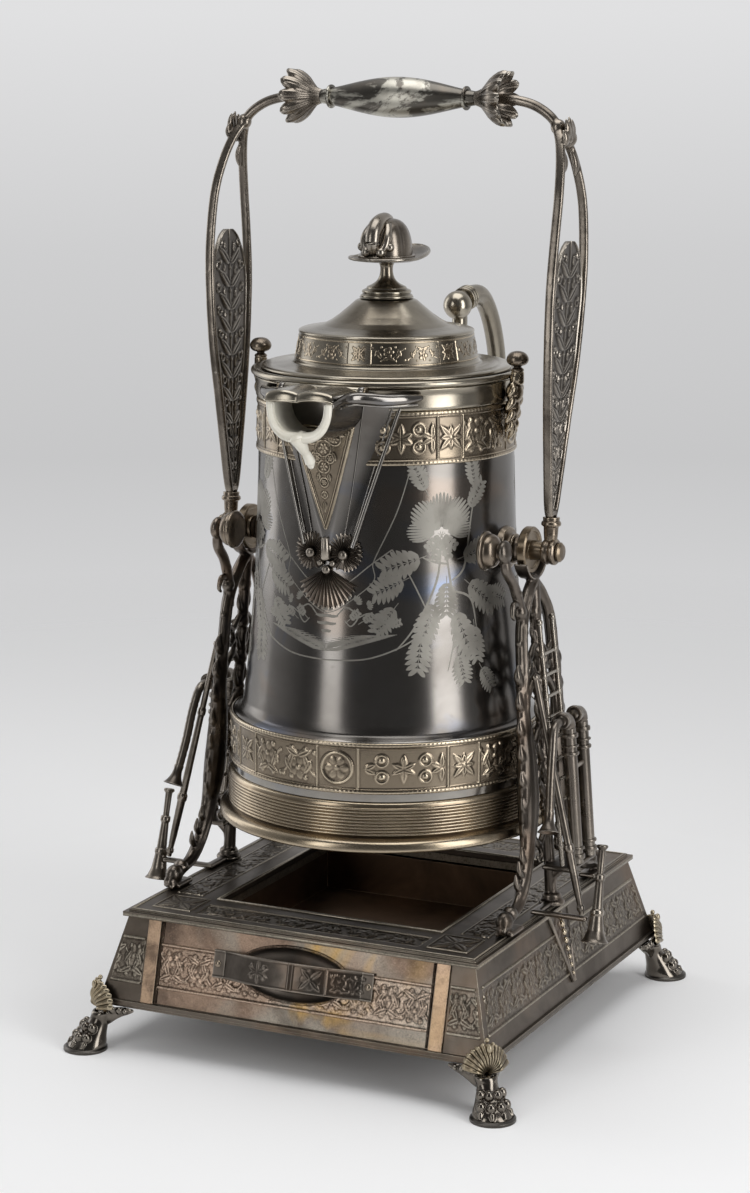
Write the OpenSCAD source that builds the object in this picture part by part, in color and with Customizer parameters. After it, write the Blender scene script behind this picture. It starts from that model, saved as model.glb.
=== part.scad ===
// Victorian tilting water pitcher: a lined silver pitcher that swings between two openwork
// uprights, over a square base with a drip drawer, carried by a tall bail handle.
// Front, where the spout and the drawer are, is -Y. The origin is on the table under the centre.

/* [Base] */
// Width of the top plate, left to right
plate_w = 236.4; // [234:0.2:244]
// Depth of the top plate, front to back
plate_d = 249; // [244:0.5:262]
// Height of the top plate's upper face above the table
plate_z = 86; // [80:0.5:90]
// Thickness of the top plate
plate_t = 4; // [3:0.25:5]
// Width of the border round the opening in the top plate
border = 43.6; // [40:0.2:46]
// How far the top plate overhangs the casing
plate_lip = 2.8; // [1.5:0.1:4]
// Height of the casing's lower edge above the table
casing_z = 30; // [27:0.5:33]
// How far each casing wall leans out between its upper and lower edge
casing_flare = 14; // [11:0.5:16]
// Thickness of the casing's walls
casing_wall = 2; // [1.5:0.1:2.5]
// Thickness of the floor under the casing
floor_t = 1.8; // [1.2:0.1:2.4]
// Height of the moulding round the casing's lower edge
moulding_h = 2.6; // [1.6:0.1:3]
// How far that moulding stands proud of the wall
moulding_out = 1.4; // [0.8:0.1:2]

/* [Drawer] */
// Width of the drawer front
drawer_w = 183; // [170:1:186]
// Depth of the tray, front to back
tray_d = 200; // [190:1:204]
// Height of the tray's underside above the table
tray_z = 47; // [45:0.5:50]
// Height of the tray's walls
tray_h = 29; // [24:0.5:30]
// Thickness of the tray's walls
tray_wall = 1.6; // [1.2:0.1:2.2]
// Height of the pull above the table, at its middle
pull_z = 62; // [60:0.5:64]
// Width of the pull between its ends
pull_w = 106; // [96:1:116]
// Height of the pull's strap
pull_h = 17; // [13:0.5:19]
// Thickness of the pull's strap
pull_t = 1.6; // [1.2:0.1:2.4]
// How far the pull bows out in front of the drawer
pull_bow = 15; // [12:0.5:18]
// Width of the finger cup behind the pull
cup_w = 73; // [64:1:80]
// Height of the finger cup
cup_h = 32; // [26:0.5:34]
// Depth of the finger cup
cup_depth = 9; // [6:0.5:9]
// Width of the plain strips beside the drawer
strip_w = 8.4; // [6:0.2:10]
// Thickness of those strips
strip_t = 1.2; // [0.8:0.1:1.8]

/* [Feet] */
// Radius of the round pad under each paw
pad_r = 13.5; // [12:0.5:15]
// Thickness of that pad
pad_t = 2.6; // [2:0.1:3.4]
// How far each pad's centre lies outside the top plate's edges
foot_reach = 17.6; // [15:0.2:20]
// How far each boot leans in from its pad to its top
boot_lean = 8.4; // [7.6:0.1:9]
// Half the width of the shell's fan on each knee, along the walls
knee_fan = 21; // [17:0.5:22]
// Height of that shell above the boot's top
shell_h = 19; // [16:0.5:20]
// Thickness of the shell between its ribs
shell_t = 1.3; // [1:0.1:1.6]
// How far the shell stands off the walls at its rim
shell_off = 7.4; // [7:0.1:8]
// How far the shell bulges between boot and rim
shell_bulge = 7.4; // [7:0.1:8]
// How softly the shell folds round the corner
corner_fold = 11; // [9:0.5:12]
// Ribs in each knee's shell
knee_ribs = 11; // [9:2:13]

/* [Stand] */
// Height of the trunnion axis above the table
axis_z = 305; // [303:0.5:308]
// Distance from the plate's side edge to the middle of the uprights' feet
foot_inset = 5.6; // [5.4:0.1:6]
// Half the distance between the uprights at the trunnion axis
stand_top_x = 96.5; // [96:0.1:97.5]
// Half the thickness of the uprights' legs
leg_half = 3.3; // [2.6:0.1:3.6]
// Distance from the centre post to the front and rear feet
leg_spread = 66; // [60:1:72]
// Radius of the bearing disc at the trunnion
disc_r = 14.2; // [12:0.2:15]
// Radius of the trunnion pin
pin_r = 4; // [3.5:0.1:4.5]
// Radius of the turned knob on the front scroll
knob_r = 11.8; // [10:0.2:12.5]
// Distance of that knob in front of the trunnion axis
knob_y = 39.7; // [38:0.1:42]
// Width of the ladder between its stiles
ladder_w = 20; // [16:0.5:22]
// Distance between the ladder's rungs
rung_step = 13; // [10:0.5:16]
// Radius of the twin pipes
pipe_r = 4.2; // [3.4:0.1:4.8]
// Distance between the twin pipes
pipe_gap = 20; // [17:0.5:22]
// Radius of the trumpet's bell
bell_r = 8.4; // [7:0.2:9]
// Radius of the screws that hold the uprights and the feet
screw_r = 2; // [1.6:0.1:2.4]

/* [Pitcher] */
// Height of the pitcher's lower edge above the table
pitcher_z = 133.6; // [132:0.2:136]
// Radius of the foot ring's lower edge
ring_r = 104; // [101:0.2:104.4]
// Height of the foot ring
ring_h = 29; // [26:0.5:31]
// Reeds on the foot ring
reeds = 9; // [5:1:10]
// Radius of the body under the lower band
band_r = 95.2; // [93:0.2:96]
// Height of the lower band
band_low_h = 31; // [28:0.5:32]
// Radius of the body just above the lower band
shoulder_r = 89.3; // [87:0.1:90]
// Radius of the body at its neck
neck_r = 76; // [75:0.1:77]
// Height over which the body draws in from shoulder to neck
draw_in = 85; // [75:1:95]
// Height from the pitcher's lower edge to the upper band
band_top_z = 228; // [226:0.5:230]
// Height of the upper band
band_top_h = 31.6; // [28:0.2:33]
// Thickness of the embossed bands
band_t = 1; // [0.7:0.1:1.2]
// Radius of the rolled rim
rim_r = 82.4; // [81:0.2:84]
// Height from the pitcher's lower edge to the middle of the rolled rim
rim_h = 275.6; // [274:0.2:277]
// Radius of the roll itself
roll_r = 2.1; // [1.6:0.1:2.4]
// Thickness of the silver body
body_wall = 1.4; // [1:0.1:1.8]
// Outer radius of the white liner
liner_r = 70; // [67:0.5:71]
// Thickness of the liner
liner_wall = 3; // [2:0.2:4]
// Radius of the sockets that turn on the trunnion pins
socket_r = 8.6; // [7.5:0.1:9.5]

/* [Spout] */
// Distance from the pitcher's axis to the lip's upper corners
lip_y = 116.6; // [112:0.2:120]
// Half the width of the lip at the top
lip_half = 20; // [17:0.2:21]
// Height of the lip, from its lowest point to its corners
lip_h = 21; // [18:0.5:23]
// Height of the lip's corners above the pitcher's lower edge
lip_z = 268; // [267:0.2:269]
// Thickness of the spout's silver casing
spout_wall = 1.6; // [1.2:0.1:2]
// Thickness of the white spout lining
lining_t = 2.6; // [2:0.1:3.2]
// Length of the flap over the spout
flap_l = 30; // [26:0.5:33]
// Radius of the small hinge pins
hinge_pin_r = 1.5; // [1.2:0.1:1.8]

/* [Lid] */
// Radius of the lid's flange
lid_r = 76; // [75:0.1:76.4]
// Radius of the drum at its foot
drum_r = 55.6; // [52:0.2:58]
// Height of the drum
drum_h = 18; // [15:0.5:20]
// Radius of the cone where it leaves the drum
cone_r = 38.5; // [36:0.5:42]
// Height of the cone from the drum to the collar
cone_h = 17; // [14:0.5:20]
// Radius of the stepped collar
collar_r = 15.5; // [13:0.5:17]
// Thickness of the lid's metal
lid_wall = 1.5; // [1.2:0.1:2]

/* [Helmet finial] */
// Half the width of the helmet's crown
crown_r = 15; // [13:0.5:17]
// Height of the crown above the brim
crown_h = 28; // [25:0.5:30]
// Reach of the brim behind the crown's centre
brim_back = 46; // [42:1:52]
// Half the width of the brim
brim_half = 21; // [18:0.5:23]
// Length of the stem under the brim
stem_h = 16; // [13:0.5:18]

/* [Back handle] */
// Distance from the pitcher's axis to the handle's outermost point
handle_out = 180; // [172:1:184]
// Half the thickness of the handle
handle_r = 5; // [4:0.1:6]
// Radius of the bulb at the handle's top end
bulb_r = 8.4; // [7:0.2:9]

/* [Bail] */
// Distance from the trunnion axis to the middle of the grip
bail_h = 267; // [266:0.5:272]
// Half the distance between the bail's hubs
bail_x = 109.2; // [109:0.1:110]
// How far the bail leans back, in degrees
bail_lean = 3.4; // [2:0.1:3.8]
// Radius of the bail's rods
rod_r = 2.8; // [2.4:0.1:3.2]
// Widest half gap between the front and rear rods
rod_spread = 24.5; // [21:0.5:27]
// Radius of the hub at the foot of each bail arm
hub_r = 8; // [7:0.2:9]
// Radius of the grip at its middle
grip_r = 12.2; // [10.5:0.1:12.4]
// Radius of the fluted flares at the grip's ends
flare_r = 17.3; // [15:0.1:18.5]
// Petals in each flare
petals = 10; // [8:1:12]
// Length of the leaf panel between the rods
leaf_l = 160; // [150:1:164]
// Half the width of the leaf panel at its widest
leaf_half = 21.4; // [20:0.2:22]

/* [Fits] */
// Radial clearance of a pin in its bore
fit = 0.05; // [0.03:0.01:0.08]
// Gap left between pieces that are soldered or laid together
seat = 0.2; // [0.15:0.05:0.3]
// Gap left between pieces that move past each other
slip = 0.4; // [0.3:0.05:0.5]

/* [Hidden] */
$fn = 72;

// Finishes
dark = [0.22, 0.20, 0.18];
silver = [0.55, 0.54, 0.52];
warm = [0.52, 0.44, 0.33];
copper = [0.50, 0.39, 0.31];
white = [0.94, 0.93, 0.90];

// The base
top_x = plate_w / 2 - plate_lip;
top_y = plate_d / 2 - plate_lip;
casing_top = plate_z - plate_t;
casing_h = casing_top - casing_z;
wall_lean = atan(casing_flare / casing_h);
open_x = plate_w / 2 - border;
open_y = plate_d / 2 - border;
foot_x = plate_w / 2 + foot_reach;
foot_y = plate_d / 2 + foot_reach;
middle_y = (handle_out - foot_y - pad_r) / 2;
floor_z = casing_z - seat - floor_t;
front_low = casing_z + moulding_h + slip;
tray_half = open_x + 9;
// the pull's strap springs from the front this far inside its ends
strap_half = pull_w / 2 - 8.4;
rivet_x = pull_w / 2 - 3;
rivet_r = 1.1;
head_h = 1.8;

// The uprights
stand_foot_x = plate_w / 2 - foot_inset;
stand_lean = (stand_foot_x - stand_top_x) / (axis_z - plate_z);
disc_in = stand_top_x - 4;
disc_out = stand_top_x + 2;
hub_half = 4.4;
shelf_z = plate_z + 27;
axis_up = (axis_z - plate_z) / cos(atan(stand_lean));
knob_start = 81.4;
knob_end = knob_start + 15.8;
trumpet_x = stand_foot_x + 34.4;
// height of the trumpet's mouthpiece above the plate
trumpet_h = 45;
// how far the trumpet's bell hangs below the plate's top
bell_drop = 12;
// height of the branch pipe's upper end above the plate
branch_h = 147;
// thickness of the bar that carries both
bar_t = 3;
ladder_top = axis_z - 43;
pipe_top = axis_z - 108;

// The pitcher
shoulder_z = pitcher_z + 69;
ring_top = pitcher_z + ring_h;
ring_in = ring_r - 9.6;
low_band_z = pitcher_z + 34;
up_band_z = pitcher_z + band_top_z;
rim_z = pitcher_z + rim_h;
roll_mid = rim_r - roll_r;
lid_z = rim_z + roll_r - 0.4;
body_top = rim_z - roll_r - 1.5;
corner_z = pitcher_z + lip_z;
chin_z = corner_z - lip_h;
lid_hinge_y = lid_r + hinge_pin_r;
lid_hinge_z = lid_z + 3.4;
flap_hinge_y = lip_y - flap_l;
flap_hinge_z = corner_z + 5;
lug_x = lip_half + 4.6;
rim_knob_x = rim_r + 4;
bulb_y = 105;
bulb_z = rim_z + 29;
// the bands' beads stand this far out of them
bead_out = 1;

// The lid
drum_z = lid_z + 4.5;
cone_z = drum_z + drum_h + 3;
collar_z = cone_z + cone_h;
stem_z = collar_z + 7;
brim_z = stem_z + stem_h;

// The bail
ferrule_top = 21;
leaf_low = ferrule_top + 4.6;
flare_end = 73;
flare_in = flare_end - 22 + seat;

function lerp(a, b, t) = a + (b - a) * t;
function unit(v) = v / norm(v);
// Half sizes of the casing's outside at a height
function casing_out(z) = casing_flare * (casing_top - z) / casing_h;
// Distance of the upright's middle plane from the centre at a height
function stand_x(z) = stand_foot_x - stand_lean * (z - plate_z);
// Radius of the pitcher's body at a height above the shoulder
function body_r(z) = neck_r + (shoulder_r - neck_r) * exp(-(z - shoulder_z) / draw_in);

// A smooth curve through hand-chosen points of any dimension
function curve_at(a, b, c, d, t) =
  0.5 * (2 * b + (c - a) * t + (2 * a - 5 * b + 4 * c - d) * t * t
    + (3 * b - a - 3 * c + d) * t * t * t);
function curve(p, steps) = [
  for (i = [0 : len(p) - 2], k = [0 : steps - 1])
    curve_at(p[max(i - 1, 0)], p[i], p[i + 1], p[min(i + 2, len(p) - 1)], k / steps),
  p[len(p) - 1]
];
function xyz(p) = [p[0], p[1], p[2]];
function heading(p, i) = unit(xyz(p[min(i + 1, len(p) - 1)]) - xyz(p[max(i - 1, 0)]));

// A bar of oval section along points [x, y, z, half across, half along side]
module sweep(p, side, sides = 10) {
  rings = [
    for (i = [0 : len(p) - 1])
      let (t = heading(p, i), u = unit(cross(t, side)), v = cross(t, u))
      for (k = [0 : sides - 1])
        xyz(p[i]) + p[i][3] * cos(360 * k / sides) * u + p[i][4] * sin(360 * k / sides) * v
  ];
  last = (len(p) - 1) * sides;
  polyhedron(points = rings, faces = concat(
    [[for (k = [0 : sides - 1]) k]],
    [[for (k = [sides - 1 : -1 : 0]) last + k]],
    [for (i = [0 : len(p) - 2], k = [0 : sides - 1])
      let (a = i * sides + k, b = i * sides + (k + 1) % sides) [a, a + sides, b]],
    [for (i = [0 : len(p) - 2], k = [0 : sides - 1])
      let (a = i * sides + k, b = i * sides + (k + 1) % sides) [b, a + sides, b + sides]]
  ));
}

// A thin sheet between two grids of points that face each other, row by row
module sheet(front, rear) {
  rows = len(front);
  cols = len(front[0]);
  n = rows * cols;
  last = n - cols;
  function split(a, b, c, d) = [[a, b, c], [a, c, d]];
  faces = concat(
    [for (i = [0 : rows - 2], j = [0 : cols - 2]) let (a = i * cols + j)
      each split(a, a + 1, a + cols + 1, a + cols)],
    [for (i = [0 : rows - 2], j = [0 : cols - 2]) let (a = n + i * cols + j)
      each split(a, a + cols, a + cols + 1, a + 1)],
    [for (j = [0 : cols - 2]) each split(j, j + n, j + n + 1, j + 1)],
    [for (j = [last : n - 2]) each split(j, j + 1, j + n + 1, j + n)],
    [for (i = [0 : cols : last - 1]) each split(i, i + cols, i + n + cols, i + n)],
    [for (i = [cols - 1 : cols : last - 1]) each split(i, i + n, i + n + cols, i + cols)]
  );
  points = concat([for (r = front) each r], [for (r = rear) each r]);
  polyhedron(points = points, faces = faces);
}

// A round bar between two points, as a cone with flat ends
module bar(a, b, r1, r2) {
  d = b - a;
  translate(a)
    rotate([0, acos(d[2] / norm(d)), atan2(d[1], d[0])])
      cylinder(h = norm(d), r1 = r1, r2 = r2, $fn = 24);
}

// Something turned on an axis that runs from one point towards another
module turned(a, b, outline) {
  d = b - a;
  translate(a)
    rotate([0, acos(d[2] / norm(d)), atan2(d[1], d[0])])
      rotate_extrude($fn = 32) polygon(outline);
}

// A lobe between two round ends
module lobe(a, r1, b, r2, round_fn = 8) {
  hull() {
    translate(a) sphere(r = r1, $fn = round_fn);
    translate(b) sphere(r = r2, $fn = round_fn);
  }
}

// A flat strip along a curve of points [x, y, half width]
function side_of(p, i) =
  let (a = p[max(i - 1, 0)], b = p[min(i + 1, len(p) - 1)], t = unit([b[0] - a[0], b[1] - a[1]]))
  [-t[1], t[0]] * p[i][2];
module strip(points, steps = 4) {
  p = curve(points, steps);
  n = len(p) - 1;
  polygon(concat(
    [for (i = [0 : n]) [p[i][0], p[i][1]] + side_of(p, i)],
    [for (i = [n : -1 : 0]) [p[i][0], p[i][1]] - side_of(p, i)]
  ));
}

// A chain of round rods with a ball at each joint
module rods(points, r) {
  for (i = [0 : len(points) - 2]) bar(points[i], points[i + 1], r, r);
  for (i = [1 : len(points) - 2]) translate(points[i]) sphere(r = r + 0.25, $fn = 24);
}

// The colour of a piece, and its place with the origin under the middle of the whole
module made_of(finish) {
  translate([0, -middle_y, 0]) color(finish) children();
}

module both_sides() {
  children();
  mirror([1, 0, 0]) children();
}

// A four-sided block whose walls lean, between two heights, grown outwards by some amount
module leaning_block(low, high, grow) {
  lx = top_x + casing_out(low) + grow;
  ly = top_y + casing_out(low) + grow;
  hx = top_x + casing_out(high) + grow;
  hy = top_y + casing_out(high) + grow;
  polyhedron(
    points = [
      [-lx, -ly, low], [lx, -ly, low], [lx, ly, low], [-lx, ly, low],
      [-hx, -hy, high], [hx, -hy, high], [hx, hy, high], [-hx, hy, high]
    ],
    faces = [
      [0, 1, 2, 3], [7, 6, 5, 4], [0, 4, 5, 1], [1, 5, 6, 2], [2, 6, 7, 3], [3, 7, 4, 0]
    ]
  );
}

// Children drawn on the front wall: X across, Y up the wall, Z out of it, from the pull's height
module on_front() {
  translate([0, -top_y - casing_out(pull_z), pull_z])
    rotate([90 - wall_lean, 0, 0]) children();
}

module base_casing() {
  made_of(dark) difference() {
    leaning_block(casing_z, casing_top - seat, 0);
    leaning_block(casing_z - 1, casing_top + 1, -casing_wall);
    translate([-drawer_w / 2 - slip, -plate_d, front_low - slip])
      cube([drawer_w + 2 * slip, plate_d, casing_h]);
  }
}

module top_plate() {
  made_of(dark) difference() {
    union() {
      translate([-plate_w / 2, -plate_d / 2, casing_top])
        cube([plate_w, plate_d, plate_t - 1.2]);
      translate([-top_x, -top_y, casing_top + plate_t - 1.2 - 0.01])
        cube([2 * top_x, 2 * top_y, 1.21]);
    }
    translate([-open_x, -open_y, casing_top - 1])
      cube([2 * open_x, 2 * open_y, plate_t + 2]);
    // a sunk border between the outer edge and the opening, clear of the uprights' feet
    for (s = [-1, 1])
      translate([-open_x, s * (open_y + border / 2) - border * 0.22, plate_z - 0.8])
        cube([2 * open_x, border * 0.44, 2]);
    both_sides() for (y = [-leg_spread, 0, leg_spread])
      translate([stand_foot_x, y, casing_top - 1]) {
        cylinder(h = plate_t + 2, r = screw_r + seat, $fn = 32);
        cylinder(h = 1 + head_h + seat, r = 2 * screw_r + seat, $fn = 32);
      }
  }
}

module base_floor() {
  w = top_x + casing_flare;
  d = top_y + casing_flare;
  made_of(dark) difference() {
    translate([-w, -d, floor_z]) cube([2 * w, 2 * d, floor_t]);
    for (sx = [-1, 1], sy = [-1, 1])
      translate([sx * (w - 12), sy * (d - 12), floor_z - 1])
        cylinder(h = floor_t + 2, r = screw_r + seat, $fn = 32);
  }
}

module bottom_moulding() {
  w = top_x + casing_flare + moulding_out;
  d = top_y + casing_flare + moulding_out;
  made_of(dark) difference() {
    translate([-w, -d, casing_z]) cube([2 * w, 2 * d, moulding_h]);
    leaning_block(casing_z - 1, casing_z + moulding_h + 1, seat);
  }
}

// Two raised rails with guide lips, which carry the tray
module drawer_runners() {
  low = casing_z + seat;
  made_of(dark) both_sides()
    translate([tray_half - 8, -top_y + 6, low]) {
      cube([8 + slip + 2, 2 * top_y - 12, tray_z - slip - low]);
      translate([8 + slip, 0, 0]) cube([2, 2 * top_y - 12, tray_z + 7 - low]);
    }
}

module front_strips() {
  made_of(copper) both_sides()
    intersection() {
      difference() {
        leaning_block(casing_z + moulding_h + seat, casing_top - seat, strip_t + seat);
        leaning_block(casing_z, casing_top + 1, seat);
      }
      translate([drawer_w / 2 + slip, -plate_d, casing_z]) cube([strip_w, plate_d, casing_h]);
    }
}

// A pointed drop with a string of beads, hung under the top plate on each side wall
module side_drops() {
  drop_h = casing_h - moulding_h - 4;
  made_of(warm) both_sides() difference() {
    translate([top_x + seat + casing_out(casing_top - seat), 0, casing_top - 2 * seat])
      rotate([0, 180 - wall_lean, 0]) mirror([1, 0, 0]) {
        rotate([0, 90, 0]) mirror([1, 0, 0]) linear_extrude(1.4)
          polygon([[0, -15], [0, 15], [drop_h, 1.6], [drop_h, -1.6]]);
        for (i = [1 : 7])
          translate([1.4, 0, i * drop_h / 8.2])
            sphere(r = lerp(3, 1.9, i / 7), $fn = 20);
      }
    leaning_block(casing_z - 1, casing_top, seat);
  }
}

// One paw foot with a ribbed shell on its knee, for the corner at +X +Y
// The knee is the boot's open top, close to the corner of the floor
knee = [foot_x - boot_lean, foot_y - boot_lean, casing_z - 6.6];
// A point on the shell: share runs across the fan from -1 to 1, t from the knee out to the rim
function shell_at(share, t, raised) =
  let (
    z = knee[2] + shell_h * cos(78 * share),
    aside = knee_fan * sin(78 * share),
    fold = norm([aside, corner_fold]),
    off = casing_out(z) + shell_off,
    rim = [top_x + off - (fold - aside) / 2, top_y + off - (fold + aside) / 2, z],
    bulge = shell_bulge * sin(180 * t) + raised
  )
  knee + (rim - knee) * t + bulge * [0.66, 0.66, 0.1];
function rib_at(share) = pow(abs(sin(90 * knee_ribs * (share + 1))), 0.6);

module foot() {
  steps = knee_ribs * 4;
  shares = [for (i = [0 : steps]) 1 - 2 * i / steps];
  reach = [for (j = [0 : 4]) 0.12 + 0.88 * j / 4];
  middle = [foot_x - boot_lean * 0.42, foot_y - boot_lean * 0.42, pad_t + 8.4];
  corner = [top_x + casing_out(casing_z), top_y + casing_out(casing_z)];
  difference() {
    union() {
      sheet(
        [for (k = shares) [for (t = reach) shell_at(k, t, rib_at(k) * (0.5 + 1.1 * t))]],
        [for (k = shares) [for (t = reach) shell_at(k, t, -shell_t)]]
      );
      lobe(knee - [0, 0, 2], 6.4, middle, 7.4, 12);
      lobe(middle, 7.6, [foot_x - 0.6, foot_y - 0.6, pad_t + 3], 10.4, 12);
      for (a = [-57, -19, 19, 57]) {
        way = [cos(45 + a), sin(45 + a), 0];
        toe = [foot_x - 2, foot_y - 2, pad_t + 6.4] + way * 8.7;
        lobe(middle + way * 6.6 + [0, 0, 3.4], 2.9, toe, 2.9, 8);
        lobe(toe, 2.8, [foot_x - 0.6, foot_y - 0.6, pad_t + 1.6] + way * 10.6, 1.7, 8);
      }
      // the flange under the floor, which the screw holds
      translate([corner[0] - 21, corner[1] - 21, floor_z - seat - 4]) cube([18, 18, 4]);
      translate([foot_x, foot_y, pad_t + seat]) cylinder(h = 5, r = pad_r - 4.5, $fn = 20);
    }
    translate([top_x + casing_flare - 12, top_y + casing_flare - 12, floor_z - 8])
      cylinder(h = 9, r = screw_r + seat, $fn = 20);
    translate([0, 0, floor_z - seat]) cube([
      corner[0] + moulding_out + seat, corner[1] + moulding_out + seat,
      moulding_h + floor_t + 2 * seat
    ]);
    translate([0, 0, -20]) cube([400, 400, 20 + pad_t + seat]);
    leaning_block(casing_z - 1, casing_top, seat);
  }
}
module foot_front_left() { made_of(dark) rotate([0, 0, 180]) foot(); }
module foot_front_right() { made_of(dark) mirror([0, 1, 0]) foot(); }
module foot_rear_left() { made_of(dark) mirror([1, 0, 0]) foot(); }
module foot_rear_right() { made_of(dark) foot(); }

module foot_pads() {
  made_of(dark) for (sx = [-1, 1], sy = [-1, 1]) translate([sx * foot_x, sy * foot_y, 0])
    rotate_extrude() polygon([
      [0, 0], [pad_r, 0], [pad_r, pad_t * 0.6], [pad_r - 1.2, pad_t], [0, pad_t]
    ]);
}

module foot_screws() {
  made_of(warm) for (sx = [-1, 1], sy = [-1, 1])
    translate([sx * (top_x + casing_flare - 12), sy * (top_y + casing_flare - 12), 0]) {
      translate([0, 0, floor_z - 3.6]) cylinder(h = floor_t + 3.7 + seat, r = screw_r, $fn = 32);
      translate([0, 0, casing_z]) cylinder(h = 1.6, r = 2 * screw_r, $fn = 32);
    }
}

// The drawer

module drip_tray() {
  front = -top_y + 4;
  top = tray_z + tray_h;
  made_of([0.20, 0.14, 0.10]) difference() {
    union() {
      translate([-tray_half, front, tray_z]) cube([2 * tray_half, tray_d, tray_h]);
      // a shelf that reaches forward to the drawer front
      intersection() {
        translate([-tray_half, front - 30, tray_z]) cube([2 * tray_half, 31, tray_wall]);
        leaning_block(casing_z, casing_top, -casing_wall - seat);
      }
    }
    translate([-tray_half + tray_wall, front + tray_wall, tray_z + tray_wall])
      cube([2 * (tray_half - tray_wall), tray_d - 2 * tray_wall, tray_h]);
    // room for the finger cup
    translate([-cup_w / 2 - 3, front - 1, tray_z + tray_wall])
      cube([cup_w + 6, tray_wall + 1.5, tray_h]);
    on_front() translate([0, 0, -cup_depth - slip]) linear_extrude(2 * cup_depth) cup_outline(slip);
  }
}

module cup_outline(grow) {
  scale([(cup_w / 2 + grow) / (cup_h / 2 + grow), 1]) circle(r = cup_h / 2 + grow, $fn = 40);
}

module drawer_front() {
  made_of(copper) difference() {
    intersection() {
      difference() {
        leaning_block(front_low, casing_top - slip, 0);
        leaning_block(front_low - 1, casing_top, -casing_wall);
      }
      translate([-drawer_w / 2, -plate_d, front_low]) cube([drawer_w, plate_d, casing_h]);
    }
    on_front() translate([0, 0, -6]) linear_extrude(12) cup_outline(0);
    for (s = [-1, 1]) on_front() translate([s * rivet_x, 0, -6])
      cylinder(h = 12, r = rivet_r + seat, $fn = 24);
  }
}

// The sunk cup that gives the fingers room behind the pull
module finger_cup() {
  made_of(warm) on_front() translate([0, 0, -cup_depth]) difference() {
    linear_extrude(cup_depth) cup_outline(-seat);
    translate([0, 0, 1]) linear_extrude(cup_depth) cup_outline(-seat - 1);
  }
}

module strap_pull() {
  reach = pull_bow - pull_t;
  r = (pow(strap_half, 2) + reach * reach) / (2 * reach);
  made_of(dark) on_front() difference() {
    union() {
      intersection() {
        translate([0, -pull_h / 2, reach - r + seat]) rotate([-90, 0, 0])
          difference() {
            cylinder(h = pull_h, r = r + pull_t, $fn = 200);
            translate([0, 0, -1]) cylinder(h = pull_h + 2, r = r, $fn = 200);
          }
        translate([-pull_w / 2, -pull_h / 2, seat]) cube([pull_w, pull_h, pull_bow + 2]);
      }
      for (s = [-1, 1])
        translate([s * (pull_w / 2 - 4.6) - 4.6, -pull_h / 2, seat]) cube([9.2, pull_h, pull_t]);
    }
    for (s = [-1, 1]) translate([s * rivet_x, 0, -1]) cylinder(h = 5, r = rivet_r + seat, $fn = 24);
  }
}

module pull_rivets() {
  made_of(warm) for (s = [-1, 1]) on_front() translate([s * rivet_x, 0, 0]) {
    translate([0, 0, -casing_wall - 1.2])
      cylinder(h = casing_wall + 1.2 + pull_t + 2 * seat, r = rivet_r, $fn = 24);
    translate([0, 0, -casing_wall - 1.4 - seat]) cylinder(h = 1.4, r = 2 * rivet_r, $fn = 24);
    translate([0, 0, pull_t + 2 * seat]) cylinder(h = 0.9, r1 = 2 * rivet_r, r2 = rivet_r, $fn = 24);
  }
}

// The uprights, drawn on the right and mirrored for the left

// Children drawn flat stand in the upright's leaning plane: X to the rear, Y up from the plate
module on_upright(thick) {
  translate([stand_foot_x, 0, plate_z]) rotate([0, -atan(stand_lean), 0]) rotate([90, 0, 90])
    linear_extrude(thick, center = true) children();
}

// One cabriole leg; the front one has side -1
module leg_shape(side, slim) {
  strip([
    [side * (leg_spread + 9), 4.2, 2.4 - slim], [side * (leg_spread - 2), 9.5, 4.2 - slim],
    [side * (leg_spread - 15), 13.5, 4.6 - slim], [side * (leg_spread - 27), 26, 5 - slim],
    [side * 31, 46, 6 - slim], [side * 26.5, 70, 8.2 - slim], [side * 25, 96, 7 - slim],
    [side * 26, 122, 5 - slim], [side * 24, 150, 4.2 - slim], [side * 21, 176, 4.4 - slim],
    [side * 10, 193, 4 - slim], [0, axis_up - disc_r - 5, 5 - slim]
  ], 4);
}

module upright_shape() {
  difference() {
    union() {
      for (side = [-1, 1]) {
        leg_shape(side, 0);
        // leaves on the knee of the leg
        for (k = [0 : 3])
          strip([
            [side * 28, 50 + 13 * k, 4], [side * (34 - 0.6 * k), 56 + 14 * k, 3.4],
            [side * (38 - 1.6 * k), 66 + 13.4 * k, 0.8]
          ]);
        // scrolled ties between the legs and the post
        for (v = [44, 106, 158]) strip([
          [side * 27, v + 10, 2], [side * 15, v - 3, 2.4], [side * 5, v + 4, 2], [0, v + 2, 2.4]
        ]);
        for (v = [74, 134]) strip([
          [side * 24, v - 8, 2], [side * 12, v + 5, 2.4], [side * 4, v - 1, 2], [0, v, 2.4]
        ]);
        // toes
        translate([side * (leg_spread + 10), 4.6]) circle(r = 3.4, $fn = 20);
      }
      strip([[0, 2, 4.4], [0, 40, 3.4], [0, 120, 3], [0, axis_up - disc_r - 6, 4.4]]);
      for (v = [62 : 24 : 182]) translate([0, v]) circle(r = 5.4, $fn = 24);
      // the arm that carries the front knob
      strip([
        [-20, axis_up - 48, 4], [-22, axis_up - 32, 3.6], [-29, axis_up - 17, 3.4],
        [-knob_y + 1, axis_up - 6, 3.4], [-knob_y, axis_up + 5, 3]
      ]);
      translate([-knob_y, axis_up + 5]) circle(r = knob_r - 4.4, $fn = 32);
      // the saddle under the bearing disc
      intersection() {
        translate([0, axis_up]) circle(r = disc_r + 3.4, $fn = 48);
        translate([-disc_r - 4, axis_up - disc_r - 8]) square([2 * disc_r + 8, disc_r + 1]);
      }
    }
    translate([-100, -20]) square([200, 20 + seat]);
  }
}

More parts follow.
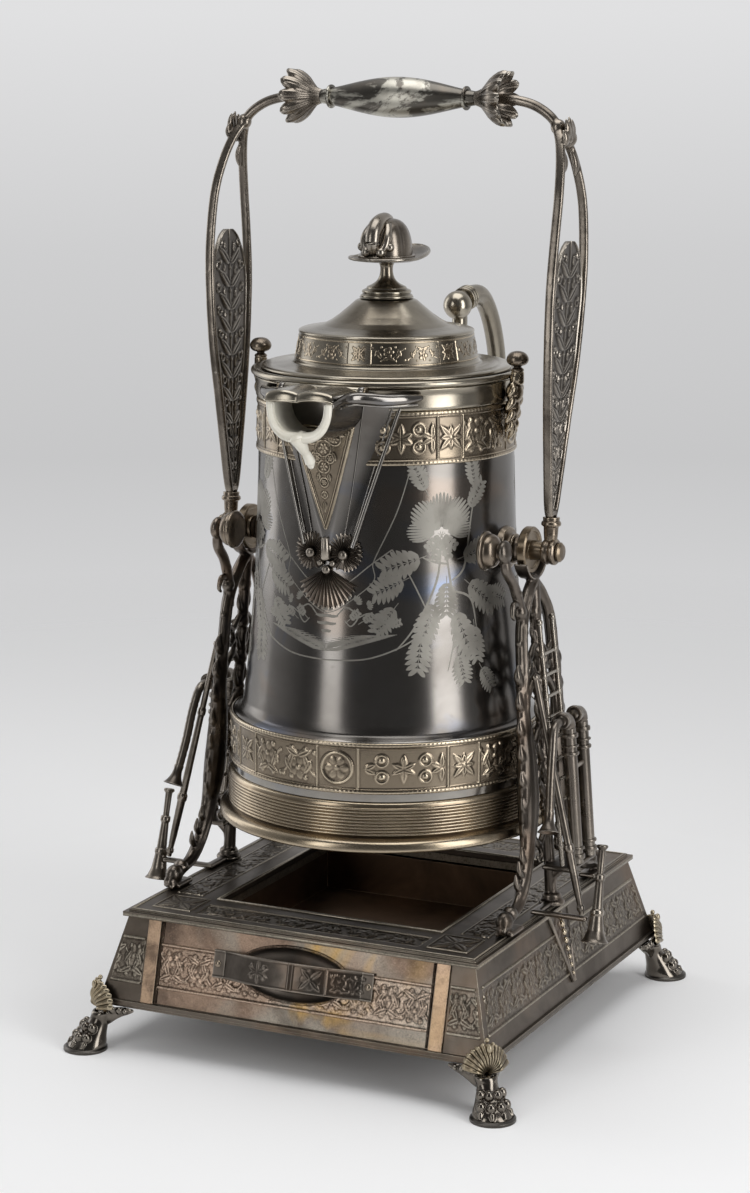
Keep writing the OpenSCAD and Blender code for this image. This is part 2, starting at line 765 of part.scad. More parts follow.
module upright() {
  difference() {
    union() {
      on_upright(2 * leg_half) upright_shape();
      // raised ribs along the legs and bosses along the post
      on_upright(2 * leg_half + 1.6) {
        for (side = [-1, 1]) leg_shape(side, 2.2);
        for (v = [62 : 24 : 182]) translate([0, v]) circle(r = 3.6, $fn = 24);
      }
      for (y = [-leg_spread, leg_spread])
        translate([stand_foot_x - 6, y - 9, plate_z + seat]) cube([12, 18, 3.4]);
      translate([stand_foot_x, 0, plate_z + seat]) cylinder(h = 3.4, r = 7.6, $fn = 32);
      translate([stand_foot_x, 0, plate_z + seat]) cylinder(h = 6.4, r = 5.6, $fn = 32);
      // the shelf that carries the ladder and the pipes
      hull() {
        translate([stand_x(shelf_z) - 1, -11, shelf_z - 3]) cube([20, pipe_gap + 20, 3]);
        translate([stand_x(shelf_z) - 1, -3, shelf_z - 19]) cube([3, 6, 3]);
      }
      // the bar that carries the trumpet
      translate([stand_foot_x - 3, -28, plate_z + seat])
        cube([trumpet_x - stand_foot_x + 2.1, 5, bar_t]);
      translate([stand_foot_x - 2.9, -28, plate_z + seat]) cube([5.8, 28, bar_t]);
    }
    for (y = [-leg_spread, 0, leg_spread])
      translate([stand_foot_x, y, plate_z - 1]) cylinder(h = 5.4, r = screw_r + seat, $fn = 24);
    // the bearing disc's place
    translate([disc_in - 20, 0, axis_z]) rotate([0, 90, 0])
      cylinder(h = 60, r = disc_r + seat, $fn = 64);
    // the knob's place
    translate([80, -knob_y, axis_z + 5]) rotate([0, 90, 0])
      cylinder(h = knob_end - 80 + seat, r = knob_r + seat, $fn = 48);
  }
}

module upright_right() { made_of(dark) upright(); }
module upright_left() { made_of(dark) mirror([1, 0, 0]) upright(); }

module upright_screws() {
  made_of(warm) both_sides() for (y = [-leg_spread, 0, leg_spread])
    translate([stand_foot_x, y, casing_top]) {
      cylinder(h = plate_t + 3, r = screw_r, $fn = 32);
      cylinder(h = head_h, r = 2 * screw_r, $fn = 6);
    }
}

// A disc with a raised rim and a boss that spaces the bail's hub
module bearing() {
  bore = pin_r + fit;
  made_of(warm) turned([disc_in, 0, axis_z], [disc_out, 0, axis_z], [
    [bore, -0.6], [bore + 3, -0.6], [bore + 3.4, 0.8], [disc_r - 3, 0.8], [disc_r - 2.2, 0],
    [disc_r - 0.6, 0], [disc_r, 0.8], [disc_r, 4.6], [disc_r - 0.8, 5.6], [disc_r - 2.6, 5.6],
    [disc_r - 3.4, 4.4], [bore + 2, 4.4], [bore + 1.5, bail_x - hub_half - slip - disc_in],
    [bore, bail_x - hub_half - slip - disc_in]
  ]);
}
module bearing_right() { bearing(); }
module bearing_left() { mirror([1, 0, 0]) bearing(); }

socket_in = body_r(axis_z) + 2.4;
module trunnion_pins() {
  made_of(silver) both_sides() turned([socket_in, 0, axis_z], [disc_out, 0, axis_z], [
    [0, 0], [pin_r - 0.8, 0], [pin_r, 0.8], [pin_r, bail_x + hub_half + slip - socket_in],
    [pin_r + 1.8, bail_x + hub_half + slip - socket_in],
    [pin_r + 2, bail_x + hub_half + slip + 1.4 - socket_in],
    [pin_r + 0.6, bail_x + hub_half + slip + 2.8 - socket_in],
    [0, bail_x + hub_half + slip + 3.2 - socket_in]
  ]);
}

module scroll_knobs() {
  made_of(warm) both_sides() turned([knob_start, -knob_y, axis_z + 5], [knob_end, -knob_y, axis_z + 5], [
    [0, 0], [knob_r * 0.6, 0], [knob_r - 1.4, 1], [knob_r, 2], [knob_r, 3.2],
    [knob_r - 1.6, 3.8], [knob_r - 1.4, 6.6], [knob_r * 0.74, 9.4], [knob_r * 0.46, 10.8],
    [knob_r * 0.4, 11.8], [knob_r * 0.54, 13.4], [knob_r * 0.5, 15], [0, 15.8]
  ]);
}

// The ladder leans beside the upright
function ladder_x(z) = lerp(
  stand_x(ladder_top) + leg_half + 2.4, stand_x(shelf_z) + 12,
  (ladder_top - z) / (ladder_top - shelf_z)
);
module ladder() {
  rungs = floor((ladder_top - shelf_z - 8) / rung_step);
  made_of(dark) {
    for (y = [2 - ladder_w / 2, 2 + ladder_w / 2])
      bar(
        [ladder_x(shelf_z + seat), y, shelf_z + seat],
        [ladder_x(ladder_top), y, ladder_top], 1.7, 1.5
      );
    for (k = [1 : rungs])
      let (z = shelf_z + k * rung_step)
      bar([ladder_x(z), 2 - ladder_w / 2, z], [ladder_x(z), 2 + ladder_w / 2, z], 1.1, 1.1);
  }
}
module ladder_right() { ladder(); }
module ladder_left() { mirror([1, 0, 0]) ladder(); }

// Twin pipes with elbow tops, banded together, and the hose with its flared end
pipe_x_low = stand_x(shelf_z) + 17;
pipe_x_high = ladder_x(pipe_top) + 8.4;
module pipes() {
  elbow = 7;
  made_of(dark) {
    for (k = [0, 1]) {
      y = 3 + k * pipe_gap;
      low = [pipe_x_low, y, shelf_z + seat];
      high = [pipe_x_high, y, pipe_top];
      bar(low, high, pipe_r, pipe_r);
      for (t = [0.06, 0.84, 0.92])
        bar(lerp(low, high, t), lerp(low, high, t + 0.035), pipe_r + 1, pipe_r + 1);
      // the elbow and its open end
      translate(high + [0, -elbow, 0]) rotate([0, -90, 0])
        rotate_extrude(angle = 90, $fn = 48) translate([elbow, 0]) circle(r = pipe_r - 0.2, $fn = 24);
      bar(high + [0, -elbow, elbow], high + [0, -elbow - 4, elbow], pipe_r + 0.2, pipe_r + 0.4);
      bar(high + [0, -elbow - 4, elbow], high + [0, -elbow - 6, elbow], pipe_r + 0.9, pipe_r + 0.9);
    }
    // the tie between the pipes
    bar([lerp(pipe_x_high, pipe_x_low, 0.3), 3, lerp(pipe_top, shelf_z, 0.3)],
      [lerp(pipe_x_high, pipe_x_low, 0.3), 3 + pipe_gap, lerp(pipe_top, shelf_z, 0.3)], 1.8, 1.8);
    // the hose, with its flared end
    rods([
      [pipe_x_high, -8, pipe_top + elbow], [pipe_x_high, -20, pipe_top + elbow - 2],
      [pipe_x_high + 1.5, -27, pipe_top - 8], [pipe_x_high + 3, -33, pipe_top - 26],
      [pipe_x_high + 5, -39, pipe_top - 42]
    ], 2.7);
    bar([pipe_x_high + 5, -39, pipe_top - 42], [pipe_x_high + 6.4, -44, pipe_top - 53], 2.9, 6.6);
  }
}
module pipes_right() { pipes(); }
module pipes_left() { mirror([1, 0, 0]) pipes(); }

// A speaking trumpet at the end of the bar, its bell beside the base
trumpet_top = [trumpet_x + 2.6, -11, plate_z + trumpet_h];
trumpet_bell = [trumpet_x + 4, -25.6, plate_z - bell_drop];
module trumpet() {
  l = norm(trumpet_bell - trumpet_top);
  made_of(dark) turned(trumpet_top, trumpet_bell, [
    [0, 0], [3.4, 0], [3.6, 1.6], [2.2, 3.2], [2, l * 0.3], [3.2, l * 0.31], [3.2, l * 0.36],
    [2.4, l * 0.38], [3.2, l * 0.66], [4.2, l * 0.67], [4.2, l * 0.71], [3.8, l * 0.73],
    [5, l - 7], [bell_r - 1.4, l - 1.6], [bell_r, l - 0.6], [bell_r, l],
    [bell_r - 1.4, l], [bell_r - 2.8, l - 1.6], [3.4, l - 8], [0, l - 10]
  ]);
}
module trumpet_right() { trumpet(); }
module trumpet_left() { mirror([1, 0, 0]) trumpet(); }

// A long branch pipe from the front leg down to its nozzle on the bar
branch_top = [stand_x(plate_z + branch_h) + leg_half + 3, -20, plate_z + branch_h];
branch_tip = [trumpet_x - 4.5, -25.5, plate_z + bar_t + 0.7 + 2 * seat];
module nozzle() {
  l = norm(branch_tip - branch_top);
  made_of(dark) turned(branch_top, branch_tip, [
    [0, 0], [2.4, 0], [2.6, 1.6], [1.9, 3], [1.9, l * 0.3], [2.6, l * 0.31], [2.6, l * 0.33],
    [2, l * 0.34], [2.4, l * 0.7], [3.2, l * 0.71], [3.2, l * 0.73], [2.6, l * 0.74],
    [2.2, l - 14], [1.7, l - 6], [2.4, l - 5], [2.4, l - 3], [1.7, l - 2.4], [1.6, l], [0, l]
  ]);
}
module nozzle_right() { nozzle(); }
module nozzle_left() { mirror([1, 0, 0]) nozzle(); }

// The pitcher

// Outer outline of the silver body, without its bands, grown outwards
function body_outline(grow) = concat(
  [[band_r + grow, ring_top + seat], [band_r + grow, shoulder_z - 6],
   [band_r - 1.4 + grow, shoulder_z - 3.4], [shoulder_r + 2.6 + grow, shoulder_z - 2.6]],
  [for (k = [0 : 16]) let (z = lerp(shoulder_z, body_top, k / 16)) [body_r(z) + grow, z]]
);

// Everything round that the soldered pieces have to clear
module round_blank(grow) {
  rotate_extrude($fn = 128) polygon(concat(
    [[0, pitcher_z], [ring_r + grow, pitcher_z], [band_r + band_t + bead_out + grow, ring_top]],
    [[band_r + band_t + bead_out + grow, shoulder_z - 4], [shoulder_r + 2.6 + grow, shoulder_z - 2.6]],
    [for (k = [0 : 12]) let (z = lerp(shoulder_z, up_band_z, k / 12)) [body_r(z) + grow, z]],
    [[body_r(up_band_z) + band_t + bead_out + grow, up_band_z],
     [body_r(up_band_z + band_top_h) + band_t + bead_out + grow, up_band_z + band_top_h],
     [rim_r + grow, rim_z - roll_r - 2.4], [rim_r + grow, rim_z + roll_r + grow],
     [0, rim_z + roll_r + grow]]
  ));
}

// The way for the water through the wall, just under the rim
module spout_passage(grow) {
  hull() for (y = [-lip_y + 30, -liner_r + 8])
    translate([0, y, 0]) rotate([90, 0, 0]) linear_extrude(0.1)
      polygon([
        [-lip_half * 0.7 - grow, body_top - 6 + grow], [lip_half * 0.7 + grow, body_top - 6 + grow],
        [0, chin_z + 4 - grow]
      ]);
}

module outer_body() {
  outline = body_outline(0);
  inner = [for (k = [len(outline) - 1 : -1 : 0]) [outline[k][0] - body_wall, outline[k][1]]];
  made_of(silver) difference() {
    rotate_extrude($fn = 96) polygon(concat(outline, inner));
    spout_passage(lining_t + 2 * seat);
    // the trunnion pins' way
    both_sides() translate([50, 0, axis_z]) rotate([0, 90, 0]) cylinder(h = 60, r = 3, $fn = 32);
  }
}

module inner_liner() {
  low = pitcher_z + 20;
  top = body_top - 2;
  made_of(white) difference() {
    rotate_extrude($fn = 96) polygon([
      [0, low], [liner_r - 12, low], [liner_r - 4, low + 3], [liner_r, low + 12], [liner_r, top - 4],
      [body_r(top) - body_wall - seat, top - 1], [body_r(top) - body_wall - seat, top],
      [liner_r - 1, top], [liner_r - liner_wall, top - 3], [liner_r - liner_wall, low + 13],
      [liner_r - 6, low + 6], [liner_r - 13, low + liner_wall], [0, low + liner_wall]
    ]);
    spout_passage(lining_t + 2 * seat);
  }
}

module body_bottom() {
  made_of(warm) rotate_extrude($fn = 96) polygon([
    [0, pitcher_z + 14], [60, pitcher_z + 14], [80, pitcher_z + 11], [ring_in - seat, pitcher_z + 11],
    [ring_in - seat, pitcher_z + 12.4], [80, pitcher_z + 12.4], 
    [60, pitcher_z + 15.4], [0, pitcher_z + 15.4]
  ]);
}

// The spread foot with its reeds
module foot_ring() {
  reed_low = pitcher_z + 8.4;
  reed_h = (ring_top - 3 - reed_low) / reeds;
  reed_r = ring_r - 6.2;
  made_of(warm) rotate_extrude($fn = 128) polygon(concat(
    [[ring_r - 5, pitcher_z], [ring_r - 0.6, pitcher_z], [ring_r, pitcher_z + 0.8],
     [ring_r - 0.6, pitcher_z + 4.6], [ring_r - 2.4, pitcher_z + 6.4], [reed_r, pitcher_z + 7.6]],
    [for (k = [0 : reeds - 1], s = [[0, 0.1], [0.5, 0.35], [0.5, 0.65], [0, 0.9]])
      [reed_r + s[0], reed_low + reed_h * (k + s[1])]],
    [[reed_r, ring_top - 2.6], [reed_r - 1.2, ring_top], [ring_in, ring_top],
     [ring_in, pitcher_z + 10], [ring_r - 7.4, pitcher_z + 2]]
  ));
}

module band_beads(r1, z1, r2, z2) {
  made_of(warm) difference() {
    rotate_extrude($fn = 128) polygon([
      [r1 + seat, z1], [r1 + band_t + bead_out / 2, z1], [r1 + band_t + bead_out, z1 + 0.8],
      [r1 + band_t + bead_out / 2, z1 + 1.6],
      [r1 + band_t, z1 + 2], [r2 + band_t, z2 - 2], [r2 + band_t + 0.4, z2 - 1.6],
      [r2 + band_t + 0.8, z2 - 0.8], [r2 + band_t + 0.3, z2], [r2 + seat, z2]
    ]);
    children();
  }
}
module lower_band() {
  band_beads(band_r, low_band_z, band_r, low_band_z + band_low_h);
}
module upper_band() {
  band_beads(body_r(up_band_z), up_band_z, body_r(up_band_z + band_top_h), up_band_z + band_top_h)
    spout_shield(seat);
}

// A flared neck that ends in a roll, with a ledge for the lid
module rim_ring() {
  low = up_band_z + band_top_h + seat;
  r_low = body_r(low) + seat;
  made_of(silver) difference() {
    rotate_extrude($fn = 128) polygon(concat(
      [[r_low, low], [r_low + 1, low + 2], [r_low + 0.8, low + 6], [rim_r - 2.6, rim_z - roll_r - 0.6]],
      [for (a = [-60 : 20 : 120]) [roll_mid + roll_r * cos(a), rim_z + roll_r * sin(a)]],
      [[lid_r + 0.7, rim_z + roll_r - 1], [lid_r + 0.7, lid_z - slip], [lid_r - 5, lid_z - slip],
       [lid_r - 5, lid_z - slip - 1.2], [r_low, body_top + seat]]
    ));
    spout_shield(seat);
  }
}

// The three-sided shield that the spout grows from
module spout_shield(grow) {
  front = body_r(corner_z) + band_t + 4.4;
  hull() {
    for (s = [-1, 1]) {
      translate([s * (43 + grow), -62, corner_z - 1.4]) cube(0.2, center = true);
      translate([s * (21 + grow), -front - 4 - grow, corner_z - 1.4]) cube(0.2, center = true);
      translate([s * (21 + grow), -front - grow, chin_z - 7]) cube(0.2, center = true);
      translate([s * (19 + grow), -74, chin_z - 68]) cube(0.2, center = true);
      translate([s * 10, -60, chin_z - 68]) cube(0.2, center = true);
      translate([s * 20, -58, corner_z - 1.4]) cube(0.2, center = true);
    }
    translate([0, -front + 1 - grow, chin_z - 66 - grow]) cube(0.2, center = true);
  }
}

// The shield's part under the beak
module spout_shield_below(grow) {
  intersection() {
    spout_shield(grow);
    translate([-100, -150, chin_z - 120]) cube([200, 150, 118]);
  }
}

// Section of the beak at the lip, shrunk by some amount
function lip_section(shrink) = [
  [-lip_half + shrink, 0.2], [lip_half - shrink, 0.2],
  [lip_half * 0.82 - shrink * 0.8, -lip_h * 0.5 + shrink * 0.5],
  [lip_half * 0.3, -lip_h * 0.94 + shrink], [-lip_half * 0.3, -lip_h * 0.94 + shrink],
  [-lip_half * 0.82 + shrink * 0.8, -lip_h * 0.5 + shrink * 0.5]
];
module lip_slice(y, z, shrink, widen) {
  translate([0, y, z]) rotate([90, 0, 0]) linear_extrude(0.1)
    scale([widen, 1]) polygon(lip_section(shrink));
}

module spout_casing() {
  wing = [[-52, -60], [-47, -74], [-36, -82], [-24, -92], [-21, -flap_hinge_y - 5]];
  made_of(silver) difference() {
    union() {
      spout_shield(0);
      hull() {
        lip_slice(-lip_y + 2, corner_z, 0, 1);
        lip_slice(-80, corner_z, -2, 1.3);
      }
      // wings that run out along the rim
      translate([0, 0, corner_z - 2]) linear_extrude(3.4)
        polygon(concat(wing, [for (k = [len(wing) - 1 : -1 : 0]) [-wing[k][0], wing[k][1]]]));
      // lugs that hold the flap's pin
      both_sides() translate([lug_x, -flap_hinge_y, corner_z])
        hull() {
          translate([0, -4, 0]) cube([3, 8, 0.5]);
          translate([0, 0, flap_hinge_z - corner_z]) rotate([0, 90, 0])
            cylinder(h = 3, r = hinge_pin_r + 1.4, $fn = 24);
        }
    }
    hull() {
      lip_slice(-lip_y - 4, corner_z + 3, spout_wall, 1);
      lip_slice(-70, corner_z + 3, spout_wall - 2, 1.3);
      lip_slice(-lip_y - 4, corner_z, spout_wall, 1);
      lip_slice(-70, corner_z, spout_wall - 2, 1.3);
    }
    round_blank(seat);
    translate([-40, -flap_hinge_y, flap_hinge_z]) rotate([0, 90, 0])
      cylinder(h = 80, r = hinge_pin_r + 0.15, $fn = 24);
  }
}

// White lining of the beak, with a rolled lip and a drip tongue below it
module spout_lining() {
  d = spout_wall + seat;
  made_of(white) difference() {
    union() {
      hull() {
        lip_slice(-lip_y + 0.5, corner_z, d, 1);
        lip_slice(-76, corner_z, d - 1.8, 1.22);
      }
      hull() {
        lip_slice(-lip_y - 1.2, corner_z - 0.2, -0.2, 1);
        lip_slice(-lip_y + 1.6, corner_z - 0.2, 0.3, 1);
      }
      lobe([0, -lip_y - 0.8, chin_z + 0.2], 2.4, [0, -lip_y + 9, chin_z - 6], 2, 12);
      lobe([0, -lip_y + 8.9, chin_z - 5.8], 2.1, [0, -lip_y + 20, chin_z - 17], 2.6, 12);
      lobe([0, -lip_y + 19.8, chin_z - 16.8], 2.7, [0, -lip_y + 30, chin_z - 26], 3.2, 12);
    }
    hull() {
      lip_slice(-lip_y - 4, corner_z + 1, d + lining_t, 1);
      lip_slice(-60, corner_z + 1, d + lining_t - 2, 1.22);
      lip_slice(-lip_y - 4, corner_z - 0.6, d + lining_t, 1);
      lip_slice(-60, corner_z - 0.6, d + lining_t - 2, 1.22);
    }
    spout_shield_below(seat);
    round_blank(seat);
  }
}

// Three fans of ribs under the shield, lying on the body
function on_body(x, z, lift) = [x, -sqrt(pow(body_r(z), 2) - x * x) - lift, z];
module palmette(x, z, turn, size, ribs) {
  half = (ribs - 1) / 2;
  for (k = [-half : half]) {
    a = turn + 132 / (ribs - 1) * k;
    lobe(on_body(x, z, 1.4), 1.8, on_body(x + size * sin(a), z - size * cos(a), 0.8), 2.6);
  }
}
module spout_palmettes() {
  low = chin_z - 74;
  made_of(dark) difference() {
    union() {
      palmette(-12, low, -38, 12, 5);
      palmette(12, low, 38, 12, 5);
      palmette(0, low - 16, 0, 15, 7);
      lobe(on_body(0, low + 2, 1.4), 3.4, on_body(0, low - 18, 1.4), 3);
      lobe(on_body(-12, low, 1.2), 2.4, on_body(12, low, 1.2), 2.4);
    }
    round_blank(seat);
    spout_shield(seat);
  }
}

// Bosses that turn on the trunnion pins
module trunnion_sockets() {
  out = disc_in - 0.6 - slip;
  made_of(warm) both_sides() difference() {
    translate([body_r(axis_z) - 4, 0, axis_z]) rotate([0, 90, 0]) rotate_extrude($fn = 48) polygon([
      [0, 0], [socket_r + 4.4, 0], [socket_r + 4.4, 6], [socket_r + 3, 6.8], [socket_r, 7.4],
      [socket_r - 0.8, out - body_r(axis_z) + 4 - 1], [socket_r - 1.6, out - body_r(axis_z) + 4],
      [0, out - body_r(axis_z) + 4]
    ]);
    round_blank(seat);
    translate([socket_in - 0.4, 0, axis_z]) rotate([0, 90, 0])
      cylinder(h = 40, r = pin_r + fit, $fn = 48);
  }
}

module rim_knobs() {
  made_of(warm) both_sides() translate([rim_knob_x, 0, rim_z + 3]) rotate_extrude($fn = 32) polygon([
    [0, 0], [3.4, 0], [3.8, 1], [2.4, 2.2], [2.6, 3], [5.2, 4.2], [6.6, 6.6], [6.4, 9],
    [4.6, 11], [2, 12], [0, 12.2]
  ]);
}

// Leafy brackets under the rim knobs
module rim_brackets() {
  made_of(warm) both_sides() difference() {
    union() {
      lobe([rim_knob_x - 1, 0, rim_z - 3], 4.8, [rim_knob_x - 4, 0, rim_z - 18], 5.6, 10);
      lobe([rim_knob_x - 4.1, 0, rim_z - 18.2], 5.5, [rim_knob_x - 7.4, 0, rim_z - 42], 2, 10);
      for (s = [-1, 1]) {
        lobe([rim_knob_x - 1, s * 2, rim_z - 4], 3, [rim_knob_x - 3, s * 7.4, rim_z - 9], 2.8);
        lobe([rim_knob_x - 2, s * 2, rim_z - 12], 3, [rim_knob_x - 4.4, s * 8, rim_z - 19], 2.8);
        lobe([rim_knob_x - 4, s, rim_z - 22], 2.6, [rim_knob_x - 6.4, s * 5, rim_z - 30], 2.2);
      }
      translate([rim_knob_x, 0, rim_z - 4]) cylinder(h = 7 - seat, r = 4, $fn = 16);
    }
    round_blank(seat);
  }
}

// The back handle, with a bulb and a triple ring at its upper end
module back_handle() {
  h = handle_r;
  out = handle_out - h;
  path = curve([
    [0, bulb_y + 4, bulb_z + 2, h - 0.6, h], [0, bulb_y + 20, bulb_z + 4.6, h, h + 0.4],
    [0, out - 31, bulb_z + 2, h, h + 0.6], [0, out - 14, bulb_z - 18, h, h + 0.6],
    [0, out, bulb_z - 48, h, h + 0.8], [0, out - 3, bulb_z - 86, h, h + 0.8],
    [0, out - 12, bulb_z - 130, h, h + 0.6], [0, out - 34, bulb_z - 174, h, h + 0.4],
    [0, 110, bulb_z - 203, h, h + 1], [0, 82, bulb_z - 210, h + 2, h + 3]
  ], 2);
  strut = curve([
    [0, bulb_y + 2, bulb_z, 3.6, 4.4], [0, bulb_y + 3, bulb_z - 14, 3.4, 4.2],
    [0, 98, rim_z - 4, 3.6, 4.4], [0, 78, rim_z - 16, 6, 7.4]
  ], 3);
  made_of(silver) difference() {
    union() {
      sweep(path, [1, 0, 0], 12);
      sweep(strut, [1, 0, 0], 10);
      translate([0, bulb_y, bulb_z]) sphere(r = bulb_r, $fn = 32);
      for (k = [0 : 2])
        translate([0, bulb_y + 9 + 2.8 * k, bulb_z + 3 + 0.5 * k]) rotate([-80, 0, 0])
          cylinder(h = 1.8, r = h + 1.6, $fn = 28);
    }
    round_blank(seat);
  }
}

// Two fixed knuckles on the rim
module lid_hinge_plate() {
  made_of(warm) both_sides() difference() {
    union() {
      translate([8.3, lid_hinge_y, lid_hinge_z]) rotate([0, 90, 0])
        cylinder(h = 4.7, r = hinge_pin_r + 1, $fn = 32);
      translate([8.3, lid_hinge_y, rim_z + roll_r + seat])
        cube([4.7, 4.4, lid_hinge_z - rim_z - roll_r]);
    }
    translate([0, lid_hinge_y, lid_hinge_z]) rotate([0, 90, 0])
      cylinder(h = 20, r = hinge_pin_r + fit, $fn = 32);
  }
}

module lid_hinge_pin() {
  made_of(silver) translate([-13.4, lid_hinge_y, lid_hinge_z]) rotate([0, 90, 0])
    cylinder(h = 26.8, r = hinge_pin_r, $fn = 32);
}

module flap_hinge_pin() {
  half = lug_x + 3 + seat;
  made_of(warm) translate([-half, -flap_hinge_y, flap_hinge_z]) rotate([0, 90, 0]) {
    cylinder(h = 2 * half, r = hinge_pin_r, $fn = 32);
    for (z = [-0.9, 2 * half]) translate([0, 0, z]) cylinder(h = 0.9, r = hinge_pin_r + 0.8, $fn = 32);
  }
}

// A gabled flap that rests over the lip
module spout_flap() {
  half = lug_x - slip;
  nose = flap_l - hinge_pin_r + 3;
  low = corner_z + slip + 1.2;
  made_of(silver) difference() {
    union() {
      translate([-half, -flap_hinge_y, flap_hinge_z]) rotate([0, 90, 0])
        cylinder(h = 2 * half, r = hinge_pin_r + 1, $fn = 32);
      hull() {
        translate([-half, -flap_hinge_y, flap_hinge_z - 1]) cube([2 * half, 0.5, 1.4]);
        for (s = [-1, 1])
          translate([s * (lip_half - 1) - 0.5, -flap_hinge_y - nose + 3, low]) cube([1, 1, 1]);
        translate([-1, -flap_hinge_y - nose, low + 2]) cube([2, 1, 1]);
        translate([-1, -flap_hinge_y - 8, low + 4]) cube([2, 1, 1.2]);
      }
    }
    translate([-40, -flap_hinge_y, flap_hinge_z]) rotate([0, 90, 0])
      cylinder(h = 80, r = hinge_pin_r + fit, $fn = 32);
    hull() {
      for (s = [-1, 1])
        translate([s * (lip_half - 5) - 0.5, -flap_hinge_y - nose - 1, low - 1])
          cube([1, nose - 6, 1.2]);
      translate([-1, -flap_hinge_y - nose - 1, low - 1]) cube([2, nose - 6, 2.6]);
    }
  }
}

// The lid

module lid_dome() {
  t = lid_wall;
  outline = [
    [lid_r, lid_z], [lid_r, lid_z + t], [lid_r - 2, lid_z + t + 0.7], [drum_r + 6, lid_z + 3],
    [drum_r + 1.4, drum_z - 1], [drum_r + 1.4, drum_z], [drum_r, drum_z + 1.4],
    [drum_r - 3, drum_z + drum_h - 1.2], [drum_r - 2.4, drum_z + drum_h],
    [drum_r - 4.4, drum_z + drum_h + 1],
    [cone_r, cone_z], [cone_r - 7, cone_z + cone_h * 0.3], [collar_r + 3, collar_z - 2], [0, collar_z - 1]
  ];
  inner = [
    [0, collar_z - 1 - t], [collar_r + 2, collar_z - 2 - t], [cone_r - 8, cone_z + cone_h * 0.3 - t],
    [cone_r - 1, cone_z - t], [drum_r - 6, drum_z + drum_h - t], [drum_r - 2, drum_z],
    [drum_r - 2, lid_z - 6], [drum_r - 0.8, lid_z - 6], [drum_r - 0.8, lid_z]
  ];
  made_of(warm) difference() {
    union() {
      difference() {
        rotate_extrude($fn = 128) polygon(concat(outline, inner));
        translate([-13.6, lid_hinge_y - hinge_pin_r - 1.6, lid_z - 1]) cube([27.2, 20, 12]);
      }
      translate([-7.7, lid_r - 6, lid_z]) cube([15.4, 6.6, t + 0.4]);
      translate([-7.7, lid_hinge_y, lid_hinge_z]) rotate([0, 90, 0])
        cylinder(h = 15.4, r = hinge_pin_r + 1, $fn = 32);
    }
    translate([-20, lid_hinge_y, lid_hinge_z]) rotate([0, 90, 0])
      cylinder(h = 40, r = hinge_pin_r + fit, $fn = 32);
  }
}

module lid_collar() {
  c = collar_r;
  z = collar_z - 1 + seat;
  made_of(dark) rotate_extrude($fn = 64) polygon([
    [0, z], [c, z], [c + 0.4, z + 1.2], [c - 1, z + 2.4], [c - 0.6, z + 3.4],
    [c - 3, z + 5], [c - 4.4, z + 6.6],
    [6.6, stem_z + 2], [4.2, stem_z + 5], [3.8, stem_z + stem_h * 0.6], [4.6, stem_z + stem_h * 0.8],
    [6, brim_z - 2.2 - seat], [0, brim_z - 2.2 - seat]
  ]);
}

// A parade helmet: a ribbed crown, a rolled crest in front and a brim with a long tail
function crown_at(t) = [crown_r * pow(cos(90 * t), 0.7), brim_z + crown_h * pow(sin(90 * t), 0.9)];
module helmet_finial() {
  r = crown_r;
  made_of(dark) {
    rotate_extrude($fn = 28) polygon(concat(
      [[0, brim_z - 1]], [for (k = [0 : 6]) crown_at(k / 7)], [[0, brim_z + crown_h - 0.6]]
    ));
    for (k = [0 : 6], t = [0, 1, 2])
      let (
        c = cos(45 * k - 45), s = sin(45 * k - 45),
        a = crown_at(0.1 + 0.26 * t), b = crown_at(0.36 + 0.26 * t)
      )
      lobe(
        [(a[0] - 0.3) * c, (a[0] - 0.3) * s, a[1]], 1.5,
        [(b[0] - 0.3) * c, (b[0] - 0.3) * s, b[1]], 1.5, 6
      );
    // the rolled crest
    lobe([0, -r - 1.4, brim_z + 5], 3.4, [0, -r - 0.4, brim_z + 12], 4.2, 10);
    lobe([0, -r - 0.3, brim_z + 12.2], 4.3, [0, -r * 0.55, brim_z + crown_h - 4.6], 4.6, 10);
    lobe([0, -r * 0.54, brim_z + crown_h - 4.5], 4.5, [0, 1, brim_z + crown_h - 1.4], 3.2, 10);
    for (s = [-1, 1]) {
      lobe([s * 5, -r + 0.6, brim_z + 5], 2.6, [s * 6, -r + 2, brim_z + 13], 3, 8);
      lobe([s * 6, -r + 2.1, brim_z + 13], 2.9, [s * 4.6, -r * 0.42, brim_z + crown_h - 5.4], 3, 8);
    }
    // the brim, with its tail drawn out behind and turned up
    hull() {
      translate([0, -3, brim_z - 2.2]) cylinder(h = 1.8, r = brim_half - 1, $fn = 32);
      translate([0, -3, brim_z - 1.4]) cylinder(h = 1, r = brim_half, $fn = 32);
      translate([0, brim_back - 9, brim_z + 2.6]) rotate([6, 0, 0]) cylinder(h = 1.6, r = 9, $fn = 20);
    }
  }
}

// The bail, drawn upright above the trunnion axis and then leaned back
module leaned() {
  translate([0, 0, axis_z]) rotate([-bail_lean, 0, 0]) children();
}

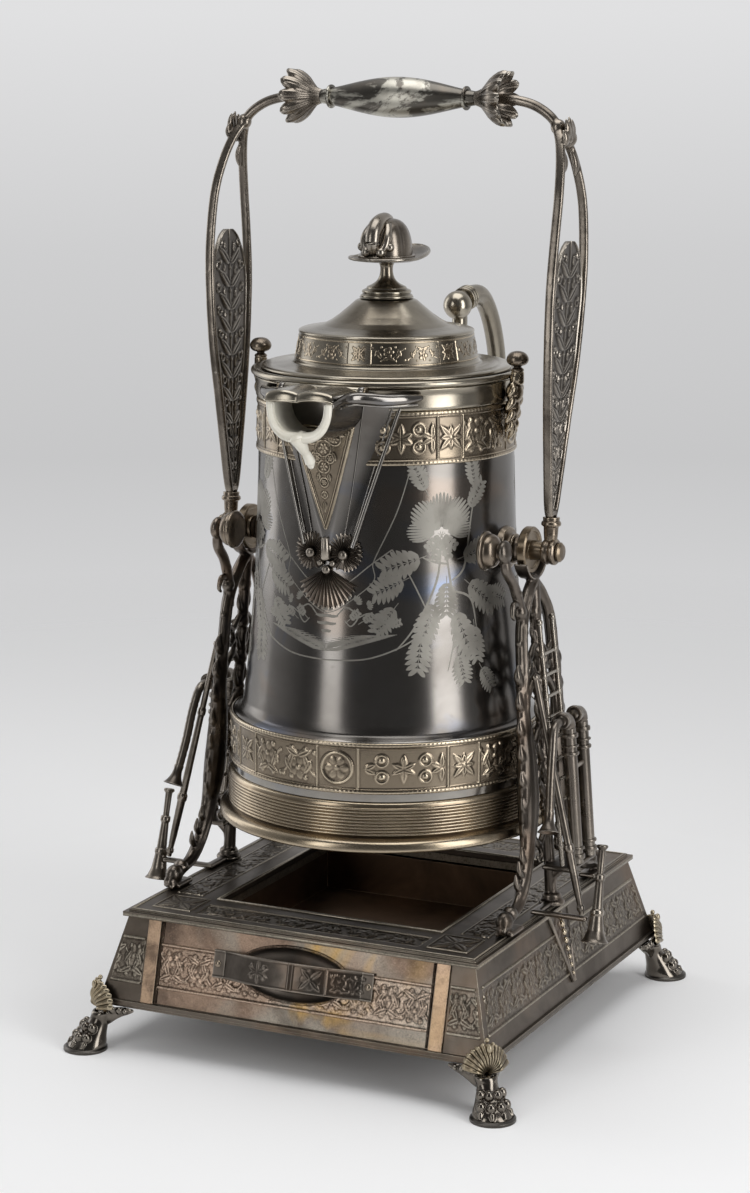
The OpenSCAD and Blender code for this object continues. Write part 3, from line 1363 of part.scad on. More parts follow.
function rod_path(side) = curve([
  [bail_x - 0.6, side * 2.8, ferrule_top + seat + 1.4, rod_r - 0.4, rod_r - 0.2],
  [bail_x - 0.4, side * 6, ferrule_top + 12, rod_r - 0.2, rod_r],
  [bail_x + 1.2, side * rod_spread * 0.62, bail_h * 0.3, rod_r, rod_r],
  [bail_x + 2.8, side * rod_spread * 0.87, bail_h * 0.43, rod_r, rod_r],
  [bail_x + 4, side * rod_spread, bail_h * 0.57, rod_r, rod_r],
  [bail_x + 4.8, side * rod_spread * 0.96, bail_h * 0.67, rod_r, rod_r],
  [bail_x + 4.8, side * rod_spread * 0.78, bail_h * 0.775, rod_r, rod_r],
  [bail_x + 2.8, side * rod_spread * 0.52, bail_h * 0.85, rod_r, rod_r],
  [bail_x - 0.6, side * rod_spread * 0.26, bail_h * 0.905, rod_r, rod_r],
  [bail_x - 5, side * 1.2, bail_h * 0.94, rod_r, rod_r]
], 2);

module bail_arm() {
  leaned() {
    for (side = [-1, 1]) sweep(rod_path(side), [1, 0, 0], 8);
    sweep(curve([
      [bail_x - 3.4, 0, bail_h * 0.932, rod_r + 0.3, rod_r + 0.3],
      [bail_x - 9.6, 0, bail_h * 0.962, rod_r + 0.2, rod_r],
      [bail_x - 20, 0, bail_h * 0.986, rod_r, rod_r], [bail_x - 33, 0, bail_h - 0.6, rod_r, rod_r],
      [flare_in + 9 + seat, 0, bail_h, rod_r, rod_r]
    ], 3), [0, 1, 0], 8);
    // a small bud of leaves where the rods meet
    for (k = [-1, 0, 1])
      turned([bail_x - 1, k * 3, bail_h * 0.895], [bail_x + 3 - abs(k), k * 6.4, bail_h * 0.955],
        [[0, 0], [2.2, 0], [3, 5], [2.4, 11], [0.6, 16], [0, 16]]);
    translate([bail_x - 5, 0, bail_h * 0.94]) sphere(r = 4.6, $fn = 24);
    // the foot that the ferrule takes
    hull() for (side = [-1, 1])
      translate([bail_x - 0.6, side * 2.2, ferrule_top + seat])
        cylinder(h = 4, r = rod_r - 0.4, $fn = 16);
  }
}
module bail_arm_right() { made_of(dark) bail_arm(); }
module bail_arm_left() { made_of(dark) mirror([1, 0, 0]) bail_arm(); }

module bail_hubs() {
  made_of(warm) both_sides() leaned() difference() {
    union() {
      translate([bail_x - hub_half, 0, 0]) rotate([0, 90, 0]) rotate_extrude($fn = 48) polygon([
        [0, 0], [hub_r - 1, 0], [hub_r, 1], [hub_r, 2 * hub_half - 1],
        [hub_r - 1, 2 * hub_half], [0, 2 * hub_half]
      ]);
      translate([bail_x - 0.4, 0, hub_r - 2])
        cylinder(h = ferrule_top - hub_r + 2, r1 = 3.8, r2 = 5.2, $fn = 32);
      translate([bail_x - 0.4, 0, ferrule_top - 5]) cylinder(h = 2.2, r = 5.9, $fn = 32);
    }
    translate([bail_x - 20, 0, 0]) rotate([0, 90, 0]) cylinder(h = 40, r = pin_r + fit, $fn = 48);
  }
}

// Almond panels of leaves, one between each pair of rods
// Room for a panel beside a rod, at a height above the hub
function rod_gap(h) = lookup(h, [
  [ferrule_top + 1.6, 2.8], [ferrule_top + 12, 6], [bail_h * 0.3, 0.62 * rod_spread],
  [bail_h * 0.43, 0.87 * rod_spread], [bail_h * 0.57, rod_spread],
  [bail_h * 0.67, 0.96 * rod_spread], [bail_h * 0.775, 0.78 * rod_spread]
]) - rod_r - slip;
// Half the panel's width at a share of its length: round at the top, pointed at the bottom
function leaf_edge(t) = min(
  leaf_half * sqrt(1 - pow(max(0, t - 0.78) / 0.2201, 2)),
  max(0.4, rod_gap(leaf_low + leaf_l * t))
);
module leaf_panels() {
  tilt = atan(5.2 / (bail_h * 0.5));
  n = 40;
  made_of(dark) both_sides() leaned()
    translate([bail_x - 0.8, 0, leaf_low]) rotate([0, tilt, 0]) rotate([90, 0, 90]) {
      linear_extrude(2, center = true) polygon(concat(
        [for (k = [0 : n]) [leaf_edge(k / n), leaf_l * k / n]],
        [for (k = [n : -1 : 0]) [-leaf_edge(k / n), leaf_l * k / n]]
      ));
      // a midrib with pairs of leaves
      linear_extrude(3.6, center = true) {
        strip([[0, 4, 1.8], [0, leaf_l * 0.5, 1.4], [0, leaf_l - 6, 0.8]]);
        for (k = [1 : 5], s = [-1, 1])
          let (v = leaf_l * (0.16 * k - 0.04), w = leaf_edge(0.16 * k + 0.02))
          strip([[0, v, 0.8], [s * w * 0.45, v + 7, 2.6], [s * w * 0.78, v + 18, 0.7]], 3);
      }
    }
}

// The turned grip
module grip() {
  half = flare_end - 22;
  made_of(silver) leaned() translate([-half, 0, bail_h]) rotate([0, 90, 0]) rotate_extrude($fn = 64)
    polygon(concat(
      [[0, 0], [4.2, 0]],
      [for (k = [0 : 20]) let (a = k / 20)
        [4.6 + (grip_r - 4.6) * pow(sin(180 * a), 1.3), lerp(2, 2 * half - 2, a)]],
      [[4.2, 2 * half], [0, 2 * half]]
    ));
}

// Fluted flares like open tulips, one on each end of the grip
function flare_ring(r, x, depth, n) = [
  for (k = [0 : n - 1])
    let (a = 360 * k / n, q = r * (1 - depth + depth * abs(cos(a * petals / 2))))
    [x, q * cos(a), q * sin(a)]
];
module grip_flares() {
  n = 4 * petals;
  low = flare_in;
  rows = [
    [4.4, low, 0], [4.8, low + 3, 0.02], [8, low + 7, 0.08], [flare_r * 0.82, low + 12, 0.14],
    [flare_r, low + 17, 0.18], [flare_r * 0.97, flare_end, 0.2], [flare_r * 0.86, flare_end - 1.2, 0.2],
    [flare_r * 0.7, low + 12.6, 0.12], [4, low + 9, 0]
  ];
  points = [for (r = rows) each flare_ring(r[0], r[1], r[2], n)];
  last = (len(rows) - 1) * n;
  made_of(dark) both_sides() leaned() translate([0, 0, bail_h])
    polyhedron(points = points, faces = concat(
      [[for (k = [n - 1 : -1 : 0]) k]],
      [[for (k = [0 : n - 1]) last + k]],
      [for (i = [0 : len(rows) - 2], k = [0 : n - 1])
        let (a = i * n + k, b = i * n + (k + 1) % n) [a, b, a + n]],
      [for (i = [0 : len(rows) - 2], k = [0 : n - 1])
        let (a = i * n + k, b = i * n + (k + 1) % n) [b, b + n, a + n]]
    ));
}

base_casing();
top_plate();
base_floor();
bottom_moulding();
drawer_runners();
front_strips();
side_drops();
foot_front_left();
foot_front_right();
foot_rear_left();
foot_rear_right();
foot_pads();
foot_screws();
drip_tray();
drawer_front();
finger_cup();
strap_pull();
pull_rivets();
upright_left();
upright_right();
bearing_left();
bearing_right();
trunnion_pins();
scroll_knobs();
ladder_left();
ladder_right();
pipes_left();
pipes_right();
trumpet_left();
trumpet_right();
nozzle_left();
nozzle_right();
upright_screws();
outer_body();
inner_liner();
body_bottom();
foot_ring();
lower_band();
upper_band();
rim_ring();
spout_casing();
spout_lining();
spout_palmettes();
trunnion_sockets();
rim_knobs();
rim_brackets();
back_handle();
lid_hinge_plate();
lid_hinge_pin();
flap_hinge_pin();
spout_flap();
lid_dome();
lid_collar();
helmet_finial();
bail_arm_left();
bail_arm_right();
bail_hubs();
leaf_panels();
grip();
grip_flares();
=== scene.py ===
# %% [markdown]
# # A tilting water pitcher on its stand
# The object is a silver-plated pitcher that swings between two cast uprights, over a square base with
# a drip drawer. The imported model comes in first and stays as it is. Every piece made here is drawn in
# the same frame, so it can ride on the solid that it dresses and follow it when a joint moves.

from math import asin, atan, copysign, cos, degrees as to_degrees, hypot, pi, radians, sin, sqrt

import bmesh
import bpy
import numpy as np
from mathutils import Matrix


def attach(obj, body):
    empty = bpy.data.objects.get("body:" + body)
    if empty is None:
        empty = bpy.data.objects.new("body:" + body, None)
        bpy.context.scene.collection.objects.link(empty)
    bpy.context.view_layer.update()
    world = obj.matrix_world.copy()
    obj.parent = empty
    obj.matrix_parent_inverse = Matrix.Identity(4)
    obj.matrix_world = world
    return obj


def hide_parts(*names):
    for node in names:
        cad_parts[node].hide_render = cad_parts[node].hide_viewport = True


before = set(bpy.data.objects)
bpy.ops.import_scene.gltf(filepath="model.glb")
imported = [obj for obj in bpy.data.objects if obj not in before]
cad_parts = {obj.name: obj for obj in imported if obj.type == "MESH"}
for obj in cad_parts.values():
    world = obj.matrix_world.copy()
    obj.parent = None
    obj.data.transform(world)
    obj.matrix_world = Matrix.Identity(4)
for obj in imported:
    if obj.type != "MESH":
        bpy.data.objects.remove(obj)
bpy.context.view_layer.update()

# %% [markdown]
# ## Drawing in millimetres
# A maker measures this object from the pitcher's own axis, in millimetres. The frame's origin lies
# under the middle of the whole, 12.2 mm in front of that axis. One function carries points over, so all
# the other cells can use plain millimetres about the axis, with the spout towards -Y.

# %% Points, nets and turned shapes
MM = 0.001
MIDDLE_Y = 12.2


def net(points, round_u=False, round_v=False, caps=False):
    """Quads over a grid of points, rows u by columns v."""
    points = np.asarray(points, float)
    rows, cols = points.shape[:2]
    faces = []
    for i in range(rows if round_u else rows - 1):
        for j in range(cols if round_v else cols - 1):
            k, m = (i + 1) % rows, (j + 1) % cols
            faces.append((i * cols + j, k * cols + j, k * cols + m, i * cols + m))
    if caps:
        faces.append(tuple(range(cols)))
        faces.append(tuple((rows - 1) * cols + j for j in range(cols - 1, -1, -1)))
    return points.reshape(-1, 3), faces


def closed_net(rings):
    """Closed rings in a row, with a cap at either end."""
    return net(rings, round_v=True, caps=True)


def circle(sides):
    """Even angles once round."""
    return np.linspace(0, 2 * pi, sides, endpoint=False)


def shares(count):
    """Even steps from 0 to 1."""
    return np.linspace(0, 1, count)


def grid(u, v):
    """Two axes spread over a grid."""
    return np.meshgrid(u, v, indexing="ij")


def join(*shapes):
    """Several shapes as one."""
    points, faces, start = [], [], 0
    for p, f in shapes:
        points.append(np.asarray(p, float))
        faces.extend(tuple(start + i for i in face) for face in f)
        start += len(p)
    return np.concatenate(points), faces


def moved(shape, matrix=None, shift=(0, 0, 0)):
    """A shape turned by a 3 by 3 matrix, then shifted."""
    points = np.asarray(shape[0], float)
    if matrix is not None:
        points = points @ np.asarray(matrix, float).T
    return points + np.asarray(shift, float), shape[1]


def flipped(faces):
    """The same faces seen from the other side, which a mirror image needs."""
    return [tuple(reversed(f)) for f in faces]


def mirrored(shape):
    """The same shape on the other side, left for right."""
    return shape[0] * np.array([-1, 1, 1]), flipped(shape[1])


def both(shape):
    return join(shape, mirrored(shape))


def turn(axis, degrees):
    """A rotation about X, Y or Z."""
    c, s = cos(radians(degrees)), sin(radians(degrees))
    return {"x": [[1, 0, 0], [0, c, -s], [0, s, c]], "y": [[c, 0, s], [0, 1, 0], [-s, 0, c]],
        "z": [[c, -s, 0], [s, c, 0], [0, 0, 1]],}[axis]


def curve(points, steps):
    """A smooth line through given points of any dimension."""
    p = np.asarray(points, float)
    out = []
    for i in range(len(p) - 1):
        a, b, c, d = p[max(i - 1, 0)], p[i], p[i + 1], p[min(i + 2, len(p) - 1)]
        for k in range(steps):
            t = k / steps
            out.append(0.5 * (2 * b + (c - a) * t + (2 * a - 5 * b + 4 * c - d) * t * t
                + (3 * b - a - 3 * c + d) * t ** 3))
    return np.array(out + [p[-1]])


def rounded(outline, radius=0.5, steps=3, closed=True):
    """An outline whose corners are eased, because a turned or cast edge always catches the light."""
    p = [np.asarray(q, float) for q in outline]
    out = []
    for i, q in enumerate(p):
        if not closed and i in (0, len(p) - 1):
            out.append(q)
            continue
        a, b = p[i - 1], p[(i + 1) % len(p)]
        la, lb = np.linalg.norm(a - q), np.linalg.norm(b - q)
        if la < 1e-6 or lb < 1e-6:
            continue
        cut = min(radius, la * 0.45, lb * 0.45)
        start, end = q + (a - q) * cut / la, q + (b - q) * cut / lb
        for k in range(steps + 1):
            t = k / steps
            out.append((1 - t) ** 2 * start + 2 * t * (1 - t) * q + t * t * end)
    return np.array(out)


def sleeve(inner, outer, long, *ease, closed=True):
    """The outline of a ring on an axis: its two radii and its length."""
    return rounded([[inner, 0], [outer, 0], [outer, long], [inner, long]], *ease, closed=closed)


def lathe(outline, sides=96, closed=True):
    """An outline of radius and height turned about the upright axis."""
    r, z = np.asarray(outline, float).T
    a = circle(sides)[:, None]
    points = np.stack([r * np.cos(a), r * np.sin(a), z + 0 * a], axis=-1)
    return net(points, round_u=True, round_v=closed)


def along(start, end):
    """The turn that takes the upright axis to the line from one point to another."""
    d = np.asarray(end, float) - np.asarray(start, float)
    z = d / np.linalg.norm(d)
    x = np.cross([0, 0, 1] if abs(z[2]) < 0.9 else [1, 0, 0], z)
    x /= np.linalg.norm(x)
    return np.stack([x, np.cross(z, x), z], axis=1)


def turned(start, end, outline, sides=32):
    """An outline turned about the line from one point towards another."""
    return moved(lathe(outline, sides, False), along(start, end), start)


def tube(path, radius, sides=14, side=None, flat=1.0):
    """A round or flattened bar along a path, closed at both ends."""
    path = np.asarray(path, float)
    radius = np.broadcast_to(np.asarray(radius, float), (len(path),))
    heading = np.gradient(path, axis=0)
    heading /= np.linalg.norm(heading, axis=1)[:, None]
    if side is None:
        side = [0, 0, 1] if abs(heading[:, 2]).mean() < 0.8 else [1, 0, 0]
    u = np.cross(heading, np.asarray(side, float))
    u /= np.linalg.norm(u, axis=1)[:, None]
    v = np.cross(heading, u)
    a = circle(sides)
    rings = (path[:, None] + radius[:, None, None] * (np.cos(a)[None, :, None] * u[:, None] + flat
        * np.sin(a)[None, :, None] * v[:, None]))
    ends = [path[:1, None] - heading[:1, None] * radius[0] * 0.35 + (rings[:1] - path[:1, None]) * 0.6]
    tail = [path[-1:, None] + heading[-1:, None] * radius[-1] * 0.35 + (rings[-1:] - path[-1:, None]) * 0.6]
    return closed_net(np.concatenate(ends + [rings] + tail))


def ball(centre, radius, sides=16):
    """A ball or an oval, from one radius or three."""
    a = np.linspace(-pi / 2, pi / 2, sides // 2 + 1)
    outline = np.stack([np.cos(a), np.sin(a)], axis=1)
    outline[[0, -1], 0] = 0
    points, faces = lathe(outline, sides, False)
    return points * np.asarray(radius, float) + np.asarray(centre, float), faces


def box(low, high, ease=0.6):
    """A block with eased edges."""
    low, high = np.asarray(low, float), np.asarray(high, float)
    mid, half = (low + high) / 2, (high - low) / 2
    ease = min(ease, *(half * 0.9))
    rings = []
    for z, inset in [(-half[2], ease), (-half[2] + ease, 0), (half[2] - ease, 0), (half[2], ease)]:
        x, y = half[0] - inset, half[1] - inset
        e = ease * 0.7
        rings.append([[x, y - e, z], [x - e, y, z], [-x + e, y, z], [-x, y - e, z], [-x, -y + e, z],
            [-x + e, -y, z], [x - e, -y, z], [x, -y + e, z]])
    points, faces = closed_net(rings)
    return points + mid, faces

# %% [markdown]
# ## From points to a piece
# Each piece becomes one mesh. Its doubled points are merged and its faces turned outwards, then it is shaded
# smoothly except over real edges. The same call says which body carries it, which finish it has, and which
# solids it stands for.

# %% Make a piece
made = {}


def mesh_of(name, shape, outward=True):
    mesh = bpy.data.meshes.new(name)
    points = (np.asarray(shape[0], float) - [0, MIDDLE_Y, 0]) * MM
    mesh.from_pydata(points.tolist(), [], shape[1])
    work = bmesh.new()
    work.from_mesh(mesh)
    bmesh.ops.remove_doubles(work, verts=work.verts, dist=1e-6)
    bmesh.ops.dissolve_degenerate(work, edges=work.edges, dist=1e-7)
    if outward:
        bmesh.ops.recalc_face_normals(work, faces=work.faces)
    work.to_mesh(mesh)
    work.free()
    return mesh


def add_object(name, data):
    """A new object in the scene."""
    thing = bpy.data.objects.new(name, data)
    bpy.context.scene.collection.objects.link(thing)
    return thing


def evaluated(thing):
    """The mesh that an object's modifiers give, as plain mesh."""
    bpy.context.view_layer.update()
    graph = bpy.context.evaluated_depsgraph_get()
    return bpy.data.meshes.new_from_object(thing.evaluated_get(graph), depsgraph=graph)


def settle(name, mesh, finish, body, stands_for=(), sharp=38):
    """A finished mesh becomes a piece that rides on its body."""
    mesh.name = name
    mesh.materials.clear()
    mesh.materials.append(finish)
    mesh.polygons.foreach_set("material_index", np.zeros(len(mesh.polygons), np.int32))
    mesh.polygons.foreach_set("use_smooth", np.ones(len(mesh.polygons), bool))
    mesh.set_sharp_from_angle(angle=radians(sharp))
    mesh.update()
    thing = add_object(name, mesh)
    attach(thing, body)
    if stands_for:
        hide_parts(*stands_for)
    made[name] = sum(len(f.vertices) - 2 for f in mesh.polygons)
    print(f"{name}: {made[name]} triangles")


def piece(name, shape, finish, body, slot, stands_for=(), sharp=38, outward=True):
    settle(name, mesh_of(name, shape, outward), finish, body, stands_for, sharp)


def cast(name, shape, voxel, finish, body, slot, stands_for=(), soften=2, sharp=60):
    """Overlapping bars and balls melt into one skin, as wax does before it is cast in metal."""
    blank = add_object(name, mesh_of(name, shape))
    melt = blank.modifiers.new("melt", "REMESH")
    melt.mode = "VOXEL"
    melt.voxel_size = voxel * MM
    rub = blank.modifiers.new("rub", "SMOOTH")
    rub.factor = 0.5
    rub.iterations = soften
    mesh = evaluated(blank)
    bpy.data.objects.remove(blank)
    settle(name, mesh, finish, body, stands_for, sharp)


def pair(make, name, node, shape, *how, sharp):
    """A piece on the right and its mirror image on the left."""
    for side, half in (("right", shape), ("left", mirrored(shape))):
        make(f"{name}_{side}", half, *how, stands_for=[f"{node}_{side}"], sharp=sharp)

# %% [markdown]
# ## Shader maths in plain Python
# A finish is arithmetic on patterns: so much tarnish, so little polish. One small class wraps a shader
# socket so that an expression on it adds the Math nodes, and one method makes every other kind of node.

# %% Sockets that can be added and multiplied
class Wire:
    """A socket inside a finish, usable in an expression."""

    def __init__(self, finish, socket):
        self.finish, self.socket = finish, socket

    def __add__(self, other): return self.finish.maths("ADD", self, other)
    def __radd__(self, other): return self.finish.maths("ADD", other, self)
    def __sub__(self, other): return self.finish.maths("SUBTRACT", self, other)
    def __rsub__(self, other): return self.finish.maths("SUBTRACT", other, self)
    def __mul__(self, other): return self.finish.maths("MULTIPLY", self, other)
    def __rmul__(self, other): return self.finish.maths("MULTIPLY", other, self)

    def between(self, low, high):
        """0 below low, 1 above high, and an even rise between."""
        return self.finish.maths("MULTIPLY", self - low, 1 / (high - low), clamp=True)


class Finish:
    """A material, or the world, and the nodes that it is made of."""

    def __init__(self, name, world=None):
        self.holder = world or bpy.data.materials.new(name)
        self.holder.use_nodes = True
        self.nodes, self.links = self.holder.node_tree.nodes, self.holder.node_tree.links
        self.nodes.clear()
        self.place = self.node("ShaderNodeTexCoord", out="Object")

    def node(self, kind, settings=None, sockets=None, out=0):
        made_node = self.nodes.new(kind)
        for key, value in (settings or {}).items():
            setattr(made_node, key, value)
        for key, value in (sockets or {}).items():
            if isinstance(value, Wire):
                self.links.new(value.socket, made_node.inputs[key])
            elif hasattr(value, "__len__") and made_node.inputs[key].type == "RGBA":
                made_node.inputs[key].default_value = (*value[:3], 1)
            else:
                made_node.inputs[key].default_value = value
        return Wire(self, made_node.outputs[out]) if len(made_node.outputs) else None

    def maths(self, how, a, b, clamp=False):
        return self.node("ShaderNodeMath", {"operation": how, "use_clamp": clamp}, {0: a, 1: b})

    def noise(self, scale, detail=3.0, stretch=None, rough=0.55, warp=0.0):
        """A cloudy pattern from 0 to 1, stretched along an axis if asked."""
        place = self.place
        if stretch:
            place = self.node("ShaderNodeMapping", None, {"Vector": place, "Scale": stretch})
        return self.node("ShaderNodeTexNoise", {"noise_dimensions": "3D"}, {"Vector": place, "Scale": scale,
            "Detail": detail, "Roughness": rough, "Distortion": warp})

    def mix(self, share, a, b, blend="MIX"):
        """Colour a where the share is 0, colour b where it is 1."""
        return self.node("ShaderNodeMix", {"data_type": "RGBA", "blend_type": blend}, {0: share, 6: a, 7: b},
            out=2)

    def ridges(self, low=0.46, high=0.58):
        """1 on high edges, where rubbed wear and a painted highlight are laid, 0 in hollows."""
        return self.node("ShaderNodeNewGeometry", out="Pointiness").between(low, high)

    def sheet_edges(self, width):
        """The eased normal of a plain sheet, and 1 along its edges within some millimetres."""
        eased = self.node("ShaderNodeBevel", {"samples": 4}, {"Radius": width * MM})
        flat = self.node("ShaderNodeNewGeometry", out="Normal")
        same = self.node("ShaderNodeVectorMath", {"operation": "DOT_PRODUCT"}, {0: eased, 1: flat},
            out="Value")
        return eased, (1 - same).between(0.01, 0.16)

    def bump(self, height, size, strength=0.5, over=None):
        sockets = {"Height": height, "Distance": size * MM, "Strength": strength}
        if over is not None:
            sockets["Normal"] = over
        return self.node("ShaderNodeBump", None, sockets)

    def done(self, colour, rough, normal=None, metallic=1.0, coat=0.0):
        sockets = {"Base Color": colour, "Roughness": rough, "Metallic": metallic}
        if normal is not None:
            sockets["Normal"] = normal
        if coat:
            sockets["Coat Weight"], sockets["Coat Roughness"] = coat, 0.08
        shader = self.node("ShaderNodeBsdfPrincipled", None, sockets)
        self.node("ShaderNodeOutputMaterial", None, {"Surface": shader})
        return self.holder

# %% [markdown]
# ## Old silver plate
# Silver plate on soft metal darkens in blotches and stays dark in hollows; its edges are painted pale, partly
# as rubbed wear and partly as painted highlight.
# Every metal here is the same recipe with other colours: a cloudy stain, a fine grain, hairline
# scratches, and an edge mask from the shape's own curvature.

# %% Metal finishes
def metal(name, face, stain, hollow, bright, rough=(0.2, 0.4), cloud=14, patch=(0.42, 0.66), edge=(0.48, 0.6),
        scratch=0.15, grain=0.02, tints=(), sheet=0.0, chased=0.0):
    f = Finish(name)
    clouds = f.noise(cloud, 5, rough=0.62, warp=0.4)
    colour = f.mix(clouds.between(*patch), face, stain)
    for k, (tint, low, high) in enumerate(tints):
        colour = f.mix(f.noise(7 + 5 * k, 3, warp=1.2).between(low, high), colour, tint)
    specks = f.noise(160, 4)
    colour = f.mix(specks.between(0.62, 0.78) * 0.5, colour, stain)
    if sheet:
        eased, edges = f.sheet_edges(sheet)
        hollows = f.noise(24, 5, warp=0.8).between(0.58, 0.8) * 0.6
    else:
        eased, edges = None, f.ridges(*edge)
        hollows = 1 - f.ridges(edge[0] - 0.08, edge[0])
    colour = f.mix(hollows * 0.85, colour, hollow)
    # painted highlight: edges are lightened partly for rubbed wear and partly to stand in for the lamps'
    # glint on them
    colour = f.mix(edges * (0.35 + 0.5 * specks), colour, bright)
    if chased:
        tooled = f.noise(620, 3, rough=0.6, warp=1.5)
        colour = f.mix((1 - tooled.between(0.36, 0.5)) * chased, colour, hollow)
        # painted glints: the tooling's high spots take the same pale edge colour
        colour = f.mix(tooled.between(0.56, 0.7) * chased * 0.6, colour, bright)
    hairs = f.noise(90, 2, stretch=(1, 1, 14)).between(0.6, 0.75)
    spread = rough[1] - rough[0]
    roughness = rough[0] + clouds * spread + hairs * scratch * spread + hollows * 0.15
    height = f.noise(900, 2) * 0.5 + hairs * 0.3 + f.noise(60, 3) * 0.8
    if chased:
        height = height + tooled * 6 * chased
    return f.done(colour, roughness, f.bump(height, grain, 0.6, eased))


# The fourth colour of each finish, and of each shared set, is its pale edge colour: partly rubbed wear,
# partly painted highlight.
DARK_PLATE = metal("dark_plate", (0.235, 0.222, 0.208), (0.13, 0.118, 0.106), (0.05, 0.044, 0.038),
    (0.55, 0.52, 0.46), rough=(0.09, 0.24), cloud=9, edge=(0.52, 0.62), grain=0.008,
    tints=(((0.27, 0.19, 0.135), 0.54, 0.74), ((0.15, 0.175, 0.235), 0.56, 0.72)))
GOLDEN_PLATE = metal("golden_plate", (0.3, 0.235, 0.16), (0.15, 0.115, 0.085), (0.03, 0.024, 0.018),
    (0.66, 0.57, 0.43), rough=(0.16, 0.34), cloud=16, edge=(0.49, 0.56), grain=0.012)
LID_PLATE = metal("lid_plate", (0.36, 0.325, 0.265), (0.19, 0.165, 0.13), (0.05, 0.043, 0.034),
    (0.7, 0.64, 0.52), rough=(0.14, 0.32), cloud=12, edge=(0.5, 0.6), grain=0.012,
    tints=(((0.28, 0.2, 0.14), 0.56, 0.74),))
BAND_PLATE = metal("band_plate", (0.235, 0.19, 0.14), (0.1, 0.08, 0.062), (0.018, 0.015, 0.012),
    (0.7, 0.6, 0.45), rough=(0.17, 0.36), cloud=20, edge=(0.492, 0.53), grain=0.01)
DARK_CASTING = metal("dark_casting", (0.155, 0.132, 0.112), (0.07, 0.06, 0.05), (0.016, 0.013, 0.011),
    (0.52, 0.47, 0.4), rough=(0.2, 0.4), cloud=30, edge=(0.51, 0.6), grain=0.03,
    tints=(((0.2, 0.14, 0.1), 0.54, 0.72),))
PAW_CASTING = metal("paw_casting", (0.2, 0.178, 0.152), (0.1, 0.087, 0.073), (0.02, 0.017, 0.014),
    (0.6, 0.55, 0.47), rough=(0.09, 0.22), cloud=30, edge=(0.51, 0.6), grain=0.01)
SHELL_CASTING = metal("shell_casting", (0.17, 0.14, 0.105), (0.08, 0.066, 0.05), (0.016, 0.013, 0.01),
    (0.6, 0.52, 0.38), rough=(0.18, 0.38), cloud=30, edge=(0.495, 0.54), grain=0.02,
    tints=(((0.24, 0.18, 0.1), 0.5, 0.66),))
PANEL_CASTING = metal("panel_casting", (0.13, 0.115, 0.1), (0.06, 0.052, 0.046), (0.01, 0.009, 0.008),
    (0.55, 0.5, 0.43), rough=(0.22, 0.42), cloud=30, edge=(0.495, 0.545), grain=0.02)
ROD_METAL = metal("rod_metal", (0.3, 0.262, 0.22), (0.13, 0.112, 0.094), (0.03, 0.026, 0.022),
    (0.55, 0.52, 0.46), rough=(0.18, 0.36), cloud=40, edge=(0.52, 0.62), grain=0.02)
SHEET = dict(face=(0.145, 0.122, 0.1), stain=(0.08, 0.064, 0.05), hollow=(0.025, 0.02, 0.016),
    bright=(0.5, 0.45, 0.36), tints=(((0.19, 0.135, 0.095), 0.55, 0.72),))
SHEET_RELIEF = metal("sheet_relief", rough=(0.26, 0.44), cloud=16, edge=(0.495, 0.53), grain=0.02, chased=0.5,
    **SHEET)
SHEET_PLATE = metal("sheet_plate", rough=(0.26, 0.46), cloud=16, grain=0.03, sheet=0.9, scratch=0.4, **SHEET)
COPPER = dict(face=(0.29, 0.205, 0.15), stain=(0.11, 0.078, 0.06), hollow=(0.022, 0.016, 0.012),
    bright=(0.78, 0.6, 0.46), tints=(((0.3, 0.265, 0.22), 0.5, 0.62), ((0.46, 0.29, 0.1), 0.53, 0.68)))
COPPER_RELIEF = metal("copper_relief", rough=(0.26, 0.44), cloud=22, edge=(0.49, 0.525), grain=0.02,
    chased=0.7, **COPPER)
SHEET_COPPER = metal("sheet_copper", rough=(0.28, 0.48), cloud=26, grain=0.03, sheet=0.8, scratch=0.5,
    chased=0.25, **COPPER)
STRIP_COPPER = metal("strip_copper", (0.47, 0.33, 0.225), (0.2, 0.14, 0.1), (0.08, 0.055, 0.04),
    (0.85, 0.66, 0.47), rough=(0.26, 0.46), cloud=60, patch=(0.46, 0.62), grain=0.03, sheet=0.9, scratch=0.6,
    tints=(((0.45, 0.31, 0.19), 0.5, 0.64), ((0.3, 0.22, 0.16), 0.52, 0.66)), chased=0.25)
PAD_METAL = metal("pad_metal", (0.1, 0.092, 0.083), (0.05, 0.045, 0.04), (0.02, 0.018, 0.016),
    (0.34, 0.32, 0.28), rough=(0.26, 0.44), cloud=30, grain=0.02, sheet=0.5)
PIN_BRASS = metal("pin_brass", (0.3, 0.24, 0.17), (0.16, 0.125, 0.09), (0.05, 0.04, 0.03), (0.6, 0.5, 0.36),
    rough=(0.22, 0.4), cloud=40, grain=0.012, sheet=0.3)
WORN_BRASS = metal("worn_brass", (0.24, 0.195, 0.15), (0.13, 0.105, 0.085), (0.03, 0.025, 0.02),
    (0.55, 0.47, 0.36), rough=(0.2, 0.36), cloud=40, edge=(0.51, 0.58), grain=0.012)
TRAY_BROWN = metal("tray_brown", (0.19, 0.12, 0.075), (0.1, 0.066, 0.042), (0.04, 0.027, 0.018),
    (0.32, 0.24, 0.17), rough=(0.34, 0.55), cloud=18, grain=0.03, sheet=0.8)
ENGRAVING = metal("engraving", (0.36, 0.345, 0.31), (0.24, 0.225, 0.2), (0.14, 0.13, 0.11), (0.5, 0.48, 0.43),
    rough=(0.42, 0.56), cloud=30, edge=(0.52, 0.6), grain=0.03)

# %% [markdown]
# ## Glaze and patchy plate
# The spout is lined with white glazed ware, a little ivory, with faint crazing. The grip's plate has
# worn through in hard-edged patches, so its stain is cut with a steep step.

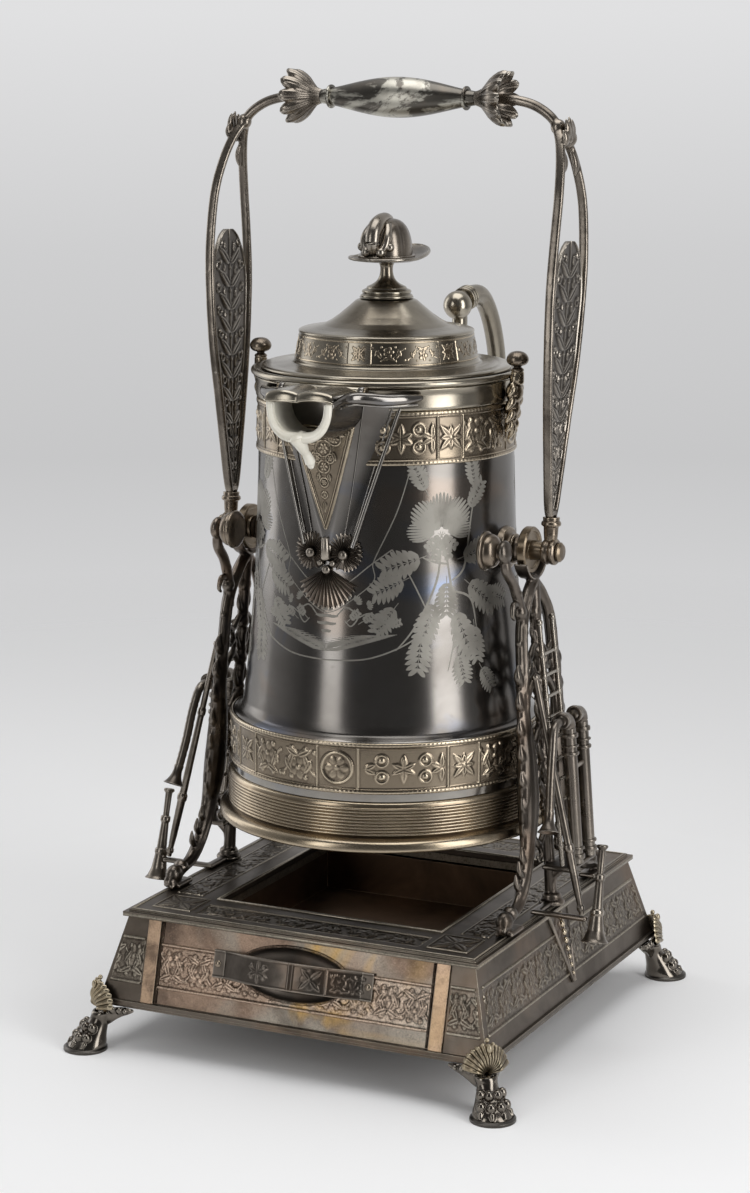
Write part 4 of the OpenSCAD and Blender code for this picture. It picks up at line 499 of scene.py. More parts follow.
# %% Glaze and grip finishes
def glaze():
    f = Finish("white_glaze")
    cracks = f.node("ShaderNodeTexVoronoi", {"feature": "DISTANCE_TO_EDGE"},
        {"Vector": f.place, "Scale": 220.0}).between(0.0, 0.03)
    colour = f.mix(f.noise(30, 3).between(0.4, 0.7), (0.80, 0.77, 0.68), (0.72, 0.68, 0.57))
    colour = f.mix((1 - cracks) * 0.12, colour, (0.5, 0.44, 0.34))
    return f.done(colour, 0.12 + f.noise(200, 2) * 0.06, metallic=0.0, coat=0.6)


def patchy():
    f = Finish("patchy_plate")
    patches = f.noise(34, 6, stretch=(0.5, 1, 1), rough=0.7, warp=0.6).between(0.5, 0.54)
    colour = f.mix(patches, (0.13, 0.12, 0.105), (0.5, 0.48, 0.42))
    colour = f.mix(f.noise(120, 4).between(0.5, 0.75) * 0.6, colour, (0.2, 0.17, 0.14))
    rough = 0.24 + patches * 0.1 + f.noise(60, 2) * 0.1
    return f.done(colour, rough, f.bump(patches + f.noise(700, 2) * 0.3, 0.03, 0.6))


GLAZE, PATCHY_PLATE = glaze(), patchy()
print("finishes:", len(bpy.data.materials))

# %% [markdown]
# ## Ornament as height
# The embossed strips were rolled from steel dies. A strip is a grid of points whose height comes from a
# few stamped shapes: domes, rings, leaves and stems. The higher of two shapes wins, as in a die.

# %% Die shapes
def dome(u, v, cu, cv, ru, rv=None, power=0.6):
    d = ((u - cu) / ru) ** 2 + ((v - cv) / (rv or ru)) ** 2
    return np.clip(1 - d, 0, 1) ** power


def ring(u, v, cu, cv, radius, wide):
    return np.clip(1 - (np.abs(np.hypot(u - cu, v - cv) - radius) / wide) ** 2, 0, 1) ** 0.6


def ridge(distance, wide):
    return np.clip(1 - (np.abs(distance) / wide) ** 2, 0, 1) ** 0.6


def leaf(u, v, cu, cv, degrees, long, wide):
    """A leaf with a sunk midrib, growing from a point in some direction."""
    a = radians(degrees)
    t = ((u - cu) * cos(a) + (v - cv) * sin(a)) / long
    s = -(u - cu) * sin(a) + (v - cv) * cos(a)
    half = wide * np.sin(np.pi * np.clip(t, 0, 1) ** 0.75) + 1e-6
    body = np.clip(1 - (s / half) ** 2, 0, 1) ** 0.5 * ((t > 0) & (t < 1))
    return body * (1 - 0.55 * np.exp(-(s / (0.16 * wide)) ** 2))


def blossom(u, v, cu, cv, radius, petals=5, turned_by=0.0):
    """A flower of round petals with a pearl in the middle."""
    d, a = np.hypot(u - cu, v - cv), np.arctan2(v - cv, u - cu) + turned_by
    edge = radius * (0.68 + 0.32 * np.abs(np.cos(a * petals / 2)))
    petal = np.clip(1 - (d / edge) ** 2, 0, 1) ** 0.5 * (0.45 + 0.5 * np.clip(d / radius, 0, 1))
    return np.maximum(petal * (0.75 + 0.25 * np.abs(np.cos(a * petals / 2))),
        dome(u, v, cu, cv, radius * 0.3))


def flower_strip(u, v, high, pitch):
    """Blossoms on a waving stem with leaves and seeds, along u, for a strip from v = 0 to v = high."""
    k = np.floor(u / pitch)
    w = u - k * pitch
    flip = np.where(k % 2 == 0, 1.0, -1.0)
    vm = (v - high / 2) * flip
    h = blossom(w, vm, pitch * 0.5, high * 0.1, high * 0.3)
    stem = vm - high * 0.26 * np.sin(2 * np.pi * (w / pitch + 0.25))
    h = np.maximum(h, 0.45 * ridge(stem, high * 0.045))
    for at, up, angle, long in [(0.12, -0.1, 62, 0.4), (0.2, 0.12, -68, 0.42), (0.86, -0.1, 118, 0.4),
            (0.8, 0.12, 248, 0.42), (0.5, -0.18, 205, 0.4), (0.5, -0.18, -25, 0.4)]:
        h = np.maximum(h, 0.8 * leaf(w, vm, at * pitch, up * high, angle, long * high, high * 0.1))
    for at, up in [(0.04, 0.3), (0.96, -0.3), (0.3, 0.34), (0.7, 0.34), (0.3, -0.34), (0.7, -0.34)]:
        h = np.maximum(h, 0.7 * dome(w, vm, at * pitch, up * high, high * 0.07))
    return h


def band_pattern(u, v, high, unit):
    """The pitcher's bands: medallion, bosses among leaves, square rosette and a running stem."""
    w, c = np.mod(u, unit), high / 2
    s = unit / 150.0
    h = np.zeros_like(w)
    # medallion tile
    mid = 13 * s
    h = np.maximum(h, 0.9 * ring(w, v, mid, c, high * 0.37, high * 0.045))
    h = np.maximum(h, 0.8 * blossom(w, v, mid, c, high * 0.3, 6))
    for edge in (0.5, 26, 80, 101):
        h = np.maximum(h, 0.6 * ridge(w - edge * s, 0.7))
    # bosses among leaves
    for x in (40, 66):
        for y in (-0.2, 0.2):
            h = np.maximum(h, 1.25 * dome(w, v, x * s, c + y * high, high * 0.085))
            h = np.maximum(h, 0.5 * ring(w, v, x * s, c + y * high, high * 0.14, high * 0.03))
    for x, turn_by in ((30, 1), (53, 1), (53, -1), (76, -1)):
        for angle in (25, 90, 155, 205, 270, 335):
            reach = high * (0.36 if angle in (90, 270) else 0.3)
            if (angle < 90 or angle > 270) and turn_by > 0 or (90 <= angle <= 270) and turn_by < 0:
                h = np.maximum(h, 0.7 * leaf(w, v, x * s, c, angle, reach, high * 0.085))
    # square rosette
    for angle in range(0, 360, 45):
        long = high * (0.4 if angle % 90 else 0.28)
        h = np.maximum(h, 0.8 * leaf(w, v, 90.5 * s, c, angle, long, high * 0.09))
    h = np.maximum(h, dome(w, v, 90.5 * s, c, high * 0.08))
    # running stem
    inside = (w > 101 * s) & (w < unit)
    h = np.where(inside, np.maximum(h, flower_strip(w - 101 * s, v, high, 24.5 * s)), h)
    return h


print("die shapes:", [form.__name__ for form in (dome, ring, ridge, leaf, blossom)])

# %% [markdown]
# ## The pitcher's body
# The body is one spun sheet: straight where the lower band sits, a small step, then a wall that draws
# in towards the neck. Turning an outline gives it exactly. It keeps its inner wall, because the lid
# opens, and the hole behind the spout is cut with a Boolean.

# %% Body measures
BAND_R, SHOULDER_Z, RIM_Z = 95.2, 202.6, 409.2
AXIS_Z = 305.0
PIN_Y, PIN_Z = -86.6, 406.6
SHIELD_TOP, SHIELD_LONG = 400.0, 88.0


def body_r(z):
    return 76 + 13.3 * np.exp(-(np.asarray(z, float) - SHOULDER_Z) / 85)


def on_wall(s, z, lift=0.0):
    """A point on the wall, s millimetres round from the front towards the right."""
    a = np.asarray(s, float) / 84.0
    r = body_r(z) + lift
    return np.stack([r * np.sin(a), -r * np.cos(a), np.broadcast_to(z, a.shape)], axis=-1)


def cut_with(mesh, tool_shape):
    """A mesh with another closed shape taken out of it."""
    block, tool = add_object("block", mesh), add_object("tool", mesh_of("tool", tool_shape))
    saw = block.modifiers.new("saw", "BOOLEAN")
    saw.operation, saw.solver, saw.object = "DIFFERENCE", "EXACT", tool
    result = evaluated(block)
    bpy.data.objects.remove(block)
    bpy.data.objects.remove(tool)
    return result


def passage():
    """The way for the water through the wall, under the rim."""
    rows = [[[-14, y, 399.6], [14, y, 399.6], [9, y, 390], [0, y, 385], [-9, y, 390]] for y in (-58, -92)]
    return closed_net(rows)


wall = [[BAND_R, 162.8], [BAND_R, 180], [BAND_R, 196.4], [94.6, 198.6], [93.4, 199.6], [91.9, 200.2],
    [90.4, 201.2]]
wall += [[float(body_r(z)), z] for z in np.linspace(SHOULDER_Z, 405.4, 44)]
inner = [[r - 1.4, z] for r, z in reversed(wall)]
body_mesh = mesh_of("silver_wall", lathe(wall + inner, 256))
settle("silver_wall", cut_with(body_mesh, passage()), DARK_PLATE, "pitcher", ["outer_body"],
    30)

liner = [[0, 153.6], [58, 153.6], [66, 156.6], [70, 165.6], [70, 260], [70, 399.4], [74.9, 402.4],
    [75.1, 403.4], [74, 403.6], [69, 403.6], [67, 400.6], [67, 260], [67, 166.6], [64, 159.6], [57, 156.6],
    [0, 156.6]]
liner_mesh = mesh_of("china_liner", lathe(rounded(liner, 1.6, closed=False), 128))
settle("china_liner", cut_with(liner_mesh, passage()), GLAZE, "pitcher", ["inner_liner"], 30)

# %% [markdown]
# ## Reeded foot and embossed bands
# The foot ring was turned with nine fine reeds, so its outline carries nine small rounds. The two bands
# are grids bent round the wall: their height comes from the dies, and the grid closes behind.

# %% Foot ring and bands
reeds, reed_low, reed_high = 9, 142.2, 159.8
foot = [[98.4, 133.7], [103.2, 133.6], [103.9, 134.2], [104, 135.2], [103.8, 137], [103.2, 138.6],
    [102, 139.8], [100, 140.6], [98.4, 141.0], [97.6, 141.6]]
step = (reed_high - reed_low) / reeds
for k in range(reeds):
    foot += [[97.7 + 0.85 * sin(pi * t), reed_low + step * (k + t)] for t in (0.04, 0.2, 0.38, 0.5, 0.62, 0.8,
        0.96)]
foot += [[97.6, 160.2], [97.2, 161.4], [96.4, 162.4], [94.6, 162.6], [94.4, 143.6], [96.4, 135.6]]
piece("reeded_foot", lathe(foot, 256), GOLDEN_PLATE, "pitcher", "tarnished_plate", ["foot_ring"], 50)


def embossed_band(radius, low, high, sides, start, end, unit_count, deep, rope):
    """A closed band between two heights and two bearings, with beaded borders."""
    whole = end - start >= 359.9
    bearings = np.radians(np.linspace(start, end, sides, endpoint=not whole))
    tall, mid_r = high - low, radius(0.5 * (low + high))
    v = np.linspace(0, tall, int(tall / 0.5) + 1)
    u, vv = grid(bearings * mid_r, v)
    field = band_pattern(u, vv - 3.0, tall - 6.0, 2 * pi * mid_r / unit_count)
    field = field * ((vv > 3.2) & (vv < tall - 3.2))
    for centre in (1.3, tall - 1.3):
        field = np.maximum(field, rope * ridge(vv - centre, 1.25) * (0.9 + 0.1 * np.cos(u * 2.4)))
    for centre in (2.9, tall - 2.9):
        field = np.maximum(field, 0.55 * ridge(vv - centre, 0.45))
    r = np.array([radius(low + x) for x in v])[None, :] + 1.0 + field * deep
    rows = np.zeros((len(bearings), len(v) + 2, 3))
    rows[:, 1:-1, 0], rows[:, 1:-1, 1] = r * np.sin(bearings)[:, None], -r * np.cos(bearings)[:, None]
    rows[:, 1:-1, 2] = low + v
    for col, z in ((0, low), (-1, high)):
        back_r = radius(z) + 0.2
        rows[:, col] = np.stack([back_r * np.sin(bearings), -back_r * np.cos(bearings),
            np.full(len(bearings), z)], axis=1)
    return net(rows, round_u=whole, round_v=True, caps=not whole)


piece("lower_scroll_band", embossed_band(lambda z: BAND_R, 167.6, 198.6, 1200, 0, 360, 4, 0.95, 0.8),
    BAND_PLATE, "pitcher", "tarnished_plate", ["lower_band"], 60)
piece("upper_scroll_band", embossed_band(lambda z: float(body_r(z)), 361.6, 393.2, 880, 17, 343, 4, 0.9, 0.7),
    BAND_PLATE, "pitcher", "tarnished_plate", ["upper_band"], 60)

# %% [markdown]
# ## The rim
# A flared neck ends in a roll that stiffens the sheet, with a ledge inside on which the lid lies. Below
# the spout the neck is left open, so it is an arc there, and the roll above it runs all the way round.

# %% Rim roll and neck
roll = [[80.3 + 2.1 * cos(radians(a)), RIM_Z + 2.1 * sin(radians(a))] for a in range(-110, 131, 20)]
roll += [[76.7, 410.2], [76.7, 410.0], [71, 410.0], [71, 408.9], [77.2, 406.4], [78.4, 405.2]]
neck = [[78.0, 393.4], [79.2, 394.2], [79.5, 396.4], [79.2, 399.2], [79.0, 402.0], [79.4, 404.6],
    [79.9, 406.2], [78.0, 406.0], [77.0, 402], [77.2, 398]]
neck_points = []
for a in np.radians(np.linspace(16, 344, 220)):
    neck_points.append([[r * sin(a), -r * cos(a), z] for r, z in curve(neck + neck[:1], 3)[:-1]])
piece("rolled_neck", join(lathe(roll, 256), closed_net(neck_points)), LID_PLATE, "pitcher", "silver_plate",
    ["rim_ring"], 45)

# %% [markdown]
# ## Engraving on the wall
# The engraver cut sprays of flowers as rows of fine bright strokes, on a wall polished dark. A stroke is
# a narrow ribbon that lies 0.05 mm over the wall. A leaf is two rows of strokes beside a bare midrib,
# and a petal is a fan of strokes, which is how the graver works too.

# %% Strokes, leaves and petals
strokes = []


def stroke(path, half, steps=4):
    """A ribbon along points (s, z), as wide as the graver was pressed."""
    line = curve(path, steps)
    width = np.interp(shares(len(line)), shares(len(half)), half)
    d = np.gradient(line, axis=0)
    d /= np.linalg.norm(d, axis=1)[:, None] + 1e-9
    n = np.stack([-d[:, 1], d[:, 0]], axis=1) * width[:, None]
    rows = [on_wall((line + n * k)[:, 0], (line + n * k)[:, 1], 0.07) for k in (-1, 0, 1)]
    strokes.append(net(np.stack(rows, axis=1)))


def leaf_spray(s, z, degrees, long, wide, pairs=6):
    """A leaf whose veins are left dark between broad strokes."""
    a = radians(degrees)
    t_dir, s_dir = np.array([cos(a), sin(a)]), np.array([-sin(a), cos(a)])
    root = np.array([s, z])
    for k in range(pairs):
        f = (k + 0.6) / (pairs + 0.5)
        reach = wide * sin(pi * min(1, f * 0.82 + 0.12)) ** 0.7
        span = long / pairs * 0.43
        for side in (-1, 1):
            start = root + t_dir * long * f + s_dir * side * 0.35
            end = start + s_dir * side * reach + t_dir * long * 0.2
            stroke([start, (start + end) / 2 + t_dir * long * 0.01, end], [0.3, span, span, span * 0.8, 0.15])
    stroke([root - t_dir * 3, root + t_dir * long * 0.5, root + t_dir * long], [0.22, 0.25, 0.12])


def petal_spray(s, z, degrees, reach, spread, rays=7, start=0.22):
    """A petal as a fan of strokes."""
    for k in range(rays):
        f = (k + 0.5) / rays * 2 - 1
        a = radians(degrees + f * spread)
        tip = reach * (1 - 0.16 * f * f)
        gap = tip * radians(spread) / rays
        d = np.array([cos(a), sin(a)])
        bend = np.array([-d[1], d[0]]) * f * reach * 0.08
        base = np.array([s, z])
        stroke([base + d * reach * start, base + d * tip * 0.65 + bend, base + d * tip],
            [gap * 0.22, gap * 0.7, gap * 0.86, gap * 0.8, gap * 0.3])


def flower_spray(s, z, side, big=1.0):
    """One blossom with buds, leaves and crossing stems; side is 1 to lean right, -1 to lean left."""
    def at(x, y):
        return s + side * x * big, z + y * big

    def aim(degrees):
        return degrees if side > 0 else 180 - degrees

    for degrees, reach, spread in [(88, 23, 26), (40, 25, 24), (140, 24, 24), (2, 22, 18), (180, 23, 18)]:
        petal_spray(*at(0, 0), aim(degrees), reach * big, spread, 8)
    for degrees, reach in [(115, 14), (65, 14), (25, 13), (155, 13)]:
        petal_spray(*at(0, 1), aim(degrees), reach * big, 22, 6, 0.1)
    petal_spray(*at(0, 2), aim(90), 8 * big, 80, 9, 0.1)
    for degrees, long in [(215, 13), (250, 15), (290, 15), (325, 13)]:
        leaf_spray(*at(0, -3), aim(degrees), long * big, 3.2 * big, 4)
    for x, y, degrees, long, wide in [(-13, -15, 196, 27, 9), (14, -17, 12, 24, 8), (18, -32, -38, 28, 9),
            (-5, -42, 248, 26, 8), (8, -48, -68, 30, 9), (22, -58, -86, 22, 7), (20, 12, 50, 20, 6),
            (26, 24, 100, 18, 6), (-24, -28, 204, 22, 8), (3, -30, -92, 21, 8), (-14, -60, 262, 24, 8),
            (28, -14, -8, 20, 8), (10, -74, -80, 18, 7), (-10, 24, 118, 18, 6), (34, -40, -20, 20, 8),
            (-30, -44, 232, 20, 7), (26, -84, -60, 16, 6)]:
        leaf_spray(*at(x, y), aim(degrees), long * big, wide * big, 7)
    for line in ([(0, -6), (-4, -30), (-18, -56), (-30, -70)], [(2, -8), (6, -34), (8, -60), (2, -84)],
            [(7, -30), (16, -22), (22, 6), (27, 26)], [(4, -20), (-6, -18), (-13, -15)],
            [(6, -36), (20, -42), (24, -60)]):
        stroke([at(x, y) for x, y in line], [0.5, 0.75, 0.6, 0.3], 8)

# %% [markdown]
# The wall carries a large spray at each side of the spout and a quieter one at each side of the handle.
# Under the spout is a fan-shaped field. The picture that stood in it is left off; a footed vase with
# flowers and two scrolls, drawn anew, takes its place at the same scale.

# %% Engrave the wall
for side in (1, -1):
    flower_spray(side * 73, 322, side, 1.0)
    flower_spray(side * 190, 318, -side, 0.92)
    # the fan-shaped field
    for line, half in [([(0, 284), (14, 292), (28, 303), (41, 312)], 0.35),
            ([(41, 312), (52, 296), (66, 268)], 0.42), ([(66, 268), (50, 256), (26, 247), (0, 245)], 0.45)]:
        stroke([(side * x, y) for x, y in line], [half, half], 10)
    # the line that follows the spout's edge
    stroke([(side * 64, 357), (side * 52, 357)], [0.35, 0.35], 6)
    stroke([(side * 52, 357), (side * 44, 334), (side * 31, 308), (side * 29, 302)], [0.35, 0.35], 8)
    stroke([(side * 29, 302), (side * 30, 294), (side * 22, 286), (side * 8, 276), (0, 273)], [0.3, 0.3], 8)
    # vase with flowers, scrolls and a hatched ground
    for k, (x, y) in enumerate([(3, 262.5), (6.4, 267), (7.6, 271.5), (4, 275.5), (6.2, 278)]):
        stroke([(0, y), (side * x * 0.6, y - 0.3), (side * x, y + 0.2)], [0.9, 0.9, 0.4])
    for k in range(4):
        petal_spray(side * (4 + 7 * k), 283 - 1.6 * k, 90 - side * 24 * k, 6.5 - 0.6 * k, 50, 6)
    stroke([(side * 7, 272), (side * 13, 277), (side * 20, 272), (side * 16, 266), (side * 12, 269)],
        [0.4, 0.5, 0.3], 6)
    stroke([(side * 20, 271), (side * 28, 274), (side * 36, 268), (side * 31, 263), (side * 28, 266)],
        [0.4, 0.5, 0.3], 6)
    for k in range(4):
        leaf_spray(side * (15 + 8 * k), 270 - k, 90 - side * (50 + 8 * k), 8, 2.4, 4)
    for k in range(26):
        y, x = 261 - 0.42 * k, 44 - 1.4 * k
        stroke([(side * (x - 9 - (k * 7) % 5), y), (side * x, y + 0.5)], [0.12, 0.26, 0.12], 3)
        stroke([(side * max(0, x - 22 - (k * 5) % 9), y - 0.1), (side * (x - 11), y)], [0.12, 0.24, 0.12], 3)
print("strokes cut:", len(strokes))
piece("wall_engraving", join(*strokes), ENGRAVING, "pitcher", "silver_plate", (), 60, outward=False)

# %% [markdown]
# ## The spout
# The spout is a three-sided shield soldered to the wall, with a trough-shaped beak growing out of it. The
# shield is a net of sections from the rim down to its point. The beak is a row of deep U sections, and a
# closed shell of the same sections, a little smaller, is its white lining.

# %% Shield
def shield_front(t):
    """Where the shield's face stands, t from 0 at its top to 1 at its point."""
    return -86.9 + 5.0 * t


def shield_section(z, side):
    """Points from the middle out to the wall at a height, on one side."""
    t = (SHIELD_TOP - z) / SHIELD_LONG
    wide = 44 - 27 * t
    fold = 21.5 * (1 - t) ** 0.85 + 0.6
    front = shield_front(t)
    root = -sqrt(max(1, float(body_r(z)) ** 2 - wide ** 2)) + 0.6
    dip = 1.6 * sin(pi * min(1, max(0, t)))
    return [[side * x, y, z] for x, y in [(0, front), (fold * 0.5, front), (fold - 1.2, front),
        (fold, front + 0.4), (fold + 1, front + 1.2), (fold + (wide - fold) * 0.33,
        front + (root - front) * 0.33 + dip), (fold + (wide - fold) * 0.7,
        front + (root - front) * 0.7 + dip), (wide - 1.5, root - 2.0), (wide, root + 0.4)]]


rows = []
for z in np.linspace(400.2, 312.2, 40):
    right, left = shield_section(z, 1), shield_section(z, -1)
    back = [[w[0] * 0.96, w[1] + 2.2, z] for w in (right[-1], left[-1])]
    rows.append(left[::-1] + right[1:] + back)
shield = closed_net(rows)


def shield_line(fx, z0, z1, lift, radius, sides=10):
    """A moulding that follows the shield's face at a share of its width."""
    path = []
    for z in np.linspace(z0, z1, 24):
        section = np.array(shield_section(z, 1))
        x = section[-2, 0] * fx
        path.append([x, np.interp(x, section[:, 0], section[:, 1]) - lift, z])
    return tube(path, radius, sides)


mouldings = both(join(shield_line(0.985, 399.6, 313, 0.2, 1.5), shield_line(0.90, 399.6, 314, 0.1, 0.75),
    shield_line(0.60, 399.0, 316, 0.35, 0.5)))

# %% [markdown]
# The middle of the shield holds a sunk three-sided panel with fine embossed scrolls inside a double
# frame, narrow at the bottom. It is one more relief grid, laid on the shield's flat front.

# %% Embossed triangle
nu, nv = 90, 150
t, s = grid(shares(nv), np.linspace(-1, 1, nu))
half = 19.5 * (1 - t) ** 0.9 + 1.0
PANEL_TOP, PANEL_LONG = 385.5, 62
u, v = s * half, PANEL_TOP - PANEL_LONG * t
edge = np.minimum(half - np.abs(u), np.minimum(PANEL_TOP - v, PANEL_LONG))
field = 0.9 * ridge(edge - 0.9, 0.8) + 0.5 * ridge(edge - 2.6, 0.5)
inner_area = edge > 3.4
vines = np.zeros_like(u)
for cu, cv, radius in [(0, 372, 3.6), (-7.5, 378, 3.0), (7.5, 378, 3.0), (0, 361, 2.8), (-4.2, 366, 2.0),
        (4.2, 366, 2.0), (0, 351.5, 2.0), (0, 344, 1.4)]:
    vines = np.maximum(vines, blossom(u, v, cu, cv, radius, 6))
    vines = np.maximum(vines, 0.6 * ring(u, v, cu, cv, radius * 1.35, 0.45))
for cu, cv, degrees, long in [(-10.5, 381, 200, 4), (10.5, 381, -20, 4), (-4, 380, 250, 5), (4, 380, 290, 5),
        (-6, 370, 250, 6), (6, 370, 290, 6), (-3, 357, 260, 5), (3, 357, 280, 5), (0, 340, 270, 7)]:
    vines = np.maximum(vines, 0.8 * leaf(u, v, cu, cv, degrees, long, 1.5))
field = np.where(inner_area, np.maximum(field, vines), field)
front = shield_front((SHIELD_TOP - v) / SHIELD_LONG)
panel = np.stack([u, front - 0.15 - 0.85 * field, v], axis=-1)
skin = np.concatenate([panel[:, :1] + [0, 1.2, 0], panel, panel[:, -1:] + [0, 1.2, 0]], axis=1)
piece("spout_panel", closed_net(skin), BAND_PLATE, "pitcher", "silver_plate", (), 60)

# %% [markdown]
# ## Beak, lining and lip
# The same U runs from the lip back to the wall. A cast cornice sweeps from each corner of the lip back
# and sideways, like a swan's neck, and closes the shield's top edge under the rim.

# %% Beak and cornice
def u_section(y, half, deep, top, steps=28, power=0.72):
    out_points = []
    for a in np.linspace(0, pi, steps + 1):
        c, sn = cos(a), sin(a)
        out_points.append([half * copysign(abs(c) ** power, c), y, top - deep * abs(sn) ** 0.85])
    return np.array(out_points)


def trough(stations, wall_thick):
    """A closed U shell through stations (y, half width, depth, top)."""
    rings = []
    for y, half, deep, top in stations:
        outer = u_section(y, half, deep, top)
        inside = u_section(y, half - wall_thick, deep - wall_thick, top)
        rings.append(np.concatenate([outer, inside[::-1]]))
    return closed_net(rings)


beak_line = curve([[-80, 25.5, 24, 402.2], [-90, 23.6, 23.4, 402.0], [-102, 21.4, 22, 401.8],
    [-111, 20.2, 21.2, 401.7], [-115, 20.2, 21, 401.7]], 5)
beak = trough(beak_line, 1.5)
cornice = []
for side in (1, -1):
    path = curve([[20.4, -115.4, 401.0], [20.8, -108, 402.2], [21.6, -99, 403.2], [25, -92.5, 403.4],
        [31, -87.0, 402.6], [38, -80.6, 401.6], [46, -71.4, 401.4], [52.2, -61.6, 401.8]], 6)
    path[:, 0] *= side
    fat = np.interp(shares(len(path)), [0, 0.15, 0.4, 0.6, 0.85, 1], [1.5, 2.2, 3.1, 3.3, 2.9, 1.6])
    cornice.append(tube(path, fat, 18, [0, 0, 1], 1.15))
    path2 = path + np.array([0, 0, -3.6])
    cornice.append(tube(path2[8:-2], 0.9, 8))
lugs = both(join(turned([24.4, PIN_Y, PIN_Z], [28.0, PIN_Y, PIN_Z], sleeve(0, 2.8, 3, 0.5, closed=False), 28),
    box([24.6, -89.2, 401], [27.6, -84.2, 406])))
piece("spout_shell", join(shield, mouldings, beak, *cornice, lugs), DARK_PLATE, "pitcher", "silver_plate",
    ["spout_casing"], 42)

lining_line = curve([[-62, 24.0, 22.4, 400.6], [-80, 23.4, 22.0, 401.2], [-96, 20.8, 20.8, 401.5],
    [-110, 18.6, 19.4, 401.6], [-116.4, 18.4, 19.2, 401.6]], 5)
lining = trough(lining_line, 2.4)
lip_path = u_section(-116.0, 18.9, 19.9, 401.9, 48)
lip_path[:, 1] -= 0.9 * np.sin(np.linspace(0, pi, len(lip_path)))
lip_fat = 2.2 + 1.1 * np.sin(np.linspace(0, pi, len(lip_path))) ** 3
lip = tube(lip_path, lip_fat, 16, [0, 1, 0])
tongue = tube(curve([[-1, -116.6, 382.6], [0, -115.4, 379.4], [0.4, -111.6, 374.6], [0.6, -107.6, 370.6],
    [0.6, -103.8, 366.4], [0.8, -102.4, 362.6]], 6), np.interp(shares(31), [0, 0.2, 0.5, 0.8, 1],
    [6.2, 4.4, 2.6, 3.2, 1.4]), 16, [1, 0, 0], 1.0)
piece("china_spout", join(lining, lip, tongue), GLAZE, "pitcher", "white_glaze", ["spout_lining"], 60)

# %% [markdown]
# ## The flap and its pin
# A small hood lies over the beak and lifts on a pin when the pitcher pours. Its sheet is bent into two
# low waves with a fold between them, and its knuckle wraps the pin, so it rides on its own body.

# %% Flap
rows = []
for f in shares(34):
    line = []
    for q in np.linspace(-1, 1, 49):
        lobe = abs(sin(pi * (q + 0.06) / 1.06)) ** 0.7 if q > -0.06 else abs(sin(pi * (q + 0.06)
            / 0.94)) ** 0.7
        top, reach = 407.2 + 2.0 * lobe, -87.4 - 27.4 * min(1, f / 0.62)
        fall = max(0, (f - 0.62) / 0.38)
        low = 402.9 + (1.6 if q > 0 else 0.4) * lobe
        line.append([q * (22.6 - 2.0 * min(1, f / 0.62)) * (1 + 0.05 * fall),
            reach - 2.6 * sin(fall * pi / 2) - 1.4 * lobe * min(1, f),
            top + (low - top) * (1 - cos(fall * pi / 2))])
    line = np.array(line)
    rows.append(np.concatenate([line, line[::-1] - [0, -0.9 * min(1, max(0, (f - 0.5) / 0.2)), 0.9]]))
hood = closed_net(rows)
knuckle = turned([-24, PIN_Y, PIN_Z], [24, PIN_Y, PIN_Z], sleeve(1.55, 2.5, 48, 0.3), 28)
edge_bead = tube(rows[-1][:49], 0.7, 8)
piece("spout_hood", join(hood, knuckle, edge_bead), LID_PLATE, "flap", "silver_plate", ["spout_flap"], 50)

# %% [markdown]
# ## Three shells under the spout
# Where the shield ends, three ribbed shells are soldered over the joint. A shell is a fan: its radius ripples
# round the edge and every rib runs back to the hinge of the fan. They are cast, and with their studs and a
# bud they make one piece.

# %% Palmettes
def shell_fan(centre, degrees, reach, spread, ribs, thick=2.0):
    """A ribbed fan that lies on the wall: centre is (s, z)."""
    nr, na = 26, ribs * 8 + 1
    f, q = grid(np.linspace(0.06, 1, nr), np.linspace(-1, 1, na))
    a = np.radians(degrees + q * spread)
    rib = np.abs(np.cos(q * pi * ribs / 2))
    r = reach * f * (1 - 0.09 * rib * f - 0.12 * q * q * f)
    high = thick * (0.35 + 1.0 * f * (1.25 - f)) * (1 - 0.55 * rib) * (1 - 0.25 * q * q) + 0.3
    top = on_wall(centre[0] + r * np.cos(a), centre[1] + r * np.sin(a), high)
    low = on_wall(centre[0] + r * np.cos(a), centre[1] + r * np.sin(a), 0.0)
    skin = np.concatenate([low[:, :1], top, low[:, -1:]], axis=1)
    return closed_net(skin)


shells = [shell_fan((-11, 309), 100, 12.5, 172, 26, 2.6), shell_fan((11, 309), 80, 12.5, 172, 26, 2.6),
    shell_fan((0, 300), -90, 25, 62, 15, 2.8)]
studs = [ball([x, -float(body_r(z)) - 2.0, z], [r, 2.2, r]) for x, z,
    r in [(0, 312, 3.4), (-10.6, 308.4, 3.0), (10.6, 308.4, 3.0), (0, 299, 2.8), (-4, 303, 2.0),
    (4, 303, 2.0)]]
bud = tube([[0, -83.4, 318], [0, -83.0, 306]], [2.2, 3.0], 12)
piece("spout_leaf_shells", join(*shells, *studs, bud), DARK_CASTING, "pitcher", "dark_casting",
    ["spout_palmettes"], 60)

# %% [markdown]
# ## The lid
# A wide flange, a straight drum with an embossed strip, a shoulder and a cone up to a stepped collar:
# all turned, so one outline holds them. The drum's strip is a relief band like the two on the body.

